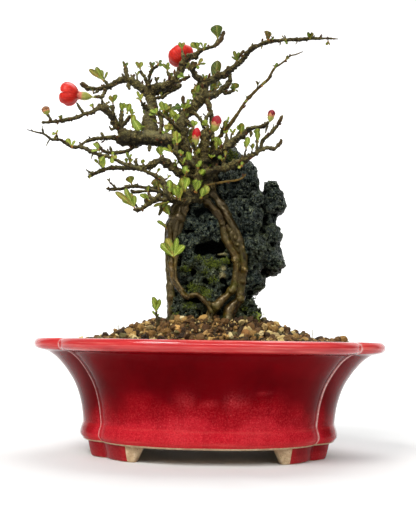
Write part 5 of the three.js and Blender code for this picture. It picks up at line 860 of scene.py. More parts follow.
  ('B6t', [[-9.4, -1.0, 288.2, 2.70], [-11.8, -2.0, 290.7, 2.46], [-14.5, -4.0, 292.1, 2.15], [-16.9, -6.0, 295.1, 1.91], [-18.1, -8.0, 298.8, 1.60], [-16.6, -9.0, 302.1, 1.37]]),
  ('B6t2', [[-17.3, -8.0, 295.6, 1.75], [-15.0, -9.0, 298.6, 1.60], [-13.8, -9.0, 301.8, 1.14]]),
  ('B6r', [[-7.8, 0.0, 286.1, 2.86], [-4.3, -1.0, 288.3, 2.77], [0.8, -2.0, 291.3, 2.69], [6.3, -4.0, 293.2, 2.53], [11.7, -6.0, 295.9, 2.37], [17.0, -8.0, 300.2, 2.29], [22.3, -11.0, 304.1, 2.05], [24.9, -13.0, 307.1, 1.97], [27.5, -15.0, 309.7, 1.81], [32.0, -17.0, 312.3, 1.66], [37.3, -19.0, 314.1, 1.58], [42.5, -21.0, 314.8, 1.50], [50.1, -23.0, 315.5, 1.34], [57.5, -25.0, 315.4, 1.27], [65.1, -26.0, 315.3, 1.19], [72.6, -27.0, 315.8, 1.04], [80.1, -28.0, 315.6, 0.81], [86.0, -29.0, 315.5, 0.59], [93.5, -30.0, 314.8, 0.30]]),
  ('B6r2', [[37.3, -19.0, 314.1, 0.60], [36.5, -19.0, 312.1, 0.45], [36.1, -20.0, 309.4, 0.26]]),
  ('B6r3', [[40.6, -21.0, 314.6, 0.90], [41.0, -21.0, 315.8, 0.75], [41.0, -21.0, 317.0, 0.60]]),
  ('B6r4', [[53.8, -24.0, 315.4, 0.75], [54.0, -24.0, 317.4, 0.60], [53.4, -24.0, 319.3, 0.30]]),
  ('B6r5', [[62.8, -26.0, 315.2, 0.63], [62.8, -26.0, 313.3, 0.45], [61.7, -26.0, 311.3, 0.22]]),
  ('B6r6', [[73.3, -27.0, 315.9, 0.59], [74.5, -27.0, 317.8, 0.41], [75.2, -27.0, 319.4, 0.19]]),
  ('B6r7', [[86.0, -29.0, 315.5, 0.41], [86.0, -29.0, 313.4, 0.30], [85.8, -29.0, 311.9, 0.15]]),
  ('B6r8', [[50.1, -23.0, 315.4, 0.56], [50.3, -23.0, 313.3, 0.41], [49.9, -23.0, 311.3, 0.22]]),
  ('B6r9', [[17.8, -8.0, 301.0, 1.30], [17.4, -8.0, 301.8, 1.07], [17.2, -8.0, 303.0, 0.92]]),
  ('B6q', [[-9.2, 0.0, 274.8, 2.70], [-4.5, 2.0, 277.2, 2.71], [0.2, 4.0, 279.5, 2.56], [5.0, 6.0, 283.2, 2.34], [9.7, 8.0, 287.1, 2.19], [12.3, 9.0, 290.6, 2.03], [13.1, 10.0, 295.0, 1.80], [12.3, 11.0, 299.0, 1.41]]),
  ('B6q2', [[6.6, 6.0, 283.2, 1.32], [10.6, 6.0, 281.6, 1.17], [14.1, 5.0, 282.8, 1.01], [16.5, 5.0, 283.9, 0.78]]),
  ('B6q3', [[-0.5, 4.0, 278.9, 1.01], [0.6, 3.0, 281.1, 0.78], [1.2, 3.0, 283.5, 0.54]]),
  ('B6v', [[0.8, -12.0, 235.6, 1.90], [-0.1, -10.0, 243.1, 1.75], [-1.0, -8.0, 249.9, 1.75], [-1.1, -6.0, 258.3, 1.76], [-3.1, -4.0, 265.9, 1.84], [-5.2, -2.0, 273.6, 2.08]]),
  ('B6v2', [[-1.9, -7.0, 262.0, 1.30], [-5.0, -10.0, 258.0, 1.14], [-6.2, -12.0, 254.3, 0.99], [-6.4, -13.0, 251.7, 0.83]]),
  ('B6u', [[-18.2, -8.0, 261.4, 1.53], [-14.3, -11.0, 260.3, 1.44], [-11.1, -13.0, 256.7, 1.21], [-8.7, -14.0, 253.0, 1.06], [-7.5, -15.0, 248.1, 1.06]]),
  ('B6w', [[-22.5, -10.0, 263.2, 1.37], [-22.9, -11.0, 266.1, 1.14], [-23.3, -12.0, 268.2, 0.99]]),
  ('B6x', [[-4.6, -1.0, 288.3, 1.00], [-6.6, -3.0, 289.3, 0.85], [-7.8, -4.0, 290.2, 0.61]]),
  ('B7', [[0.8, -12.5, 233.9, 1.89], [2.6, -16.0, 238.3, 1.73], [6.7, -18.0, 243.3, 1.58], [11.2, -20.0, 248.0, 1.50], [15.6, -23.0, 253.5, 1.34], [20.0, -26.0, 259.8, 1.26], [23.6, -28.0, 265.1, 1.26], [27.3, -30.0, 269.2, 1.18], [31.6, -32.0, 273.6, 1.10], [36.7, -34.0, 277.9, 1.03], [40.7, -36.0, 281.2, 1.02], [42.8, -37.0, 285.5, 0.95], [45.3, -38.0, 289.1, 0.88], [50.5, -39.0, 292.7, 0.73], [54.1, -40.0, 295.5, 0.65], [56.6, -41.0, 297.7, 0.58], [60.6, -42.0, 298.5, 0.47], [65.7, -43.0, 300.4, 0.33]]),
  ('B7a', [[6.0, -18.0, 242.9, 1.13], [7.4, -20.0, 246.8, 0.97], [9.2, -21.0, 250.4, 0.75], [11.1, -22.0, 252.5, 0.52]]),
  ('B8', [[-0.6, -17.0, 222.9, 2.82], [3.1, -20.0, 227.0, 2.62], [7.6, -23.0, 229.9, 2.46], [12.8, -25.0, 233.0, 2.46], [17.2, -26.0, 237.0, 2.38], [22.4, -27.0, 240.7, 2.23], [26.1, -28.0, 244.0, 1.85], [30.6, -29.0, 245.8, 1.55], [34.3, -29.0, 246.2, 1.26], [38.0, -30.0, 247.2, 1.11], [41.4, -30.0, 249.9, 0.96]]),
  ('B8a', [[26.9, -28.0, 244.0, 1.26], [28.4, -28.0, 241.7, 1.04], [28.1, -28.0, 238.7, 0.74]]),
  ('B8b', [[41.0, -30.0, 249.1, 0.74], [39.9, -30.0, 245.3, 0.59], [39.2, -30.0, 241.5, 0.37]]),
  ('B8c', [[18.7, -26.0, 238.2, 1.11], [19.4, -27.0, 241.8, 0.89], [20.5, -28.0, 244.3, 0.67]]),
  ('B8d', [[14.3, -25.0, 234.5, 0.97], [13.5, -26.0, 238.1, 0.82], [13.8, -27.0, 241.4, 0.59]]),
  ('B8e', [[8.3, -23.0, 230.3, 1.64], [9.8, -24.0, 234.7, 1.49], [10.5, -24.0, 238.5, 1.34], [9.7, -24.0, 241.2, 1.12]]),
  ('B9', [[-9.5, -27.0, 208.6, 2.97], [-4.2, -30.0, 210.7, 2.81], [1.7, -32.0, 212.7, 2.65], [9.1, -33.0, 213.8, 2.57], [16.5, -33.0, 216.9, 2.43], [22.5, -32.0, 220.2, 2.21], [27.7, -31.0, 222.8, 1.92], [32.2, -30.0, 226.1, 1.70], [35.7, -29.0, 229.0, 1.55]]),
  ('B9a', [[34.9, -29.0, 227.9, 1.48], [36.2, -29.0, 231.7, 1.41], [37.0, -30.0, 235.7, 1.33], [39.9, -31.0, 238.2, 1.18], [43.2, -32.0, 240.8, 1.03], [46.1, -33.0, 244.4, 0.88], [49.0, -34.0, 247.5, 0.73], [50.5, -34.0, 250.6, 0.55]]),
  ('B9a2', [[44.0, -32.0, 241.4, 0.55], [44.9, -32.0, 244.9, 0.41], [45.0, -33.0, 247.7, 0.22]]),
  ('B9b', [[35.3, -29.0, 228.3, 1.18], [39.8, -28.0, 230.6, 1.11], [42.9, -27.0, 230.6, 1.04], [46.0, -26.0, 230.2, 0.97], [49.0, -26.0, 232.9, 0.82], [51.3, -25.0, 236.3, 0.60], [51.7, -25.0, 238.2, 0.33]]),
  ('B9c', [[33.2, -30.0, 226.9, 0.89], [32.9, -31.0, 232.7, 0.74], [32.8, -32.0, 237.5, 0.63], [32.7, -33.0, 240.3, 0.51]]),
  ('B9d', [[24.8, -31.0, 222.0, 0.96], [23.9, -32.0, 225.2, 0.77], [24.6, -33.0, 228.0, 0.59]]),
  ('B9e', [[22.9, -32.0, 220.2, 0.88], [22.1, -33.0, 222.7, 0.74], [21.4, -33.0, 224.2, 0.51]]),
  ('B9f', [[20.2, -33.0, 218.5, 0.81], [22.8, -35.0, 216.6, 0.59], [21.3, -36.0, 214.1, 0.44]]),
  ('B10', [[-8.6, -28.0, 199.3, 1.56], [-4.8, -31.0, 200.7, 1.25], [-0.4, -33.0, 201.3, 1.10], [5.5, -34.0, 202.5, 1.10], [12.9, -35.0, 203.6, 1.03], [18.8, -36.0, 204.4, 0.88], [22.5, -36.0, 206.4, 0.73], [24.7, -37.0, 208.8, 0.51]]),
  ('B10b', [[6.9, -32.0, 212.4, 1.47], [8.4, -32.0, 216.2, 1.25], [7.6, -31.0, 220.2, 1.11], [5.3, -30.0, 223.4, 0.96]]),
  ('B12', [[-15.6, -24.0, 210.5, 2.24], [-20.0, -28.0, 213.5, 1.85], [-23.8, -32.0, 217.6, 1.62], [-26.0, -34.0, 221.0, 1.47], [-28.2, -36.0, 223.5, 1.32], [-30.1, -37.0, 225.6, 1.17]]),
  ('B12a', [[-25.6, -34.0, 222.1, 1.25], [-27.3, -35.0, 227.2, 1.10], [-27.6, -35.0, 230.9, 0.88]]),
  ('B12b', [[-14.1, -28.0, 214.4, 1.48], [-16.7, -32.0, 216.6, 1.25], [-17.8, -34.0, 218.8, 0.95]]),
  ('B12c', [[-13.9, -27.0, 207.0, 1.63], [-16.9, -31.0, 207.7, 1.40], [-19.1, -34.0, 209.0, 1.10]]),
  ('B13', [[-12.0, -27.0, 228.3, 1.11], [-14.3, -30.0, 230.7, 0.96], [-15.1, -32.0, 232.9, 0.96]]),
  ('B14', [[-23.9, -9.0, 256.0, 1.30], [-20.4, -12.0, 254.1, 1.21], [-17.9, -16.0, 251.2, 1.06], [-15.5, -19.0, 248.6, 0.98], [-15.6, -21.0, 244.2, 0.75]]),
  ('B15', [[-5.4, -22.0, 238.0, 1.05], [-3.5, -25.0, 239.3, 0.89], [-0.9, -27.0, 241.5, 0.82], [0.4, -28.0, 244.0, 0.74]]),
  ('K1', [[-13.4, -19.0, 209.9, 3.38], [-12.8, -10.0, 216.3, 3.42], [-7.7, 8.0, 227.8, 3.12], [-0.5, 26.0, 233.1, 2.96], [7.9, 42.0, 228.1, 2.62], [16.6, 54.0, 223.7, 2.24], [23.7, 62.0, 216.7, 1.68], [29.2, 68.0, 207.4, 0.85]]),
  ('K1a', [[9.6, 44.0, 227.7, 2.05], [13.2, 50.0, 219.5, 1.65], [11.8, 54.0, 210.0, 1.25], [8.6, 58.0, 201.3, 0.67]]),
  ('K1b', [[21.9, 60.0, 218.0, 1.51], [28.8, 64.0, 222.3, 1.10], [33.1, 66.0, 229.6, 0.59]]),
  ('K2', [[-18.5, -17.0, 221.8, 3.39], [-20.7, -8.0, 225.9, 3.43], [-22.8, 8.0, 235.6, 3.12], [-21.8, 22.0, 246.8, 2.95], [-27.1, 34.0, 251.0, 2.67], [-35.7, 44.0, 252.3, 2.21], [-46.3, 54.0, 253.5, 1.66], [-57.0, 62.0, 256.0, 0.92]]),
  ('K2a', [[-28.8, 36.0, 251.4, 1.87], [-30.8, 42.0, 261.2, 1.55], [-36.1, 46.0, 269.8, 1.15], [-39.8, 50.0, 275.8, 0.66]]),
  ('K2b', [[-44.5, 52.0, 253.1, 1.58], [-51.3, 52.0, 258.1, 1.33], [-54.1, 54.0, 265.4, 1.00], [-53.6, 56.0, 272.8, 0.58]]),
  ('K3', [[-23.6, -8.0, 256.6, 2.67], [-23.1, 0.0, 259.4, 2.70], [-18.8, 16.0, 268.3, 2.53], [-13.5, 30.0, 278.7, 2.25], [-8.8, 42.0, 289.6, 1.88], [-3.8, 50.0, 294.4, 1.41], [2.1, 56.0, 299.7, 0.83]]),
  ('K3a', [[-8.8, 42.0, 288.7, 1.55], [-8.1, 46.0, 298.4, 1.23], [-10.7, 48.0, 305.8, 0.74]]),
  ('K4', [[-22.2, 14.0, 191.7, 2.36], [-12.9, 30.0, 196.7, 2.25], [-4.8, 40.0, 194.2, 2.04], [1.9, 50.0, 189.0, 1.65], [8.8, 58.0, 183.4, 1.00]]),
  ('R1', [[-10.1, -23.0, 198.6, 2.99], [-18.5, -14.0, 196.9, 3.03], [-24.2, -2.0, 194.8, 2.85], [-22.1, 8.5, 190.9, 2.81], [-14.2, 19.8, 184.6, 2.78], [-6.1, 28.9, 172.9, 2.65], [-5.0, 33.8, 157.2, 2.51], [-7.2, 34.1, 140.9, 2.51], [-3.7, 32.9, 124.6, 2.67], [-1.9, 32.2, 113.3, 2.83], [-1.8, 30.6, 103.6, 2.98], [-1.9, 32.1, 89.6, 2.24]]),
  ('R2', [[-22.1, 8.5, 191.7, 2.58], [-11.1, 16.0, 191.4, 2.53], [1.7, 26.4, 189.8, 2.40], [13.2, 31.0, 184.1, 2.26], [20.7, 30.8, 173.6, 2.26], [23.2, 29.8, 160.5, 2.25], [20.2, 28.7, 145.7, 2.25], [18.7, 27.2, 129.5, 2.24], [23.7, 26.0, 115.0, 2.40], [25.5, 28.0, 103.9, 2.57], [27.5, 29.4, 89.9, 1.93]]),
  ('R3', [[-16.7, -25.0, 192.8, 2.60], [-23.1, -13.0, 191.9, 2.50], [-27.2, -1.0, 188.6, 2.39], [-28.1, 7.7, 179.6, 2.34], [-28.9, 12.6, 167.4, 2.20], [-29.5, 13.3, 156.4, 2.20], [-29.9, 12.5, 140.5, 2.20], [-28.9, 14.4, 124.8, 2.28], [-27.2, 18.1, 112.4, 2.38], [-26.2, 18.0, 101.3, 2.53], [-28.3, 18.9, 87.3, 1.90]]),
]
STRANDS = ("strand", "root", "R1", "R2", "R3")

def curve(pts, step):
    """Catmull-Rom through the traced points, evenly spaced; returns positions and radii"""
    P = np.asarray(pts, float); P2 = np.vstack([2 * P[0] - P[1], P, 2 * P[-1] - P[-2]]); out = []
    for i in range(1, len(P2) - 2):
        a, b, c, d = P2[i - 1], P2[i], P2[i + 1], P2[i + 2]
        k = max(4, int(np.linalg.norm(c[:3] - b[:3]) / step * 2))
        for t in np.linspace(0, 1, k, endpoint=False):
            out.append(0.5 * ((2 * b) + (c - a) * t + (2 * a - 5 * b + 4 * c - d) * t * t + (3 * b - a - 3 * c + d) * t ** 3))
    out.append(P[-1]); out = np.array(out)
    L = np.r_[0, np.cumsum(np.linalg.norm(np.diff(out[:, :3], axis=0), axis=1))]
    n = max(3, int(L[-1] / step) + 1); s = np.linspace(0, L[-1], n)
    R = np.stack([np.interp(s, L, out[:, k]) for k in range(4)], 1)
    R[:, 3] = np.maximum(R[:, 3], 0.16)
    return R, s

def frames(P):
    T = np.gradient(P, axis=0); T /= np.linalg.norm(T, axis=1)[:, None] + 1e-12
    u = np.array([0, 0, 1.0]) if abs(T[0, 2]) < 0.85 else np.array([1.0, 0, 0]); U = []
    for t in T:
        u = u - t * (u @ t); u = u / (np.linalg.norm(u) + 1e-12); U.append(u)
    U = np.array(U); return T, U, np.cross(T, U)

def tube(R, s, sides, seed, rough=0.10, knots=0.0, gap=8.0, wander=0.12, blunt=0.5):
    """closed knobbly tube; returns verts, quads and tris"""
    n = len(R); P = R[:, :3].copy(); r = R[:, 3].copy()
    T, U, W = frames(P)
    w = np.stack([vnoise(np.c_[s, 0 * s + seed, 0 * s], 5.5, 3) - 0.5, vnoise(np.c_[s, 0 * s + seed, 0 * s], 5.5, 4) - 0.5], 1) * 2 * wander
    ease = np.minimum(1, np.minimum(s, s[-1] - s) / 3.0)
    P = P + (U * w[:, :1] + W * w[:, 1:]) * (r * ease)[:, None]
    r = r * (1 + 0.16 * (vnoise(np.c_[s, 0 * s + seed, 0 * s], 6.0, 7) - 0.5) * 2 + 0.08 * (vnoise(np.c_[s, 0 * s + seed, 0 * s], 2.1, 8) - 0.5) * 2)
    if knots:
        x = gap * 0.6 + gap * 0.5 * rnd(seed, 1)
        k = 0
        while x < s[-1] - 0.8:
            r = r * (1 + knots * (0.6 + 0.8 * rnd(seed, k + 5)) * np.exp(-((s - x) / (0.75 + 0.12 * r)) ** 2))
            x += gap * (0.55 + 0.9 * rnd(seed, k + 40)); k += 1
    th = 2 * math.pi * np.arange(sides) / sides + rnd(seed, 2) * 6
    c, sn = np.cos(th), np.sin(th)
    nv = fbm(np.stack([np.broadcast_to(c * 1.6, (n, sides)), np.broadcast_to(sn * 1.6, (n, sides)), np.broadcast_to((s / 5.0)[:, None] + seed * 3.1, (n, sides))], -1), 1.0, 2, 13)
    rr = r[:, None] * (1 + rough * (nv - 0.5) * 2)
    V = P[:, None, :] + rr[..., None] * (U[:, None, :] * c[None, :, None] + W[:, None, :] * sn[None, :, None])
    V = V.reshape(-1, 3)
    i = np.arange(sides); j = (i + 1) % sides; F = []
    for q in range(n - 1): F.append(np.c_[q * sides + i, q * sides + j, (q + 1) * sides + j, (q + 1) * sides + i])
    a = len(V); e0 = P[0] - T[0] * r[0] * blunt; e1 = P[-1] + T[-1] * r[-1] * blunt
    V = np.vstack([V, e0, e1]); m = (n - 1) * sides
    tri = np.vstack([np.c_[np.full(sides, a), j, i], np.c_[np.full(sides, a + 1), m + i, m + j]])
    return V, np.concatenate(F), tri

def is_strand(name): return name.startswith(STRANDS)

def nearest_tree(samples):
    kd = kdtree.KDTree(len(samples))
    for i, p in enumerate(samples): kd.insert(p[:3], i)
    kd.balance(); return kd

def bark_detail(o, branches, seed, strand):
    """runs furrows along the grain of the fused wood and records their depth"""
    S = []; TT = []; NM = []
    for bi, (name, R, s) in enumerate(branches):
        T, _, _ = frames(R[:, :3]); S.append(np.c_[R, np.full(len(R), bi)]); TT.append(T)
    S = np.concatenate(S); TT = np.concatenate(TT); kd = nearest_tree(S)
    V = co_of(o.data) * 1000; N = no_of(o.data)
    idx = np.empty(len(V), np.int64)
    for q, p in enumerate(V): idx[q] = kd.find(p)[1]
    C, T, r = S[idx, :3], TT[idx], S[idx, 3]
    stretch = V - T * ((0.90 if strand else 0.74) * (V * T).sum(1))[:, None]
    f = fbm(stretch, 1.7 if strand else 1.25, 3, seed)
    if strand:
        w = 1 - np.abs(2 * vnoise(stretch, 2.1, seed + 3) - 1)
        ridge = np.clip(0.45 * f + 0.55 * (0.25 + 0.75 * w), 0, 1)
    else:
        plates, p2, _ = worley(stretch, 2.0, seed + 3)
        ridge = np.clip(0.55 * f + 0.45 * smoothstep(0.0, 0.35, p2 - plates), 0, 1)
    lumps = fbm(V, 4.5, 2, seed + 9) - 0.5
    amp = np.clip(r * 0.16, 0.08, 0.42 if strand else 0.5)
    disp = amp * (ridge - 0.55) * (1.5 if strand else 1.9) + lumps * np.clip(r * (0.20 if strand else 0.34), 0.1, 0.6 if strand else 1.1)
    if not strand:
        # swollen nodes and old scars along the limbs
        k1, _, ki = worley(V, 3.4, seed + 21)
        disp += np.clip(r * 0.28, 0.12, 0.75) * np.sqrt(np.clip(1 - (k1 / 0.42) ** 2, 0, 1)) * (ki > 0.45)
    V2 = V + N * disp[:, None]
    me = o.data; me.vertices.foreach_set("co", (V2 * 0.001).astype(np.float32).ravel()); me.update()
    N2 = no_of(me); fine, broad = cavity(me, V2, N2, 3), cavity(me, V2, N2, 12)
    # darkness for the hollows, which is painted shade, and paleness for the crests, partly painted highlight
    put_attr(me, "ridge", ridge); put_attr(me, "pit", smoothstep(0.08, 0.5, fine) * 0.6 + smoothstep(0.15, 0.8, broad) * 0.7); put_attr(me, "crest", smoothstep(0.05, 0.3, -fine))
    return V2, N2, S[idx, 4].astype(int), r

def strand_tube(name, pts, seed, sides, step):
    """one root or strand: smooth, slightly lobed, with long furrows that follow the grain"""
    R, s = curve(pts, step); n = len(R); P = R[:, :3].copy(); r = R[:, 3].copy()
    T, U, W = frames(P)
    line = lambda k, size: vnoise(np.c_[s, 0 * s + seed * 7.3, 0 * s + k], size, 5) - 0.5
    ease = np.minimum(1, np.minimum(s, s[-1] - s) / 4.0)
    P = P + (U * line(1, 8.0)[:, None] + W * line(2, 8.0)[:, None]) * (0.35 * r * ease)[:, None]
    r = r * (1 + 0.20 * line(3, 9.0) * 2 + 0.09 * line(4, 3.2) * 2)
    x = 6.0 + 10 * rnd(seed, 1); k = 0
    while x < s[-1] - 3:                                  # slight swellings where rootlets once grew
        r = r * (1 + 0.20 * (0.5 + rnd(seed, k + 5)) * np.exp(-((s - x) / (1.3 + 0.3 * r)) ** 2)); x += 9 + 13 * rnd(seed, k + 40); k += 1
    th = 2 * math.pi * np.arange(sides) / sides
    tw = 0.9 * np.cumsum(np.full(n, step)) / 22.0 + rnd(seed, 3) * 6      # the grain twists slowly
    TH = th[None, :] + 0 * s[:, None]; A = TH + tw[:, None]; rm = r[:, None] / 2.5
    g = lambda a, size_t, size_s, kk: vnoise(np.stack([np.cos(a) * rm * 2.5 / size_t, np.sin(a) * rm * 2.5 / size_t, np.broadcast_to((s / size_s)[:, None], a.shape) + seed * 5.1], -1), 1.0, kk)
    lobes = 0.11 * np.cos(2 * A + 1.3) + 0.06 * np.cos(3 * A + rnd(seed, 4) * 6 + s[:, None] / 17)
    f1 = 1 - np.abs(2 * g(A, 1.5, 13.0, 21) - 1); f2 = 1 - np.abs(2 * g(A, 0.8, 6.5, 22) - 1); lump = g(TH, 3.0, 4.0, 23) - 0.5; crack = smoothstep(0.74, 0.84, g(A, 1.9, 9.0, 24))
    rr = r[:, None] * (1 + lobes) + 0.14 * (f1 ** 2 - 0.4) * np.minimum(1, r[:, None] / 2.2) + 0.05 * (f2 ** 2 - 0.4) + 0.60 * lump * np.minimum(1, r[:, None] / 2.2) - 0.50 * crack * np.minimum(1, r[:, None] / 2.4)
    c, sn = np.cos(TH), np.sin(TH)
    V = P[:, None, :] + rr[..., None] * (U[:, None, :] * c[..., None] + W[:, None, :] * sn[..., None])
    nz = (U[:, None, 2] * c + W[:, None, 2] * sn)
    ridge = np.clip(0.14 + 0.42 * f1 * f1 + 0.22 * f2 * f2 + 0.5 * lump, 0, 1)
    # cracks get painted shade; the grain ridges get pale streaks, partly painted highlight
    ridge = np.append(ridge.ravel(), [0.4, 0.4]); pit = np.append((crack * 0.9).ravel(), [0, 0]); top = np.append(smoothstep(-0.7, 0.9, nz).ravel(), [0.4, 0.4]); cr = np.append((smoothstep(0.75, 1.0, f1) * smoothstep(0.5, 0.7, g(A, 3.0, 7.0, 25))).ravel(), [0, 0])
    i = np.arange(sides); j = (i + 1) % sides
    F = np.concatenate([np.c_[q * sides + i, q * sides + j, (q + 1) * sides + j, (q + 1) * sides + i] for q in range(n - 1)])
    V = V.reshape(-1, 3); a = len(V); V = np.vstack([V, P[0] - T[0] * r[0] * 0.5, P[-1] + T[-1] * r[-1] * 0.5]); m = (n - 1) * sides
    tri = np.vstack([np.c_[np.full(sides, a), j, i], np.c_[np.full(sides, a + 1), m + i, m + j]])
    return V, F, tri, ridge, pit, top, cr

def build_wood(bark_crown, bark_strand, grey_spots):
    C = {name: curve(pts, 1.0) for name, pts in BRANCHES}
    thick_c, thin = [], []
    for name, pts in BRANCHES:
        if is_strand(name): continue
        (thick_c if (name.startswith("T") or max(p[3] for p in pts) > 1.45) and name not in ("B7", "B10") else thin).append(name)
    out = []
    # strands and roots over the stone, each its own twisting tube
    s = Soup(); q = 0
    for name, pts in BRANCHES:
        if not is_strand(name): continue
        rmax = max(p[3] for p in pts); front = not name.startswith("R")
        sides = (25 if rmax > 2.4 else 20 if rmax > 1.7 else 16) if front else 16
        v, f4, f3, rg, pt, tp, cr = strand_tube(name, pts, 31 + q, sides, 0.5 if front else 0.8)
        grey = name in ("rootL2", "rootL4"); tn = np.clip((0.85 if grey else 0.0) * smoothstep(0.25, 0.5, fbm(v, 9, 2, 8)) + 0.6 * smoothstep(0.60, 0.74, fbm(v, 12, 2, 18)), 0, 1)
        dm = {'strandB': 0.42, 'strandC': 0.45, 'strandD': 0.15, 'strandA': 0.0, 'rootL1': 0.10, 'rootL2': 0.12}.get(name, 0.25) * smoothstep(0.30, 0.60, fbm(v, 16, 2, 28)) + 0.35 * smoothstep(0.54, 0.70, fbm(v, 5, 3, 29))
        s.add(v, f3, f4, ridge=rg, pit=pt, top=tp, crest=cr, tone=tn, dim=np.clip(dm, 0, 1)); q += 1
    # the fibrous mass in which the left roots start, and the strand that fills the gap between the two main ones
    def depth_by(name, px, py):
        d = ray(px, py); R = C[name][0]; q = R[:, :3] - CAM; t = (q @ d) / (d @ d); return R[int(np.argmin(np.linalg.norm(q - t[:, None] * d, axis=1))), 1]
    mass = [[(182, 199, 7.6), (180.5, 206, 8.4), (178, 214, 8.2), (175.5, 222, 7.2), (172.5, 231, 6.0), (170.5, 241, 4.6), (170, 251, 3.4)], [(186, 200, 4.6), (184.5, 207, 4.4), (182.5, 215, 4.0), (180, 224, 3.6), (177, 233, 3.0), (174, 243, 2.2)]]
    for k, m_ in enumerate(mass):
        pts = [list(unproj(px, py, -20.5 - 2.0 * k)) + [r / 1.296 * 0.82] for px, py, r in m_]
        v, f4, f3, rg, pt, tp, cr = strand_tube("mass", pts, 61 + k, 24, 0.6); s.add(v, f3, f4, ridge=rg, pit=pt, top=tp, crest=cr, tone=np.clip(0.55 + 0.5 * smoothstep(0.4, 0.6, fbm(v, 6, 2, 8)), 0, 1), dim=0.35 * smoothstep(0.52, 0.66, fbm(v, 4, 3, 29)))
    fill = [(237.6, 243, 2.2), (239.6, 250, 3.4), (240.4, 258, 3.8), (240.3, 267, 4.0), (239.6, 276, 4.0), (238.2, 285, 3.6), (236.4, 292, 2.8)]
    pts = [list(unproj(px, py, depth_by("strandA", px, py) + 0.9)) + [r / 1.296] for px, py, r in fill]
    # the filler strand lies back between the two main ones and is darkened as painted shade
    v, f4, f3, rg, pt, tp, cr = strand_tube("fill", pts, 71, 16, 0.6); s.add(v, f3, f4, ridge=rg, pit=pt, top=tp, crest=cr, tone=np.zeros(len(v)), dim=np.full(len(v), 0.4))
    # knots, healed cuts and root collars: lumps with a pale lip
    for (px, py, y, rad) in ((222, 223, -27, 2.5), (230, 230, -27, 2.0), (235.5, 238, -28, 2.2), (237.5, 244.5, -28, 2.0), (241, 299, -29, 2.8), (231, 291, -28, 2.2), (209, 304, -28, 2.0), (187, 297, -30, 2.0), (176, 210, -20, 2.4), (171, 226, -18, 2.4)):
        c = unproj(px, py, y); V0, F0 = ico(3); v = V0 * rad * (1 + 0.34 * (fbm(V0 * 2.0 + px, 1.0, 3, 3) - 0.5) * 2)[:, None]; v[:, 1] *= 0.8
        g = fbm(V0 * 3 + px, 1.0, 2, 5); s.add(c + v, F0, ridge=np.clip(0.35 + 0.5 * g, 0, 1), pit=smoothstep(0.62, 0.72, g) * 0.8, top=smoothstep(-0.7, 0.9, V0[:, 2]), crest=smoothstep(0.35, 0.25, g) * 0.9, tone=np.zeros(len(v)), dim=np.zeros(len(v)))
    out.append(s.build("trunk_strands", bark_strand))
    for label, names, mat, vox, strand in (("trunk_and_limbs", thick_c, bark_crown, 0.76, False),):
        s = Soup()
        for q, name in enumerate(names):
            R, L = C[name]
            v, f4, f3 = tube(R, L, 14 if R[:, 3].max() > 2.4 else 10, q + 60, rough=0.2, knots=0.22, gap=7 if R[:, 3].mean() > 1.6 else 5, wander=0.14)
            s.add(v, f3, f4)
        # collars of trunk bark where the strands and roots leave the trunk
        for name in SLEEVES:
            R, L = curve(dict(BRANCHES)[name], 1.0); t0 = R[0, :3] - R[2, :3]; t0 /= np.linalg.norm(t0); r0 = R[0, 3]; k = np.searchsorted(L, SLEEVES[name])
            back = np.array([np.r_[R[0, :3] + t0 * d, r0 * 1.18] for d in (6.0, 4.0, 2.0)]); Q = np.vstack([back, R[:k]]); g = np.linspace(0, 1, len(Q)); Q[:, 3] = np.r_[[r0 * 1.18] * 3, R[:k, 3]] * (1.16 - 0.36 * g ** 1.5)
            v, f4, f3 = tube(Q, np.arange(len(Q)) * 1.0, 14, 800 + k, rough=0.2, knots=0.15, gap=6, wander=0.05); s.add(v, f3, f4)
        # the heavy lower limb: swollen along its length, with the healed stub at its end, which a patch of painted
        # shade darkens
        R, L = C["B1"]; Q = R[2:-1].copy(); Q[:, 3] = Q[:, 3] * 1.17; Q[:, 2] += 0.5
        v, f4, f3 = tube(Q, L[2:-1] - L[2], 16, 811, rough=0.30, knots=0.22, gap=8, wander=0.10); s.add(v, f3, f4)
        for (px, py, y, rad) in ((125.5, 138.5, -19.5, (5.6, 4.4, 5.4)), (121, 141, -18.5, (3.6, 3.4, 3.4)), (129.5, 134.5, -18.5, (3.6, 3.2, 3.4)), (124, 132.5, -18.0, (3.4, 3.2, 3.2))):
            V0, F0 = ico(3); v = V0 * np.array(rad) * (1 + 0.26 * (fbm(V0 * 1.6 + px, 1.0, 3, 3) - 0.5) * 2)[:, None]; s.add(unproj(px, py, y) + v, F0)
        V0, F0 = ico(1); kk = 0         # spur bases and healed cuts
        for q, name in enumerate(names):
            R, L = C[name]; T, U, W = frames(R[:, :3]); x = 1.5 + 3 * rnd(q, 71)
            while x < L[-1] - 1:
                i = min(int(np.searchsorted(L, x)), len(R) - 1); a = 6.283 * rnd(kk, 72); rr = min(1.7, (0.34 + 0.34 * rnd(kk, 73)) * R[i, 3] + 0.25)
                c = R[i, :3] + (U[i] * math.cos(a) + W[i] * math.sin(a)) * R[i, 3] * (0.8 + 0.25 * rnd(kk, 74))
                st = np.array([0.8 + 0.5 * rnd(kk, 75), 0.8 + 0.5 * rnd(kk, 76), 0.8 + 0.6 * rnd(kk, 77)])
                s.add(c + V0 * st * rr, F0); x += (2.2 + 3.4 * rnd(kk, 78)) * (1.3 if R[i, 3] > 3 else 1.0); kk += 1
        o = s.build(label, mat)
        voxel(o, vox * (1), 1)
        V, N, who, rad = bark_detail(o, [(n, *C[n]) for n in names], 5 if strand else 9, strand)
        tone = np.zeros(len(V))
        for (px, py, w, hgt, y) in grey_spots:
            c = unproj(px, py, y); q = (V - c) / np.array([w * 0.8, 9, hgt * 0.8]); tone = np.maximum(tone, np.exp(-(q ** 2).sum(1) * 0.9))
        dim = np.zeros(len(V))
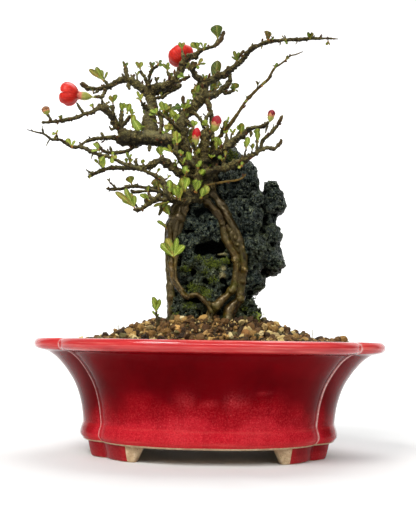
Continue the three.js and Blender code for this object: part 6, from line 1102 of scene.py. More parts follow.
        for (px, py, w, hgt, y, dy, k) in DIM_SPOTS:
            q = (V - unproj(px, py, y)) / np.array([w * 0.8, dy, hgt * 0.8]); dim = np.maximum(dim, k * smoothstep(1.25, 0.55, np.sqrt((q ** 2).sum(1)) + 0.5 * (fbm(V, 5, 2, 17) - 0.5)))
        put_attr(o.data, "dim", np.clip(dim, 0, 1))
        tone = np.maximum(tone, 0.28 * smoothstep(0.5, 0.7, fbm(V, 14, 2, 3)))
        put_attr(o.data, "tone", np.clip(tone, 0, 1)); put_attr(o.data, "top", smoothstep(-0.7, 0.9, N[:, 2]))
        out.append(o)
    # thin twigs, with knots, spurs and buds
    s = Soup(); tips = []
    def put(R, L, sides, seed, knots, gap, tone=0.0, ridge=0.55, rough=0.2, wander=0.18, blunt=0.5, bud=0.0, ochre=0.0):
        v, f4, f3 = tube(R, L, sides, seed, rough=rough, knots=knots, gap=gap, wander=wander, blunt=blunt)
        rv = np.clip(ridge + 0.6 * (fbm(v, 1.2, 2, seed) - 0.5) * 2, 0, 1)
        c = np.repeat(R[:, :3], sides, 0); up = np.r_[(v[:len(c), 2] - c[:, 2]), [0, 0]] / (np.r_[np.linalg.norm(v[:len(c)] - c, axis=1), [1, 1]] + 1e-6)
        s.add(v, f3, f4, ridge=rv, tone=np.full(len(v), tone), top=smoothstep(-0.8, 0.9, up), bud=bud, ochre=ochre, pit=np.zeros(len(v)), crest=smoothstep(0.6, 0.9, rv) * 0.6)
    # the thin ends of the limbs, which the fused wood is too coarse for
    for q, name in enumerate(thick_c):
        R, L = C[name]; k = np.where(R[:, 3] < 1.25)[0]
        if len(k) == 0 or k[0] > len(R) - 4: continue
        a = max(0, k[0] - 2); R = R.copy(); R[a:, 3] *= 1 + (0.28 if R[-1, 0] > 30 and 215 < R[-1, 2] < 268 else 0.12) * np.minimum(1, np.arange(len(R) - a) / 5.0); put(R[a:], L[a:] - L[a], 9, q + 500, 0.35, 4.0, ridge=0.5, rough=0.22, wander=0.14)
    for q, name in enumerate(thin):
        pts = dict(BRANCHES)[name]
        R, L = curve(pts, 0.8); R[:, 3] *= {"B10": 0.74, "B7": 1.0}.get(name, 1.34 if R[-1, 0] > 30 and 215 < R[-1, 2] < 268 else 1.15)
        straight = name in ("B7", "B10")
        put(R, L, 7, q + 200, 0.5 if not straight else 0.2, 3.3 if not straight else 8.0, tone=0.25 if not straight else 0.0, ridge=0.55, rough=0.24 if not straight else 0.1, ochre={"B10": 0.9, "B7": 0.45, "B10b": 0.4}.get(name, 0.0))
        tips.append((R[-1], R[-1, :3] - R[-3, :3]))
    # stout dark ends and buds that stand out in the picture: px, py, radius px
    for q, pts in enumerate(EXTRA_TWIGS):
        y = on_wood(C, *pts[0][:2]); P = [list(unproj(px, py, y - 0.5 * j)) + [r / 1.296] for j, (px, py, r) in enumerate(pts)]
        R, L = curve(P, 0.7); put(R, L, 8, q + 700, 0.35, 3.2, tone=0.1, ridge=0.45, rough=0.24, bud=0.25)
    # short spurs and bud stubs on every limb of the crown
    k = 0; stubs = []
    for name, pts in BRANCHES:
        if is_strand(name): continue
        R, L = C[name]; T, U, W = frames(R[:, :3]); mr = R[:, 3].mean()
        gap = 3.8 if mr > 1.2 else 5.4 if mr > 0.75 else 9.0
        if name == "B7": gap = 9.0
        if name == "B10": gap = 14.0
        x = 1.5 + gap * rnd(k, 3)
        while x < L[-1] - 0.8:
            i = min(int(np.searchsorted(L, x)), len(R) - 2)
            a = 6.283 * rnd(k, 11); side = U[i] * math.cos(a) + W[i] * math.sin(a)
            d = side * 0.9 + T[i] * (0.2 + 0.5 * rnd(k, 12)) + np.array([0, 0, 0.30]); d /= np.linalg.norm(d)
            big = rnd(k, 17) > 0.72
            r0 = min(1.0, 0.42 + 0.2 * R[i, 3]) * (0.75 + 0.5 * rnd(k, 13)); ln = (0.9 + 1.3 * rnd(k, 14) + (1.6 * rnd(k, 18) if big else 0)) * min(1.15, 0.55 + 0.4 * R[i, 3])
            b = R[i, :3] + d * (R[i, 3] * 0.72)
            t = np.linspace(0, 1, 6)[:, None]
            Q = np.c_[b + d * ln * t + (np.array([0, 0, 0.3]) + 0.3 * T[i]) * t ** 2 * ln, r0 * np.array([1.0, 0.84, 0.92, 1.12, 0.9, 0.4])]
            put(Q, np.linspace(0, ln, 6), 5, 900 + k, 0, 9, ridge=0.30 + 0.35 * rnd(k, 15), rough=0.25, wander=0.12, blunt=0.6, bud=0.75 * (rnd(k, 19) > 0.4))
            stubs.append((Q[-1, :3], d, name, k)); k += 1
            x += gap * (0.35 + 1.3 * rnd(k, 16))
    tw = s.build("twigs_and_spurs", bark_crown)
    out.append(tw)
    return out, C, stubs, tips
def on_wood(C, px, py):
    """depth of the limb that the picture shows at a pixel"""
    d = ray(px, py); best = (1e9, 0.0)
    for name, (R, L) in C.items():
        if is_strand(name) or name.startswith("K"): continue
        q = R[:, :3] - CAM; t = (q @ d) / (d @ d); e = np.linalg.norm(q - t[:, None] * d, axis=1) - 0.6 * R[:, 3]; i = int(np.argmin(e))
        if e[i] < best[0]: best = (e[i], R[i, 1] - 0.6 * R[i, 3])
    return best[1]
EXTRA_TWIGS = [[(214.5, 47, 1.5), (218.5, 43, 1.6), (221.5, 38.5, 1.9), (223, 34, 2.1), (224.2, 31, 1.3)], [(183.5, 106, 1.0), (183.2, 102, 1.5), (183, 98, 1.9), (182.8, 95.8, 1.0)], [(236, 58, 1.2), (240.5, 54.5, 1.3), (244, 50.5, 1.2)], [(277.5, 124, 1.6), (280.3, 120, 1.5), (281.8, 116, 1.2)], [(278, 146.5, 1.5), (280.6, 142.5, 1.5), (281.2, 139.5, 1.2)], [(81.5, 82.5, 1.2), (84, 84.2, 1.6), (87.5, 86.5, 1.4)]]
GREY_SPOTS = [(146.5, 119, 5, 10, 0), (149, 112, 4, 6, 0), (150, 127, 5, 5, -8), (150, 133, 14, 3.4, -20), (166, 136, 8, 2.6, -20)]
# shaded bark: (px, py, half width px, half height px, depth y, half depth mm, strength)
DIM_SPOTS = [(213, 168, 9, 17, -20, 16, 0.86), (204, 184, 8, 8, -26, 10, 0.6), (221, 178, 9, 9, -14, 16, 0.86), (125.5, 139, 7, 7.5, -23, 7, 0.8), (152, 145, 26, 3.4, -18, 9, 0.78), (226, 160, 8, 5, -8, 14, 0.5), (196, 150, 5, 8, -20, 9, 0.4)]
SLEEVES = {"strandA": 9.0, "strandB": 9.0, "rootL1": 6.0, "rootL2": 6.0, "rootL4": 4.0, "R1": 7.0, "R2": 6.0}
# more leaves crowding the fork of the trunk: (base px, base py, tip px, tip py, depth y or None for on the wood there, width mm, shade)
EXTRA = [(122.5, 113, 121.3, 103.5, None, 3.6, 0.3), (127, 113.5, 129.8, 104, None, 4.4, 0.35), (132.5, 127, 133.6, 115, None, 4.8, 0.12), (165.5, 129.2, 172.5, 128, None, 4.4, 0.5), (241, 134, 241.6, 123.5, None, 5.0, 0.3), (258, 142, 257.4, 131, None, 4.2, 0.45), (224, 129.5, 226.2, 120.5, None, 4.0, 0.85), (269, 40.5, 268.6, 32, None, 5.0, 0.8), (309, 38, 312.5, 33.2, None, 4.2, 0.75),
         (196.5, 192.5, 195.5, 179.5, -33, 5.6, 0.22), (195, 192, 199.5, 181, -34, 4.6, 0.3), (200.5, 198, 208, 186, -33, 6.0, 0.2), (201, 198, 203.5, 188, -34, 4.4, 0.35), (183.5, 190.5, 181.5, 178, -33, 5.6, 0.25), (185, 191, 188, 177.5, -34, 6.2, 0.18), (184, 190, 178.5, 182.5, -32, 4.0, 0.4),
         (171.5, 194, 169.5, 181, -30, 6.0, 0.2), (173, 195, 174, 184, -31, 4.6, 0.3), (178.5, 199.5, 175.5, 188, -31, 6.2, 0.16), (180, 200, 180.5, 187.5, -32, 5.0, 0.25), (158.5, 190, 156.5, 181.5, -27, 6.4, 0.85), (185.5, 176, 184.5, 166.5, -31, 4.6, 0.25), (201, 177, 205, 170, -30, 4.0, 0.25), (188.5, 163.5, 190, 152.5, -30, 3.8, 0.3), (216.5, 150, 216.5, 141.5, -22, 4.0, 0.2)]

# ------------------------------------------------------------------ leaves
TUFTS = [
  ['t01', [-88.2, 9.5, 290.8], [[-98.1, 6.9, 298.9, 3.2], [-93.9, 7.9, 300.5, 3.2], [-90.7, 11.3, 300.3, 2.8], [-85.1, 5.6, 296.3, 1.5]], 0.30],
  ['t02', [-76.5, -24.7, 263.9], [[-78.5, -27.3, 268.3, 2.6], [-74.4, -27.5, 269.1, 3.4], [-77.3, -24.1, 267.3, 2.3]], 0.50],
  ['t03', [-69.3, -20.8, 260.9], [[-70.8, -23.7, 264.0, 2.3], [-68.1, -24.0, 263.6, 2.3], [-64.0, -19.4, 264.1, 3.8]], 0.20],
  ['t04', [-62.3, -24.8, 254.4], [[-56.5, -27.1, 244.5, 5.0], [-62.5, -26.0, 259.3, 2.6], [-60.4, -23.8, 257.5, 2.0]], 0.35],
  ['t05', [-104.9, -35.3, 227.4], [[-108.6, -36.4, 232.8, 3.2], [-103.4, -36.7, 231.6, 1.8]], 0.20],
  ['t06', [-115.8, -40.9, 235.9], [[-118.6, -41.7, 235.9, 2.0], [-114.8, -42.7, 238.0, 1.4]], 0.20],
  ['t07', [-90.6, -31.7, 258.5], [[-92.5, -32.2, 260.6, 2.0], [-89.7, -36.0, 260.0, 1.5]], 0.40],
  ['t08', [-85.1, -32.8, 225.6], [[-88.4, -33.9, 230.6, 2.3], [-89.5, -36.3, 225.1, 2.3], [-87.0, -30.6, 231.7, 1.8]], 0.30],
  ['t09', [-80.6, -32.3, 222.0], [[-84.0, -33.8, 218.2, 2.6], [-81.8, -33.0, 213.9, 2.5], [-86.0, -30.1, 220.8, 2.3], [-83.3, -33.3, 215.3, 2.3]], 0.25],
  ['t10', [-75.4, -32.1, 221.7], [[-74.9, -35.0, 216.6, 2.6], [-72.1, -34.5, 220.5, 2.5], [-78.6, -29.5, 220.7, 2.3], [-74.6, -33.3, 224.5, 2.0]], 0.30],
  ['t11', [-70.9, 5.5, 301.4], [[-68.9, 4.6, 304.3, 1.7], [-72.3, 2.4, 304.4, 1.2]], 0.60],
  ['t12', [-58.4, 0.3, 298.5], [[-60.8, -2.7, 302.6, 2.8], [-57.3, -0.9, 303.2, 2.8], [-60.3, 2.1, 301.3, 2.0]], 0.30],
  ['t13', [-61.0, 3.1, 293.9], [[-59.3, 1.1, 296.5, 1.5], [-62.0, -0.0, 295.3, 1.4]], 0.40],
  ['t14', [-48.8, -8.0, 296.8], [[-49.5, -11.9, 299.9, 2.0], [-47.0, -8.8, 300.9, 1.8], [-51.5, -4.8, 299.3, 1.5]], 0.70],
  ['t15', [-43.7, -10.2, 298.9], [[-41.4, -11.3, 301.8, 1.8], [-41.2, -14.2, 297.4, 2.2], [-45.6, -6.9, 303.1, 1.8]], 0.60],
  ['t16', [-36.8, -0.9, 297.0], [[-39.9, -2.2, 301.9, 2.5], [-36.3, -4.2, 301.7, 2.2], [-34.9, 0.8, 300.5, 1.5]], 0.30],
  ['t17', [-25.4, -9.6, 311.9], [[-27.3, -11.6, 315.9, 2.2], [-24.2, -11.5, 316.0, 2.5]], 0.30],
  ['t18', [-13.0, -9.7, 311.6], [[-17.5, -12.0, 315.5, 3.5], [-13.7, -11.4, 316.2, 3.7], [-10.5, -8.5, 313.2, 2.0]], 0.40],
  ['t19', [-8.5, -11.2, 311.1], [[-10.1, -15.5, 314.9, 2.3], [-7.0, -14.0, 315.0, 2.0], [-5.0, -10.5, 313.4, 1.5]], 0.30],
  ['t20', [2.5, -11.5, 319.8], [[1.3, -15.4, 328.2, 7.2]], 0.75],
  ['t21', [1.2, 2.8, 284.6], [[1.6, -0.4, 303.9, 6.6]], 0.70],
  ['t22', [-23.2, -9.9, 289.4], [[-28.0, -10.8, 289.9, 2.8], [-25.7, -11.2, 292.2, 2.0]], 0.30],
  ['t23', [-13.1, -10.1, 299.0], [[-9.6, -11.2, 303.6, 2.3], [-12.5, -13.4, 295.7, 2.0], [-7.2, -8.8, 301.2, 1.8]], 0.40],
  ['t24', [-7.4, -5.0, 289.5], [[-8.6, -8.2, 292.1, 1.8], [-5.5, -6.6, 291.9, 1.5]], 0.30],
  ['t25', [-13.0, -4.3, 277.2], [[-14.4, -5.2, 283.3, 2.6], [-12.0, -7.8, 283.0, 2.5], [-16.3, -2.1, 279.8, 1.8]], 0.35],
  ['t26', [-56.4, -15.0, 268.5], [[-58.2, -17.5, 274.8, 2.3], [-55.3, -15.7, 273.8, 2.2], [-59.7, -12.6, 272.2, 1.8]], 0.20],
  ['t27', [-43.3, -14.5, 258.5], [[-48.1, -15.5, 261.4, 3.1], [-44.3, -15.6, 262.6, 2.6], [-49.3, -13.8, 258.7, 2.3], [-42.7, -15.5, 259.9, 2.3]], 0.15],
  ['t28', [-40.2, -16.3, 256.0], [[-38.6, -18.9, 259.1, 2.0], [-41.1, -17.0, 260.0, 1.8]], 0.15],
  ['t29', [-37.5, -26.5, 258.0], [[-39.7, -30.5, 263.1, 3.8], [-36.0, -28.1, 263.0, 3.1], [-40.6, -25.6, 260.5, 2.3], [-33.8, -27.2, 261.3, 2.3]], 0.25],
  ['t30', [-28.8, -22.6, 251.0], [[-31.9, -25.4, 258.4, 3.5], [-29.3, -24.2, 257.5, 2.3], [-26.7, -20.3, 257.4, 2.3]], 0.20],
  ['t31', [-24.3, -11.5, 265.0], [[-32.1, -12.5, 263.6, 3.1], [-29.0, -13.2, 265.5, 3.8], [-25.3, -9.3, 265.7, 2.8]], 0.85],
  ['t32', [-22.8, -11.8, 262.8], [[-24.4, -14.9, 266.3, 2.2], [-21.2, -16.1, 265.6, 2.3]], 0.30],
  ['t33', [-20.5, -11.9, 264.3], [[-19.4, -15.6, 269.3, 2.2], [-18.2, -14.0, 266.2, 1.5]], 0.10],
  ['t34', [-32.0, -21.7, 248.4], [[-36.3, -23.9, 245.9, 3.7], [-34.5, -22.8, 248.5, 3.1]], 0.35],
  ['t35', [-26.9, -35.6, 230.8], [[-28.4, -39.4, 238.6, 3.8], [-25.8, -37.9, 237.9, 3.1], [-30.0, -33.2, 235.8, 2.3], [-24.6, -39.7, 233.7, 1.8]], 0.10],
  ['t36', [17.7, -8.7, 302.7], [[15.4, -11.9, 309.3, 2.2], [18.4, -10.5, 309.0, 2.2], [20.8, -7.6, 309.6, 2.0], [14.5, -12.7, 305.1, 1.5]], 0.60],
  ['t37', [40.6, -21.6, 316.0], [[40.8, -22.7, 322.3, 5.1]], 0.60],
  ['t38', [16.4, 3.8, 283.5], [[16.9, -0.5, 286.9, 5.2], [13.6, 2.9, 285.7, 2.0], [19.3, 6.4, 283.5, 1.8]], 0.50],
  ['t39', [35.9, -35.0, 276.0], [[37.6, -38.5, 278.5, 1.7]], 0.50],
  ['t40', [45.2, -39.3, 288.7], [[46.5, -41.8, 291.3, 2.0], [43.5, -42.8, 290.2, 1.2]], 0.50],
  ['t41', [53.2, -41.1, 294.7], [[54.0, -44.6, 295.9, 1.4]], 0.60],
  ['t42', [72.5, -28.2, 315.4], [[70.8, -32.4, 317.9, 2.8], [74.0, -30.8, 318.5, 2.2]], 0.60],
  ['t43', [86.0, -29.6, 312.9], [[86.6, -33.7, 309.5, 1.4]], 0.60],
  ['t44', [54.0, -25.9, 314.7], [[51.8, -29.4, 316.7, 1.5], [55.0, -27.8, 311.4, 1.5]], 0.60],
  ['t45', [-62.0, -11.6, 204.1], [[-63.7, -12.5, 209.6, 5.1]], 0.70],
  ['t46', [-56.7, -44.8, 181.4], [[-68.8, -46.4, 191.9, 3.2], [-63.8, -45.3, 194.0, 3.1], [-59.6, -42.7, 192.3, 3.2], [-64.4, -45.6, 186.6, 3.1], [-56.6, -47.9, 188.6, 2.8]], 0.45],
  ['t47', [-40.1, -29.0, 197.4], [[-42.6, -31.5, 204.2, 5.8], [-38.8, -32.0, 203.4, 3.1]], 0.85],
  ['t48', [-46.4, -41.8, 187.1], [[-51.8, -43.7, 191.2, 2.9], [-48.8, -44.8, 191.4, 2.0]], 0.35],
  ['t49', [-39.2, -29.2, 222.9], [[-40.1, -32.0, 228.6, 5.1], [-38.2, -30.3, 224.9, 1.5]], 0.45],
  ['t50', [-30.4, -37.9, 224.2], [[-36.2, -41.9, 226.3, 2.2], [-32.8, -42.3, 227.4, 2.0]], 0.20],
  ['t51', [-63.1, -26.8, 220.7], [[-64.3, -30.9, 224.4, 2.2], [-61.5, -28.3, 223.8, 1.8]], 0.40],
  ['t52', [-52.3, -27.2, 216.7], [[-52.6, -30.8, 218.9, 2.8]], 0.50],
  ['t53', [-86.3, -20.8, 217.7], [[-88.5, -25.1, 219.9, 2.2], [-85.2, -24.3, 220.9, 1.8]], 0.40],
  ['t54', [-31.5, -34.8, 194.2], [[-32.3, -35.9, 202.8, 3.8], [-34.4, -37.4, 198.8, 2.3], [-28.7, -32.8, 201.2, 2.6]], 0.20],
  ['t55', [-26.7, -32.8, 191.8], [[-26.3, -35.3, 199.3, 3.4], [-28.5, -35.8, 196.9, 2.6], [-23.4, -30.3, 197.2, 2.5]], 0.15],
  ['t56', [-20.3, -26.3, 198.2], [[-23.2, -29.4, 204.9, 2.9], [-21.0, -30.5, 207.0, 3.5], [-18.8, -25.3, 204.9, 3.4], [-24.6, -29.3, 200.3, 2.3]], 0.10],
  ['t57', [-13.7, -26.8, 199.0], [[-12.8, -28.5, 205.2, 4.5], [-14.5, -29.5, 199.7, 2.3]], 0.15],
  ['t58', [-9.4, -25.0, 193.6], [[-6.0, -28.7, 201.1, 4.0], [-7.8, -27.8, 198.6, 3.5], [-4.0, -23.7, 197.8, 3.1]], 0.30],
  ['t59', [-19.2, -34.3, 209.9], [[-20.6, -35.2, 214.0, 3.1], [-18.0, -35.4, 211.4, 2.3], [-22.5, -32.1, 212.0, 2.0]], 0.15],
  ['t60', [-17.1, -32.8, 218.2], [[-18.6, -36.4, 224.0, 3.4], [-19.7, -34.1, 221.4, 2.3], [-16.4, -31.8, 222.7, 2.0]], 0.10],
  ['t61', [-9.6, -31.4, 208.5], [[-6.9, -35.2, 211.2, 3.2], [-9.5, -33.2, 211.2, 2.5]], 0.10],
  ['t62', [-10.9, -30.6, 213.9], [[-9.6, -34.8, 217.7, 2.9], [-11.8, -32.5, 216.2, 2.0]], 0.10],
  ['t63', [-31.5, -22.6, 178.6], [[-38.4, -24.4, 186.1, 3.5], [-36.1, -26.1, 187.8, 3.2], [-33.8, -19.5, 187.3, 3.1]], 0.15],
  ['t64', [-32.8, -33.4, 187.5], [[-42.2, -36.6, 184.6, 2.2], [-38.6, -35.8, 185.9, 1.8]], 0.50],
  ['t65', [-33.9, -23.0, 169.0], [[-39.7, -24.9, 174.3, 2.6], [-36.3, -24.7, 172.1, 2.0]], 0.40],
  ['t66', [-28.2, -26.9, 147.2], [[-37.2, -30.7, 157.1, 4.0], [-33.2, -29.9, 161.4, 3.8], [-30.1, -23.7, 160.2, 3.2], [-25.0, -31.3, 163.6, 2.6], [-20.8, -31.3, 155.8, 4.2], [-34.8, -24.0, 152.6, 3.1]], 0.25],
  ['t67', [5.4, -23.1, 231.8], [[2.1, -24.8, 238.6, 4.2], [4.8, -26.9, 236.7, 2.6]], 0.35],
  ['t68', [24.6, -33.5, 229.0], [[25.8, -37.6, 235.3, 3.4], [23.7, -34.6, 233.3, 2.0]], 0.30],
  ['t69', [32.6, -33.9, 239.7], [[32.8, -36.8, 242.8, 3.4], [30.6, -36.4, 241.3, 1.5]], 0.50],
  ['t70', [20.5, -29.0, 242.9], [[18.4, -32.2, 245.6, 2.6], [21.8, -33.2, 246.9, 2.8], [23.5, -26.5, 245.5, 2.0]], 0.20],
  ['t71', [11.1, -22.9, 251.5], [[11.4, -23.6, 254.9, 1.4]], 0.40],
  ['t72', [14.9, -27.9, 240.8], [[12.9, -31.0, 243.5, 1.7], [15.9, -31.9, 243.3, 1.7]], 0.10],
  ['t73', [21.3, -36.9, 214.7], [[21.5, -38.0, 217.5, 2.0], [19.0, -37.9, 213.4, 2.0]], 0.10],
  ['t74', [50.8, -34.8, 250.4], [[51.4, -35.7, 253.6, 1.2]], 0.30],
  ['t75', [-40.3, -20.4, 106.4], [[-42.4, -22.8, 116.2, 3.4], [-38.3, -24.5, 114.3, 2.8], [-40.2, -19.4, 113.0, 2.5]], 0.25],
  ['t76', [-22.2, -33.1, 216.3], [[-21.1, -36.8, 219.7, 2.6], [-24.1, -34.7, 219.3, 1.8]], 0.20],
  ['t77', [-23.8, -35.5, 222.6], [[-24.5, -37.5, 225.5, 2.6], [-22.3, -36.9, 224.6, 1.8]], 0.30],
  ['t78', [-6.1, -22.4, 248.2], [[-6.4, -24.9, 251.6, 3.5], [-7.9, -26.0, 248.9, 1.8], [-4.5, -20.5, 249.9, 1.8]], 0.10],
  ['t79', [-14.7, -20.7, 247.4], [[-15.9, -23.3, 251.4, 2.5], [-13.2, -21.3, 251.5, 2.6], [-15.2, -17.9, 250.4, 1.5]], 0.05],
  ['t80', [9.9, -25.2, 241.2], [[8.4, -29.5, 242.2, 1.5], [10.7, -26.8, 243.7, 1.4]], 0.20],
  ['t81', [-0.9, -12.7, 241.7], [[-2.8, -15.4, 243.4, 1.5], [-0.1, -13.5, 238.4, 1.5]], 0.20],
  ['t82', [-35.2, -19.9, 241.1], [[-38.9, -22.4, 243.1, 2.0], [-37.1, -20.8, 242.4, 1.5]], 0.15],
  ['t83', [24.8, -30.3, 265.7], [[24.9, -34.3, 264.6, 1.2]], 0.40],
  ['t84', [-12.1, -29.0, 224.7], [[-10.5, -32.7, 227.5, 2.3], [-12.7, -33.0, 226.3, 1.5]], 0.00],
  ['t85', [6.8, -32.5, 219.9], [[4.5, -33.2, 222.7, 2.6], [8.2, -35.0, 220.9, 1.8]], 0.60],
  ['t86', [-3.7, -32.4, 213.0], [[-3.5, -33.4, 213.5, 1.8]], 0.30],
  ['t87', [-1.0, -20.9, 223.6], [[-3.0, -23.6, 225.4, 2.0], [0.8, -24.1, 224.9, 2.0]], 0.15],
  ['t88', [-52.1, -14.3, 248.1], [[-55.4, -16.5, 248.5, 2.0], [-50.8, -17.0, 248.9, 1.7]], 0.60],
  ['t89', [-27.9, -27.2, 216.3], [[-26.4, -29.7, 217.6, 2.3], [-28.6, -30.9, 215.9, 1.5]], 0.60],
]

def blade(base, tip, width, face, seed, curl=0.16, fold=0.26, nl=10, nw=5):
    """one spoon-shaped leaf with a folded midrib, a thin closed skin"""
    base, tip = np.asarray(base, float), np.asarray(tip, float)
    d = tip - base; L = np.linalg.norm(d); d /= L
    n = np.asarray(face, float); n = n - d * (n @ d); n /= np.linalg.norm(n) + 1e-9; w = np.cross(d, n)
    t = 1 - (1 - np.linspace(0, 1, nl)) ** 1.45; f = np.linspace(-1, 1, nw)
    prof = np.interp(t, [0, 0.1, 0.22, 0.38, 0.55, 0.7, 0.82, 0.91, 0.97, 1.0], [0.12, 0.15, 0.32, 0.66, 0.92, 1.0, 0.93, 0.74, 0.46, 0.14]) * width * 0.5
    T, Fm = np.meshgrid(t, f, indexing="ij")
    wave = 0.05 * width * np.sin(9 * T + seed) * np.abs(Fm)
    tooth = 1 + 0.05 * np.cos(T * 40 + seed) * (np.abs(Fm) > 0.9)
    X = base + d * (L * T)[..., None] + w * (prof[:, None] * Fm * tooth)[..., None] + n * ((fold * np.abs(Fm) ** 1.3 * prof[:, None]) - curl * L * T ** 2.2 * (0.6 + 0.8 * rnd(seed, 4)) + wave)[..., None]
    thick = 0.10
    top = X + n * thick; bot = X - n * thick
    V = np.concatenate([top.reshape(-1, 3), bot.reshape(-1, 3)]); m = nl * nw; F = []
    for a in range(nl - 1):
        for b in range(nw - 1):
            p, q, r, s_ = a * nw + b, a * nw + b + 1, (a + 1) * nw + b + 1, (a + 1) * nw + b
            F.append([p, q, r, s_]); F.append([m + s_, m + r, m + q, m + p])
    edge = [a * nw for a in range(nl)] + [(nl - 1) * nw + b for b in range(1, nw)] + [a * nw + nw - 1 for a in range(nl - 2, -1, -1)] + [b for b in range(nw - 2, 0, -1)]
    for i in range(len(edge)):
        p, q = edge[i], edge[(i + 1) % len(edge)]; F.append([p, m + p, m + q, q])
    rim = np.concatenate([np.maximum(np.abs(Fm), smoothstep(0.8, 1, T)).ravel()] * 2)
    al = np.concatenate([T.ravel()] * 2); rb = np.concatenate([np.exp(-(Fm.ravel() / 0.22) ** 2)] * 2); ve = np.concatenate([(T * 0.9 - np.abs(Fm) * 0.28).ravel()] * 2)
    return V, np.array(F), al, rb, ve, rim

def bud_scale(s, base, d, r, ln, seed, shade, red):
    t = np.linspace(0, 1, 6)[:, None]; d = np.asarray(d, float); d = d / (np.linalg.norm(d) + 1e-9)
    Q = np.c_[base + d * ln * t, r * np.array([0.55, 0.95, 1.0, 0.82, 0.5, 0.16])]
    v, f4, f3 = tube(Q, np.linspace(0, ln, 6), 6, seed, rough=0.12, wander=0.05, blunt=0.4)
    s.add(v, f3, f4, shade=shade, along=0.3, rib=0.0, vein=0.0, red=red, edge=0.0)

def build_leaves(mat, stubs, C):
    groups = {"leaves_left": Soup(), "leaves_crown": Soup(), "leaves_low": Soup()}
    def group(p):
        return groups["leaves_left" if p[0] < -45 else "leaves_low" if p[2] < 225 else "leaves_crown"]
    def leaf(s, b, tp, wd, face, seed, shade, red=0.0, curl=0.16, nl=10, nw=5):
        v, f, al, rb, ve, rim = blade(b, tp, wd, face, seed, curl, nl=nl, nw=nw)
        s.add(v, None, f, shade=np.clip(shade + 0.16 * (rnd(seed, 8) - 0.5) + 0.26 * float(smoothstep(240, 285, b[2])), 0, 1), along=al, rib=rb, vein=ve, red=red, edge=rim)
    for q, (name, base, tips, shade) in enumerate(TUFTS):
        b = np.array(base); s = group(b)
        mean = np.mean([t[:3] for t in tips], axis=0) - b
        bud_scale(s, b - mean / np.linalg.norm(mean) * 0.8, mean, 0.8, 2.4, 3000 + q, 0.5, 0.8)
        for i, (x, y, z, wd) in enumerate(tips):
            seed = q * 13 + i; tp = np.array([x, y, z])
            face = np.array([1.1 * (rnd(seed, 1) - 0.5), -1.0, 0.15 + 0.6 * rnd(seed, 2)])
            if i % 2: face[0] *= -1
            tp = b + (tp - b) * (1.12 if name != "t66" else 0.98 if i != 3 else 0.84)
            leaf(s, b + (tp - b) * 0.03, tp, wd * (1.34 if name != "t66" else 1.62), face, seed, shade, red=0.35 * (rnd(seed, 3) > 0.8), nl=9)
        # one or two smaller leaves turned away, so the tuft is full from behind
        L = np.linalg.norm(mean)
        for j in range(2 if len(tips) > 1 else 1):
            seed = 5000 + q * 7 + j; a = 6.283 * rnd(seed, 1)
            out = np.array([math.cos(a) * 0.55, 0.35 + 0.5 * abs(math.sin(a)), 0.0]); dd = mean / L + out; dd /= np.linalg.norm(dd)
            leaf(s, b, b + dd * L * (0.5 + 0.3 * rnd(seed, 2)), max(1.6, min(3.6, 0.42 * L)), -out + np.array([0, 0, 0.3]), seed, shade * 0.8, nl=7, nw=5)
    for q, (bx, by, tx, ty, y, wd, shade) in enumerate(EXTRA):
        if y is None: y = on_wood(C, bx, by)
        b, tp = unproj(bx, by, y), unproj(tx, ty, y - 3.0 - 2.5 * rnd(q, 91)); s = group(b)
        leaf(s, b, tp, wd, (0.9 * (rnd(q, 92) - 0.5), -1.0, 0.25 + 0.4 * rnd(q, 93)), 8800 + q, shade, red=0.3 * (rnd(q, 94) > 0.6), curl=0.10)
        bud_scale(s, b - (tp - b) * 0.06, tp - b, 0.9, 2.2, 8900 + q, 0.5, 0.8)
    # opening buds on the spurs: pairs of tiny leaves, more of them on the far side, which the tufts above don't cover
    for (p, d, name, k) in stubs:
        far = name.startswith("K"); pick = rnd(k, 31)
        if pick > (0.75 if far else 0.13):
            continue
        s = group(p); shade = 0.3 + 0.5 * rnd(k, 33); L = (3.0 + 2.2 * rnd(k, 34)) * (1.6 if far and pick < 0.45 else 1.0)
        up = d * 0.5 + np.array([0, 0, 0.8]); up /= np.linalg.norm(up)
        bud_scale(s, p, up, 0.62, 1.7, 4000 + k, 0.4, 0.9)
        for j in range(2 if not far else 3):
            a = 6.283 * (rnd(k, 35) + j / 3.0); out = np.array([math.cos(a), math.sin(a), 0.1]) * 0.42
            dd = up + out; dd /= np.linalg.norm(dd)
            leaf(s, p, p + dd * L, L * 0.6, -out + 0.3 * up, 7000 + k * 3 + j, shade, red=0.3 * (rnd(k, 36) > .6), curl=0.1, nl=6, nw=3)
    # small leaves spaced along the far limbs
    for name, (R, L) in C.items():
        if not name.startswith("K"): continue
        x = 8.0; k = 0
        while x < L[-1]:
            i = min(int(np.searchsorted(L, x)), len(R) - 2); a = 6.283 * rnd(len(name) * 7 + k, 41)
            up = np.array([0.6 * math.cos(a), 0.6 * math.sin(a), 0.9]); up /= np.linalg.norm(up); p = R[i, :3] + up * R[i, 3]; s = group(p)
            for j in range(3):
                aa = a + 2.1 * j; out = np.array([math.cos(aa), math.sin(aa), 0]) * 0.5; dd = up + out; dd /= np.linalg.norm(dd); ln = 5.5 + 4.5 * rnd(k, 42 + j)
                leaf(s, p, p + dd * ln, ln * 0.5, -out + 0.3 * up, 9000 + k * 5 + j + len(name) * 31 + int(x), 0.3 + 0.4 * rnd(k, 45), nl=7, nw=5)
            x += 9 + 8 * rnd(k, 46); k += 1
    res = {}
    for n, s in groups.items(): res[n] = s.build(n, mat)
    return res

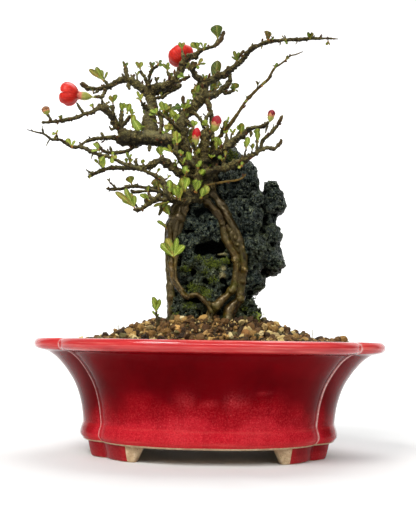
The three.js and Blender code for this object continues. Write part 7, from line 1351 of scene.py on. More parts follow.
# ------------------------------------------------------------------ flowers and buds
def basis(axis, roll=0.0):
    z = np.asarray(axis, float); z /= np.linalg.norm(z)
    ref = np.array([0, 0, 1.0]) if abs(z[2]) <= 0.9 else np.array([1.0, 0, 0])
    x = np.cross(ref, z); x /= np.linalg.norm(x); y = np.cross(z, x)
    c, s = math.cos(roll), math.sin(roll)
    return np.stack([x * c + y * s, -x * s + y * c, z], 1)

def petal_mesh(mid, R, H, seed, spread=1.0, open_=0.0, lift=0.0, nl=19, nw=15):
    """cupped petal of a five-petalled blossom, as a thin closed skin in flower coordinates"""
    t = 1 - (1 - np.linspace(0, 1, nl)) ** 1.25; f = np.linspace(-1, 1, nw); T, Fm = np.meshgrid(t, f, indexing="ij")
    prof_r = np.interp(t, [0, 0.12, 0.28, 0.45, 0.62, 0.78, 0.9, 1.0], [0.12, 0.40, 0.72, 0.94, 1.04, 1.02, 0.92 + 0.1 * open_, 0.76 + 0.3 * open_])
    prof_h = np.interp(t, [0, 0.12, 0.28, 0.45, 0.62, 0.78, 0.9, 1.0], [0.0, 0.05, 0.20, 0.41, 0.63, 0.82, 0.94, 1.0])
    # half width in mm: a short claw, then a broad round blade
    wid = np.where(t < 0.55, np.interp(t, [0, 0.10, 0.25, 0.42, 0.55], [0.12, 0.26, 0.66, 0.93, 1.0]), np.sqrt(np.clip(1 - ((t - 0.55) / 0.455) ** 2, 0.004, 1))) * 0.80 * spread
    rad = np.maximum(prof_r, 0.3)[:, None]
    a = mid + Fm * (wid / rad[:, 0])[:, None] * (1 + 0.04 * np.sin(8 * T + seed))
    ruffle = 0.020 * np.sin(6 * Fm + seed) * T ** 2 + 0.05 * (fbm(np.stack([Fm * 2, T * 3, 0 * T + seed], -1), 1.0, 2, 3) - 0.5)
    cup = 0.13 * (1 - Fm ** 2) * np.sin(math.pi * np.clip(T, 0, 1)) - 0.02
    r = R * (prof_r[:, None] + ruffle + cup + lift) * 0.94 + 0.6
    h = H * (prof_h[:, None] + 0.010 * np.sin(9 * Fm + seed) * T ** 3)
    X = np.stack([r * np.cos(a), r * np.sin(a), h], -1)
    du = np.gradient(X, axis=0); dv = np.gradient(X, axis=1); N = np.cross(dv, du); N /= np.linalg.norm(N, axis=-1, keepdims=True) + 1e-9
    top = X + N * 0.16; bot = X - N * 0.16
    V = np.concatenate([top.reshape(-1, 3), bot.reshape(-1, 3)]); m = nl * nw; F = []
    for p in range(nl - 1):
        for q in range(nw - 1):
            a0, b0, c0, d0 = p * nw + q, p * nw + q + 1, (p + 1) * nw + q + 1, (p + 1) * nw + q
            F.append([a0, b0, c0, d0]); F.append([m + d0, m + c0, m + b0, m + a0])
    edge = [p * nw for p in range(nl)] + [(nl - 1) * nw + q for q in range(1, nw)] + [p * nw + nw - 1 for p in range(nl - 2, -1, -1)] + [q for q in range(nw - 2, 0, -1)]
    for i in range(len(edge)):
        p, q = edge[i], edge[(i + 1) % len(edge)]; F.append([p, m + p, m + q, q])
    return V, np.array(F), np.concatenate([T.ravel()] * 2), np.concatenate([Fm.ravel() * 0.5 + 0.5] * 2)

def lathe(prof, sides, lobes=0, depth=0.0, seed=0):
    prof = np.asarray(prof, float); n = len(prof); th = 2 * math.pi * np.arange(sides) / sides
    r = prof[:, 0][:, None] * (1 + depth * np.cos(lobes * th)[None, :] + 0.03 * np.sin(3 * th + seed)[None, :])
    V = np.stack([r * np.cos(th), r * np.sin(th), np.broadcast_to(prof[:, 1][:, None], r.shape)], -1).reshape(-1, 3)
    i = np.arange(sides); j = (i + 1) % sides
    F = np.concatenate([np.c_[k * sides + i, k * sides + j, (k + 1) * sides + j, (k + 1) * sides + i] for k in range(n - 1)])
    a = len(V); V = np.vstack([V, [0, 0, prof[0, 1]], [0, 0, prof[-1, 1]]]); m = (n - 1) * sides
    tri = np.vstack([np.c_[np.full(sides, a), j, i], np.c_[np.full(sides, a + 1), m + i, m + j]])
    return V, F, tri

def calyx_lobe(ang, r, h0, ln, wd, out):
    """small pointed sepal"""
    t = np.linspace(0, 1, 6); f = np.linspace(-1, 1, 5); T, Fm = np.meshgrid(t, f, indexing="ij")
    w = np.interp(t, [0, 0.3, 0.7, 1], [0.9, 1.0, 0.6, 0.12]) * wd
    rr = r + out * T ** 1.5 + 0.15 * (1 - Fm ** 2); hh = h0 + ln * T
    a = ang + Fm * (w[:, None] / (2 * r))
    X = np.stack([rr * np.cos(a), rr * np.sin(a), hh], -1); N = np.stack([np.cos(a), np.sin(a), 0 * a], -1)
    top = X + N * 0.16; bot = X - N * 0.16; nl, nw = 6, 5
    V = np.concatenate([top.reshape(-1, 3), bot.reshape(-1, 3)]); m = nl * nw; F = []
    for p in range(nl - 1):
        for q in range(nw - 1):
            a0, b0, c0, d0 = p * nw + q, p * nw + q + 1, (p + 1) * nw + q + 1, (p + 1) * nw + q
            F.append([a0, b0, c0, d0]); F.append([m + d0, m + c0, m + b0, m + a0])
    edge = [p * nw for p in range(nl)] + [(nl - 1) * nw + q for q in range(1, nw)] + [p * nw + nw - 1 for p in range(nl - 2, -1, -1)] + [q for q in range(nw - 2, 0, -1)]
    for i in range(len(edge)):
        p, q = edge[i], edge[(i + 1) % len(edge)]; F.append([p, m + p, m + q, q])
    return V, np.array(F)

def build_flower(label, origin, axis, R, H, calyx_len, roll, mats, twist=0.0):
    B = basis(axis, roll); O = np.asarray(origin, float)
    at = lambda v: O + v @ B.T
    petals = []
    for k in range(5):
        # the side towards the picture shows two rounded petals with a notch between them; those behind are a little shorter
        side = label == "flower_left"; hk = H * ((1.0, 0.98, 0.80, 0.80, 1.02)[k] if side else 1 - 0.05 * (k % 2))
        s = Soup(); v, f, al, ac = petal_mesh(2 * math.pi * k / 5, R * (0.97 if side and k in (2, 3) else 1.0), hk, 3.1 * k + roll, spread=0.90 if side else 1.0, lift=0.04 * (k % 2), open_=-0.1 if side else 0.1 + 0.2 * rnd(k, 5))
        s.add(at(v), None, f, along=al, across=ac)
        if k in (1, 3):     # smaller inner petal of a part-double blossom, tucked behind its neighbour
            v, f, al, ac = petal_mesh(2 * math.pi * (k + (0.5 if not side else 0.2)) / 5, R * 0.74, H * (0.74 if not side else 0.6), 5.7 * k, spread=0.72, open_=-0.1)
            s.add(at(v), None, f, along=al, across=ac)
        petals.append(s.build(f"{label}_petal_{k + 1}_skin", mats["petal"]))
    s = Soup()
    L = calyx_len
    prof = [[0.45, -L - 2.4], [0.55, -L - 1.2], [0.6, -L], [1.0, -L * 0.93], [2.1, -L * 0.80], [3.05, -L * 0.62], [3.5, -L * 0.42], [3.35, -L * 0.24], [3.0, -0.9], [3.2, -0.4], [2.4, -0.25]]
    v, f4, f3 = lathe(prof, 30, 5, 0.05); s.add(at(v), f3, f4, blush=smoothstep(-L * 0.45, -0.6, v[:, 2]))
    for k in range(5):
        v, f = calyx_lobe(2 * math.pi * (k + 0.5) / 5, 3.05, -0.9, 3.3, 3.2, 1.7); s.add(at(v), None, f, blush=np.full(len(v), 0.9))
    cal = s.build(f"{label}_calyx_tube", mats["calyx"])
    s = Soup()
    for i in range(26):
        a = i * 2.39996; rr = 0.35 + 2.1 * math.sqrt((i + 0.5) / 26); h = H * (0.34 + 0.2 * rnd(i, 3))
        p0 = np.array([0.5 * math.cos(a), 0.5 * math.sin(a), 0.1]); p1 = np.array([rr * 0.8 * math.cos(a), rr * 0.8 * math.sin(a), h * 0.6]); p2 = np.array([rr * math.cos(a), rr * math.sin(a), h])
        t = np.linspace(0, 1, 6)[:, None]; P = (1 - t) ** 2 * p0 + 2 * t * (1 - t) * p1 + t * t * p2
        Q = np.c_[at(P), np.full(6, 0.11)]; v, f4, f3 = tube(Q, np.linspace(0, h, 6), 5, i, rough=0.02, wander=0.02); s.add(v, f3, f4, tip=0.0)
        c = at(p2[None])[0]; t = np.linspace(-1, 1, 5); ax = B[:, 2]
        Q = np.c_[c + np.outer(t * 0.42, ax), 0.34 * np.sqrt(np.clip(1.06 - t * t, 0.06, 1))]; v, f4, f3 = tube(Q, np.linspace(0, 0.9, 5), 6, i + 50, rough=0.05, wander=0.02); s.add(v, f3, f4, tip=1.0)
    for i in range(5):
        a = i * 1.2566; P = np.array([[0.2 * math.cos(a), 0.2 * math.sin(a), 0.2], [0.3 * math.cos(a), 0.3 * math.sin(a), H * 0.35], [0.6 * math.cos(a), 0.6 * math.sin(a), H * 0.55]])
        Q = np.c_[at(P), [0.16, 0.14, 0.22]]; v, f4, f3 = tube(Q, np.array([0, 3., 6.]), 5, i + 90, rough=0.02, wander=0.0); s.add(v, f3, f4, tip=0.4)
    st = s.build(f"{label}_stamen_bunch", mats["stamen"])
    return petals, cal, st

def build_bud(label, neck, axis, r, petal_len, calyx_len, mats, roll=0.3):
    B = basis(axis, roll); O = np.asarray(neck, float); at = lambda v: O + v @ B.T
    s = Soup(); n = 5
    # overlapping petals wound round each other
    for k in range(n):
        t = np.linspace(0, 1, 12); f = np.linspace(-1, 1, 9); T, Fm = np.meshgrid(t, f, indexing="ij")
        rad = np.interp(t, [0, 0.15, 0.4, 0.65, 0.85, 0.96, 1], [0.55, 0.86, 1.0, 0.92, 0.62, 0.3, 0.06]) * r
        a = 2 * math.pi * k / n + 0.55 * T + Fm * 0.86 * np.interp(t, [0, 0.5, 1], [0.9, 1.0, 0.8])[:, None]
        rr = rad[:, None] * (1 + 0.05 * Fm + 0.015 * np.sin(5 * T + k)); hh = calyx_len * 0.82 + (petal_len + 0.18 * calyx_len) * T * (1 - 0.03 * Fm ** 2)
        X = np.stack([rr * np.cos(a), rr * np.sin(a), hh], -1); N = np.stack([np.cos(a), np.sin(a), 0 * a], -1); nl, nw = 12, 9
        V = np.concatenate([(X + N * 0.10).reshape(-1, 3), (X - N * 0.12).reshape(-1, 3)]); m = nl * nw; F = []
        for p in range(nl - 1):
            for q in range(nw - 1):
                a0, b0, c0, d0 = p * nw + q, p * nw + q + 1, (p + 1) * nw + q + 1, (p + 1) * nw + q
                F.append([a0, b0, c0, d0]); F.append([m + d0, m + c0, m + b0, m + a0])
        edge = [p * nw for p in range(nl)] + [(nl - 1) * nw + q for q in range(1, nw)] + [p * nw + nw - 1 for p in range(nl - 2, -1, -1)] + [q for q in range(nw - 2, 0, -1)]
        for i in range(len(edge)):
            p, q = edge[i], edge[(i + 1) % len(edge)]; F.append([p, m + p, m + q, q])
        s.add(at(V), None, np.array(F), along=np.concatenate([T.ravel() * 0.75 + 0.1] * 2), across=np.concatenate([Fm.ravel() * 0.5 + 0.5] * 2))
    pet = s.build(f"{label}_petals_wound", mats["bud"])
    s = Soup(); L = calyx_len
    prof = [[0.7, -0.4], [0.9, L * 0.06], [r * 0.72, L * 0.3], [r * 0.92, L * 0.58], [r * 0.88, L * 0.82], [r * 0.90, L * 0.98], [r * 0.6, L]]
    v, f4, f3 = lathe(prof, 22, 5, 0.05); s.add(at(v), f3, f4, blush=smoothstep(L * 0.4, L * 1.1, v[:, 2]) * 0.8)
    for k in range(5):
        v, f = calyx_lobe(2 * math.pi * (k + 0.5) / 5, r * 0.9, L * 0.86, r * 0.75 + 0.4, r * 0.95, 0.12); s.add(at(v), None, f, blush=np.full(len(v), 0.6))
    cal = s.build(f"{label}_calyx_cup", mats["calyx"])
    return pet, cal

FLOWERS = [("flower_left", (-106.7, 2.0, 276.8), (-0.992, -0.091, 0.084), 8.2, 14.2, 11.0, 0.49), ("flower_top", (-23.6, 5.5, 305.8), (-0.421, 0.340, 0.841), 9.2, 12.5, 6.5, 0.9)]
BUDS = [("bud_far_left", (-122.4, -43.5, 249.7), (-0.359, -0.078, 0.930), 2.90, 3.54, 2.90), ("bud_centre", (-13.9, -29.0, 229.8), (0.127, -0.266, 0.956), 3.10, 6.76, 8.27),
        ("bud_upper", (-0.1, -27.5, 242.2), (0.290, -0.191, 0.938), 3.60, 6.53, 6.53), ("bud_right", (42.3, -30.5, 250.2), (0.207, -0.054, 0.977), 2.70, 4.61, 4.61)]

# ------------------------------------------------------------------ soil
ICO_V = None
def ico(sub):
    g = (1 + 5 ** 0.5) / 2
    V = [(-1, g, 0), (1, g, 0), (-1, -g, 0), (1, -g, 0), (0, -1, g), (0, 1, g), (0, -1, -g), (0, 1, -g), (g, 0, -1), (g, 0, 1), (-g, 0, -1), (-g, 0, 1)]
    F = [(0, 11, 5), (0, 5, 1), (0, 1, 7), (0, 7, 10), (0, 10, 11), (1, 5, 9), (5, 11, 4), (11, 10, 2), (10, 7, 6), (7, 1, 8), (3, 9, 4), (3, 4, 2), (3, 2, 6), (3, 6, 8), (3, 8, 9), (4, 9, 5), (2, 4, 11), (6, 2, 10), (8, 6, 7), (9, 8, 1)]
    V = [np.array(v, float) / np.linalg.norm(v) for v in V]
    for _ in range(sub):
        mid = {}; G = []
        def m(a, b):
            k = (min(a, b), max(a, b))
            if k not in mid:
                p = V[a] + V[b]; V.append(p / np.linalg.norm(p)); mid[k] = len(V) - 1
            return mid[k]
        for a, b, c in F:
            x, y, z = m(a, b), m(b, c), m(c, a); G += [(a, x, z), (x, b, y), (z, y, c), (x, y, z)]
        F = G
    return np.array(V), np.array(F)

TINTS = [(0.36, lin(78, 52, 26), lin(118, 86, 46)), (0.58, lin(40, 26, 13), lin(72, 50, 27)), (0.83, lin(126, 92, 46), lin(182, 144, 80)), (0.91, lin(190, 164, 102), lin(226, 204, 144)), (0.925, lin(128, 86, 42), lin(152, 108, 58)), (1.01, lin(68, 60, 32), lin(104, 94, 54))]

def grains(s, P, R, rng, sub, squash=0.34, col=None):
    """irregular crushed grains at the points P"""
    V0, F0 = ico(sub); n = len(P); m = len(V0)
    # each grain: random stretch, random turn, a few flattened faces
    st = 1 + squash * (rng.random((n, 1, 3)) - 0.5) * 2
    q = rng.normal(size=(n, 4)); q /= np.linalg.norm(q, axis=1)[:, None]
    w, x, y, z = q.T
    M = np.stack([np.stack([1 - 2 * (y * y + z * z), 2 * (x * y - z * w), 2 * (x * z + y * w)], -1), np.stack([2 * (x * y + z * w), 1 - 2 * (x * x + z * z), 2 * (y * z - x * w)], -1), np.stack([2 * (x * z - y * w), 2 * (y * z + x * w), 1 - 2 * (x * x + y * y)], -1)], 1)
    V = np.broadcast_to(V0, (n, m, 3)).copy()
    for _ in range(6):
        d = rng.normal(size=(n, 1, 3)); d /= np.linalg.norm(d, axis=2)[..., None]
        h = 0.48 + 0.38 * rng.random((n, 1)); dd = (V * d).sum(2); cut = np.maximum(dd - h, 0)
        V -= d * (cut * 0.85)[..., None]
    V *= 1 + 0.17 * (rng.random((n, m, 1)) - 0.5) * 2
    V = V * st * R[:, None, None]
    V = np.einsum("nij,nmj->nmi", M, V) + P[:, None, :]
    F = (F0[None] + (np.arange(n) * m)[:, None, None]).reshape(-1, 3)
    if col is None:
        u = rng.random(n); t = rng.random((n, 1)); col = np.zeros((n, 3)); lo = 0
        for hi, a, b in TINTS:
            k = (u >= lo) & (u < hi); col[k] = np.array(a) * (1 - t[k]) + np.array(b) * t[k]; lo = hi
    s.add(V.reshape(-1, 3), F, tint=np.repeat(col, m, 0)); return col

def soil_z(x, y):
    """height of the mound: falls from the stone to just inside the lip, slightly hummocky"""
    th = np.arctan2(y / 80.0, x / 123.0)
    k = inner_share(x, y)
    z = SOIL_EDGE + SOIL_RISE * 0.5 * (1 + np.cos(np.pi * np.clip(k, 0, 1) ** 1.34))
    r = smoothstep(0, 55, x); z = z - 2.6 * r * np.exp(-((k - 0.55) / 0.15) ** 2) + 3.6 * r * np.exp(-((k - 0.845) / 0.06) ** 2) - 2.0 * (1 - r) * np.exp(-((k - 0.66) / 0.13) ** 2)
    z = z - 5.0 * np.exp(-((x + 39) / 4.6) ** 2 - ((y + 34) / 9.0) ** 2)
    return z + 2.6 * (fbm(np.stack([x, y, 0 * x], -1), 18, 3, 61) - 0.5)

_s = np.linspace(0, 4, 721); _x, _y = plan(_s); _ang = np.unwrap(np.arctan2(_y, _x * 1.0))
_order = np.argsort(np.mod(np.arctan2(_y * half_y(119.4), _x * 119.4), 2 * np.pi))
_A = np.mod(np.arctan2(_y * half_y(119.4), _x * 119.4), 2 * np.pi)[_order]; _Rr = np.hypot(_x * 119.4, _y * half_y(119.4))[_order]
def inner_share(x, y):
    a = np.mod(np.arctan2(y, x), 2 * np.pi)
    return np.hypot(x, y) / np.interp(a, _A, _Rr, period=2 * np.pi)

def build_soil(mat, rock_mat_unused=None):
    rng = np.random.default_rng(7)
    # the bed under the grains
    s = Soup(); ks = np.r_[np.linspace(0.02, 0.9, 28), [0.95, 0.985, 0.995]]; n = 180
    sv = np.linspace(0, 4, n, endpoint=False); px, py = plan(sv); rings = []
    for k in ks:
        x, y = px * 119.0 * k, py * half_y(119.0) * k
        z = soil_z(x, y) - 1.2 + 1.6 * (fbm(np.c_[x, y, 0 * x], 3.0, 3, 8) - 0.5) * 2
        rings.append(np.c_[x, y, z])
    x, y = px * 114.0, py * half_y(114.0); rings.append(np.c_[x, y, np.full(n, 75.0)])
    V = np.concatenate(rings); i = np.arange(n); j = (i + 1) % n
    F = np.concatenate([np.c_[r * n + i, r * n + j, (r + 1) * n + j, (r + 1) * n + i] for r in range(len(rings) - 1)])[:, ::-1]
    c0 = np.vstack([V, [0, 0, soil_z(np.array([0.0]), np.array([0.0]))[0] - 1.2]])
    tri = np.c_[np.full(n, len(V)), i, j]
    # underside so that the bed is one closed body
    m = (len(rings) - 1) * n; c0 = np.vstack([c0, [0, 0, 75.0]]); bot = np.c_[np.full(n, len(V) + 1), m + j, m + i]
    col = np.array(lin(70, 54, 36))[None] * (0.8 + 0.5 * fbm(c0, 2.0, 2, 4))[:, None]
    s.add(c0, np.vstack([tri, bot]), F, tint=col)
    base = s.build("soil_bed", mat)
    # grains: even scatter by jittered grid, then dropped on the mound in three sizes
    big, small = Soup(), Soup()
    def scatter(step, jit):
        g = np.arange(-135, 135, step); X, Y = np.meshgrid(g, np.arange(-105, 105, step)); P = np.c_[X.ravel(), Y.ravel()] + (rng.random((X.size, 2)) - 0.5) * step * jit
        return P[inner_share(P[:, 0], P[:, 1]) < 0.987]
    P = scatter(4.9, 1.25); R = 1.0 + 2.3 * rng.random(len(P)) ** 1.9
    k = inner_share(P[:, 0], P[:, 1]); P = P[k < 0.975]; R = R[k < 0.975]
    in_rock = rock_field(np.c_[P, soil_z(P[:, 0], P[:, 1])].astype(np.float32), False) < -5
    P, R = P[~in_rock], R[~in_rock]
    Z = soil_z(P[:, 0], P[:, 1]) - 0.25 + R * (0.1 + 0.55 * rng.random(len(P)))
    col = grains(big, np.c_[P, Z], R, rng, 1, squash=0.42)
    # crumbs stuck to the larger grains
    k = rng.random(len(P)) < 0.7; n2 = int(k.sum()); a = rng.random(n2) * 6.283; off = np.c_[np.cos(a), np.sin(a), 0.7 * (rng.random(n2) - 0.3)] * (R[k] * 0.8)[:, None]
    grains(small, np.c_[P, Z][k] + off, R[k] * (0.45 + 0.35 * rng.random(n2)), rng, 0, col=col[k] * (0.75 + 0.5 * rng.random((n2, 1))))
    P = scatter(2.2, 1.1); R = 0.55 + 0.7 * rng.random(len(P)) ** 1.3
    in_rock = rock_field(np.c_[P, soil_z(P[:, 0], P[:, 1])].astype(np.float32), False) < -4
    P, R = P[~in_rock], R[~in_rock]
    Z = soil_z(P[:, 0], P[:, 1]) - 0.3 + 0.9 * rng.random(len(P))
    keep = rng.random(len(P)) < 0.80
    grains(small, np.c_[P, Z][keep], R[keep], rng, 0)
    # a few larger single grains that stand out in the picture
    marks = [(181.5, 318.5, 2.6, lin(228, 210, 160)), (188, 316, 2.8, lin(218, 188, 120)), (175, 317.5, 2.4, lin(130, 98, 60)), (207.5, 316.5, 2.3, lin(196, 150, 86)), (163, 320.5, 2.2, lin(120, 88, 54)), (146, 323.5, 3.0, lin(206, 172, 108)), (150, 328, 2.6, lin(150, 128, 82)), (123.5, 329.5, 2.3, lin(84, 66, 42)), (113, 333, 2.0, lin(70, 56, 36)),
             (293, 333, 2.3, lin(200, 178, 120)), (287, 336, 2.4, lin(214, 190, 132)), (276, 335, 2.4, lin(206, 184, 130)), (264.5, 327, 2.8, lin(196, 166, 108)), (259.5, 334, 2.8, lin(222, 200, 144)), (245, 329.5, 2.0, lin(206, 176, 114)), (230.5, 335.5, 3.2, lin(224, 206, 150)), (242, 337, 2.4, lin(204, 178, 116)), (304, 336, 2.0, lin(120, 96, 58)), (321, 338, 2.2, lin(86, 66, 42)), (334.5, 338, 2.8, lin(72, 62, 42)), (279, 325.5, 2.3, lin(168, 130, 78)),
             (132, 336, 2.0, lin(206, 178, 118)), (160, 336, 2.4, lin(196, 164, 104)), (186, 336.5, 2.6, lin(216, 196, 144)), (205, 333, 2.2, lin(188, 150, 92)), (177, 328, 2.3, lin(206, 160, 92)), (120, 334, 2.0, lin(188, 148, 88))]
    for px, py, r, c in marks:
        best = None
        for yy in np.linspace(-80, -10, 60):
            p = unproj(px, py, yy)
            if p[2] <= soil_z(np.array([p[0]]), np.array([p[1]]))[0] + r * 0.5: best = p; break
        if best is None: continue
        t = Soup(); grains(t, np.array([best]), np.array([r]), rng, 2); v = t.v[0]
        big.add(v, t.f3[0], tint=np.tile(np.array(c), (len(v), 1)))
    b = big.build("soil_grains_large", mat, False); c = small.build("soil_grains_small", mat, False)
    return base, b, c

# ------------------------------------------------------------------ moss
def build_moss(mat, rock_pts, rock_nor, moss):
    """cushions of short upright stems on the stone"""
    rng = np.random.default_rng(11); s = {"upper": Soup(), "middle": Soup(), "lower": Soup(), "film": Soup()}
    target = 2600
    idx = np.where(moss > 0.5)[0]
    if len(idx) == 0: return []
    w = moss[idx] ** 2; pick = rng.choice(idx, size=target, p=w / w.sum())
    groups = {"upper": (9, 145), "middle": (-9, 141), "lower": (-5, 124)}
    for i in pick:
        p = rock_pts[i] + rng.normal(size=3) * 0.5; n = rock_nor[i]; front = n[1] < 0.2
        g = "film"
        if front:
            for k, (gx, gz) in groups.items():
                if abs(p[0] - gx) < 12 and abs(p[2] - gz) < 6.5: g = k; break
        h = (0.8 + 1.1 * rng.random()) * (1.0 if g != "film" else 0.75)
        d = n * 0.9 + np.array([0, 0, 0.5]) + rng.normal(size=3) * 0.35; d /= np.linalg.norm(d)
        u = np.cross(d, [0.3, 0.1, 0.9]); u /= np.linalg.norm(u) + 1e-9; v = np.cross(d, u); r = 0.30 + 0.18 * rng.random()
        b = p - n * 0.3; a0 = rng.random() * 6.28
        ring = lambda t, k: [b + d * h * t + (u * math.cos(a0 + q * 2.094) + v * math.sin(a0 + q * 2.094)) * r * k for q in range(3)]
        V = np.array(ring(0, 0.7) + ring(0.45, 1.0) + [b + d * h]); F = [[0, 1, 4], [0, 4, 3], [1, 2, 5], [1, 5, 4], [2, 0, 3], [2, 3, 5], [3, 4, 6], [4, 5, 6], [5, 3, 6], [0, 2, 1]]
        t = rng.random(); base = np.array(lin(54, 68, 16)) * (1 - t) + np.array(lin(116, 130, 42)) * t
        col = np.vstack([np.tile(base * 0.55, (3, 1)), np.tile(base, (3, 1)), base[None] * 1.35])
        s[g].add(V, np.array(F), tint=np.clip(col, 0, 1))
    return {k: x.build(f"moss_tufts_{k}", mat, False) for k, x in s.items() if x.n}

# ------------------------------------------------------------------ drain screens and clips
def build_screen(name, x, mat):
    s = Soup(); n = 11; half = 13.3; z = 18.85; t = np.linspace(-half, half, 45)
    for k in range(n):
        c = -half + 2 * half * k / (n - 1)
        for axis in (0, 1):
            wave = 0.26 * np.cos(math.pi * (t + half) / (2 * half) * (n - 1) + math.pi * (k + axis))
            P = np.c_[x + t, np.full(len(t), c), z + wave] if axis == 0 else np.c_[x + np.full(len(t), c), t, z + wave]
            R = np.c_[P, np.full(len(t), 0.27)]; v, f4, f3 = tube(R, t + half, 5, k, rough=0.03, wander=0); s.add(v, f3, f4)
    return s.build(name, mat)

def build_clip(name, x, mat):
    z1, z0, c = 18.3 + 1.1 + 1.0, 9.9, 25.4 / 4.4
    pts = [[x - 14.4, 0, z0 - .1, .6], [x - 10, 0, z0, .6], [x - c - 1.6, 0, z0, .6], [x - c - .5, 0, z0 + .5, .6], [x - c, 0, z0 + 1.8, .6], [x - c, 0, z1 - 1.2, .6], [x - c + .4, 0, z1 - .2, .6], [x - c + 1.4, 0, z1, .6],
           [x + c - 1.4, 0, z1, .6], [x + c - .4, 0, z1 - .2, .6], [x + c, 0, z1 - 1.2, .6], [x + c, 0, z0 + 1.8, .6], [x + c + .5, 0, z0 + .5, .6], [x + c + 1.6, 0, z0, .6], [x + 10, 0, z0, .6], [x + 14.4, 0, z0 - .1, .6]]
    R, L = curve(pts, 0.5); s = Soup(); v, f4, f3 = tube(R, L, 10, 3, rough=0.02, wander=0); s.add(v, f3, f4)
    return s.build(name, mat)

# ------------------------------------------------------------------ put together
glaze, clay = make_glaze(), make_clay()
rock_m = make_rock()
bark_c, bark_s = make_bark("bark_crown", 0), make_bark("bark_strands", 1)
leaf_m = make_leaf()
petal_m = make_petal("petal_red", lin(174, 22, 14), lin(206, 46, 30), lin(238, 116, 92), lin(122, 5, 8))
bud_m = make_petal("petal_bud", lin(158, 8, 16), lin(200, 28, 34), lin(226, 92, 92), lin(104, 2, 10))
bud_dark = make_petal("petal_bud_dark", lin(98, 6, 22), lin(144, 20, 40), lin(172, 60, 78), lin(64, 2, 12))
bud_pale = make_petal("petal_bud_dull", lin(132, 20, 30), lin(178, 52, 56), lin(206, 112, 104), lin(92, 8, 18))
bud_brown = make_petal("petal_bud_brown", lin(92, 58, 34), lin(138, 92, 58), lin(158, 112, 84), lin(66, 38, 22))

def make_calyx():
    m = Mat("calyx_green").set(rough=0.45, spec=0.36, sss=0.08, sss_scale=0.002)
    g = m.ramp(m.noise(2.0, 3, 0.6), [(0.3, lin(112, 122, 40)), (0.7, lin(158, 152, 70))])
    r = m.ramp(m.noise(1.6, 3, 0.6), [(0.3, lin(178, 74, 62)), (0.7, lin(214, 122, 100))])
    col = m.mix(m.remap(m.attr("blush"), 0.2, 0.9), g, r)
    col = m.mix(m.remap(m.noise(0.8, 2, 0.6), 0.6, 0.74, 0, 0.5), col, lin(112, 60, 40))
    m.color(col); m.bump(m.noise(0.9, 3, 0.6), 0.3, 0.12)
    return m.m

def make_stamen():
    m = Mat("stamen_yellow").set(rough=0.5, spec=0.3, sss=0.05, sss_scale=0.002)
    col = m.mix(m.attr("tip"), m.ramp(m.noise(1.5, 2), [(0.3, lin(224, 196, 120)), (0.7, lin(238, 214, 150))]), m.ramp(m.noise(0.5, 3), [(0.3, lin(218, 164, 40)), (0.7, lin(246, 208, 84))]))
    m.color(col); m.bump(m.noise(0.25, 3, 0.6), 0.5, 0.08)
    return m.m
calyx_m, stamen_m = make_calyx(), make_stamen()
soil_m = make_tinted("soil_grain", 0.8, 1.1, 0.7)
moss_m = make_tinted("moss_stems", 0.85, 0.6, 0.4)
pumice_m = make_two_tone("pumice", lin(168, 156, 124), lin(206, 196, 168), lin(120, 104, 78), 0.85, 4.0, 0.8)
screen_m = make_two_tone("screen_plastic", lin(26, 28, 30), lin(46, 50, 52), lin(80, 80, 76), 0.55, 2.0, 0.3)
wire_m = make_two_tone("wire_annealed", lin(96, 76, 60), lin(142, 118, 96), lin(70, 60, 50), 0.4, 2.5, 0.25); wire_m.node_tree.nodes["Principled BSDF"].inputs["Metallic"].default_value = 0.7

pot = finish_piece(build_pot(glaze, clay), ("pot",))
finish_piece(build_feet(glaze, clay)); finish_piece(build_pot_floor(clay))
for side, x in (("left", -DRAIN_X), ("right", DRAIN_X)):
    finish_piece(build_screen(f"woven_screen_{side}", x, screen_m), (f"drain_screen_{side}",))
    finish_piece(build_clip(f"bent_clip_{side}", x, wire_m), (f"screen_clip_{side}",))

rock_o, RV, RN, RM = build_rock(rock_m, MOSS_SPOTS, PALE_SPOTS)
finish_piece(rock_o, ("rock",))
mosses = build_moss(moss_m, RV, RN, RM)
for k, o in mosses.items():
    finish_piece(o, (f"moss_{k}",) if k != "film" else ())

base, big, small = build_soil(soil_m)
finish_piece(base, ("soil",)); finish_piece(big); finish_piece(small)

woods, CURVES, STUBS, TIPS = build_wood(bark_c, bark_s, GREY_SPOTS)
for k, o in enumerate(woods): finish_piece(o, ("tree",) if k == 0 else ())

leaf_nodes = [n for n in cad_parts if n.startswith(("leaf_", "leaves_")) and n != "leaves_sucker"]
LL = build_leaves(leaf_m, STUBS, CURVES)
for k, o in LL.items():
    mine = [n for n in leaf_nodes if ("left" in n) == (k == "leaves_left")] if k == "leaves_left" else [n for n in leaf_nodes if "left" not in n and (("root" in n or "trunk" in n or "low" in n or "limb" in n or "elbow" in n or "centre" in n) == (k == "leaves_low"))]
    o.name = "foliage_" + k.split("_")[1]; finish_piece(o, mine)

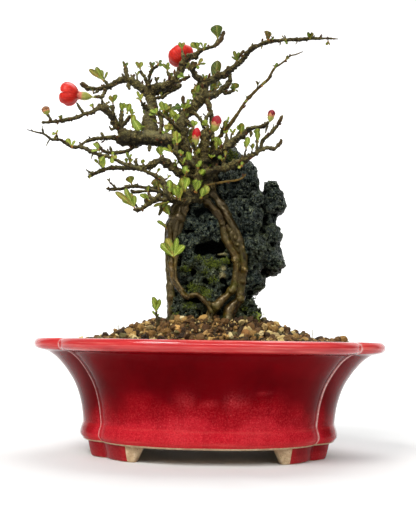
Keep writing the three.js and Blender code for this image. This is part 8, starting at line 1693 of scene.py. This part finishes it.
# young shoot that comes up from the soil on the left, with its own small leaves
def build_sucker():
    s = Soup(); R, L = curve([[a, b - 8.0, (c - 3.0 if c < 95 else c), r] for a, b, c, r in dict(SUCKER_PTS)["sucker"]], 0.6); v, f4, f3 = tube(R, L, 10, 77, rough=0.1, knots=0.35, gap=3.2, wander=0.1)
    s.add(v, f3, f4, ridge=np.full(len(v), 0.5), tone=np.full(len(v), 0.1), top=np.full(len(v), 0.3)); st = s.build("sucker_stem", bark_c)
    t = Soup(); end = R[-1, :3]
    rows = [(end, (-0.22, -0.2, 1.0), 9.5, 2.5), (end, (0.3, -0.25, 1.0), 6.8, 2.2), (end + [0, 0, -3.0], (-0.5, 0.0, 0.9), 4.6, 1.9), (end + [0, 0, -4.5], (0.55, 0.1, 0.8), 4.2, 1.8), (end + [0, 0, -0.6], (0.1, 0.5, 0.9), 6.0, 2.4)]
    for i, (b, d, ln, wd) in enumerate(rows):
        d = np.array(d); d /= np.linalg.norm(d); v, f, al, rb, ve, rim = blade(b, np.asarray(b) + d * ln, wd, (-d[0], -1.0, 0.4), 600 + i)
        t.add(v, None, f, shade=0.12 + 0.08 * i, along=al, rib=rb, vein=ve, red=0.0, edge=rim)
    return st, t.build("sucker_foliage", leaf_m)
SUCKER_PTS = [
  ('sucker', [[-39.1, -20.0, 93.6, 1.12], [-38.8, -20.0, 99.6, 1.05], [-39.5, -20.0, 102.5, 0.90], [-40.6, -20.0, 105.9, 0.82]]),
]
st, sl = build_sucker(); finish_piece(st, ("sucker_sprout",)); finish_piece(sl, ("leaves_sucker",))

for (label, O, A, R_, H_, CL, ROLL) in FLOWERS:
    pet, cal, sta = build_flower(label, O, A, R_, H_, CL, ROLL, {"petal": petal_m, "calyx": calyx_m, "stamen": stamen_m})
    for k, p in enumerate(pet): finish_piece(p, (f"{label}_petal_{k + 1}",))
    finish_piece(cal, (f"{label}_calyx",)); finish_piece(sta, (f"{label}_stamens",))
for (label, O, A, r_, pl, cl) in BUDS:
    pet, cal = build_bud(label, O, A, r_, pl, cl, {"bud": {"bud_upper": bud_pale, "bud_right": bud_dark, "bud_far_left": bud_brown}.get(label, bud_m), "calyx": calyx_m})
    finish_piece(pet, (f"{label}_petals",)); finish_piece(cal, (f"{label}_calyx",))

# a green sprig and hair-fine grasses at the foot of the stone and out on the soil
def on_soil(px, py, far=-10.0):
    for yy in np.linspace(-80, far, 60):
        p = unproj(px, py, yy)
        if p[2] <= soil_z(np.array([p[0]]), np.array([p[1]]))[0]: return p
    return unproj(px, py, -30.0)
def build_grass():
    s = Soup()
    def hair(pts, r0, seed):
        P = np.array(pts, float); Q = np.c_[P, r0 * np.linspace(1, 0.5, len(P))]; R, L = curve(Q.tolist(), 0.5); v, f4, f3 = tube(R, L, 6, seed, rough=0.05, wander=0.1); s.add(v, f3, f4, shade=0.55, along=0.5, rib=0.0, vein=0.0, red=0.35, edge=0.2)
    y0 = -22.0
    U = lambda *q: [unproj(px, py, y0 + dy) for px, py, dy in q]
    hair(U((258.5, 325, 0), (259.5, 320, -1), (261.5, 316.5, -1.5), (264.5, 312.5, -2)), 0.22, 1); hair(U((261.5, 316.5, -1.5), (261.8, 313, -2), (260.5, 310.5, -2)), 0.16, 2); hair(U((262.8, 314.5, -1.5), (265.5, 314.5, -2.2)), 0.14, 3)
    for k, (px, py) in enumerate(((312, 338.5), (118, 333.0))):
        b = on_soil(px, py); hair([b, b + [0.4, 0, 2.6], b + [0.2, 0, 5.0], b + [0.9, 0, 7.4]], 0.22, 5 + k); hair([b + [0.3, 0, 3.0], b + [1.6, -0.3, 4.2]], 0.15, 8 + k); hair([b + [0.3, 0, 4.2], b + [-1.2, -0.2, 5.4]], 0.15, 11 + k)
    for k in range(9):
        b = unproj(257.6 + 0.5 * rnd(k, 3), 323.5 - k * 1.2, -20 - 3 * rnd(k, 4)); a = rnd(k, 5) * 6.28; d = np.array([0.7 * math.cos(a) + 0.35, -0.3 * abs(math.sin(a)), 0.8])
        v, f, al, rb, ve, rim = blade(b, b + d * (1.8 + 1.4 * rnd(k, 6)), 1.1, (-d[0], -1.0, 0.3), 700 + k, nl=6, nw=3); s.add(v, None, f, shade=0.15 + 0.4 * rnd(k, 7), along=al, rib=rb, vein=ve, red=0.0, edge=rim)
    return s.build("sprig_and_grass", leaf_m)
finish_piece(build_grass())

# the pumice layer keeps its own shape; it is only seen through the drain screens
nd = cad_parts["drainage_layer"]; nd.data.materials.clear(); nd.data.materials.append(pumice_m)

# ------------------------------------------------------------------ stage, light, camera
def make_floor(name):
    """pale matt paper, lit like the room in front and melting into white behind"""
    m = Mat(name).set(spec=0.15); m.color(m.ramp(m.noise(60, 4, 0.6), [(0.2, (0.70, 0.70, 0.695)), (0.8, (0.735, 0.735, 0.73))]))
    m.roughness(m.remap(m.noise(30, 3), 0.3, 0.7, 0.6, 0.75))
    m.b.inputs["Emission Color"].default_value = (1, 1, 0.985, 1); m.nt.links.new(m.remap(m.attr("glow"), 0.0, 1.0, 0.0, 0.62), m.b.inputs["Emission Strength"])
    return m.m
prof = [(-1600, 0), (0, 0), (1100, 0)]
for k in range(1, 13):
    a = math.pi / 2 * k / 12; prof.append((1100 + 500 * math.sin(a), 500 * (1 - math.cos(a))))
prof += [(1600, 2600)]
W = 2600; xs = np.array([-2600, -1500, -1000, -700, -500, -360, -260, -180, -110, -50, 0, 50, 110, 180, 260, 360, 500, 700, 1000, 1500, 2600.0])
ys = [p for p in prof]; fine = [(-1600, 0), (-1000, 0), (-700, 0), (-480, 0), (-340, 0), (-240, 0), (-160, 0), (-90, 0), (-30, 0), (30, 0), (90, 0), (160, 0), (240, 0), (340, 0), (480, 0), (700, 0)] + prof[2:]
V = np.array([(x, y, z) for (y, z) in fine for x in xs], float); nx = len(xs)
F = np.array([[a * nx + b, a * nx + b + 1, (a + 1) * nx + b + 1, (a + 1) * nx + b] for a in range(len(fine) - 1) for b in range(nx - 1)])
glow = np.clip(smoothstep(150, 620, np.hypot(V[:, 0] / 1.25, V[:, 1])) * smoothstep(-500, 60, V[:, 1]) + smoothstep(0, 300, V[:, 2]), 0, 1)
floor = mesh_object("studio_floor", V, [F], make_floor("studio_floor"), True, {"glow": glow})

def area(name, loc, target, size, size_y, power, color=(1, 1, 1)):
    l = bpy.data.lights.new(name, "AREA"); l.shape = "RECTANGLE"; l.size = size; l.size_y = size_y; l.energy = power; l.color = color
    o = bpy.data.objects.new(name, l); o.location = loc; d = Vector(target) - Vector(loc); o.rotation_euler = d.to_track_quat("-Z", "Y").to_euler()
    bpy.context.scene.collection.objects.link(o); return o
area("key", (-0.50, -0.80, 1.15), (0, 0, 0.16), 0.62, 0.40, 15, (1.0, 0.99, 0.97))
area("strip", (0.0, -1.15, 0.72), (0, 0, 0.12), 1.7, 0.14, 8, (1.0, 0.99, 0.98))
area("fill", (0.9, -0.9, 0.75), (0, 0, 0.16), 0.6, 0.6, 2.5, (0.97, 0.98, 1.0))
area("top", (0.15, 0.45, 1.3), (0, 0, 0.15), 1.0, 0.8, 11)
world = bpy.data.worlds.new("studio"); bpy.context.scene.world = world; world.use_nodes = True
bg = world.node_tree.nodes["Background"]; bg.inputs["Color"].default_value = (0.93, 0.96, 1.0, 1); bg.inputs["Strength"].default_value = 0.26

cam_d = bpy.data.cameras.new("camera"); cam = bpy.data.objects.new("camera", cam_d); bpy.context.scene.collection.objects.link(cam)
cam_d.sensor_width = 36.0; cam_d.sensor_fit = "AUTO"; cam_d.lens = 36.0 * FPX / 518.0; cam_d.clip_start = 0.01; cam_d.clip_end = 20
M = Matrix.Identity(4)
for k in range(3):
    M[k][0], M[k][1], M[k][2] = float(RT[k]), float(UPV[k]), float(-FWD[k]); M[k][3] = float(CAM[k]) * 0.001
cam.matrix_world = M
bpy.context.scene.camera = cam
bpy.context.scene.view_settings.view_transform = "Standard"
bpy.context.scene.view_settings.look = "None"
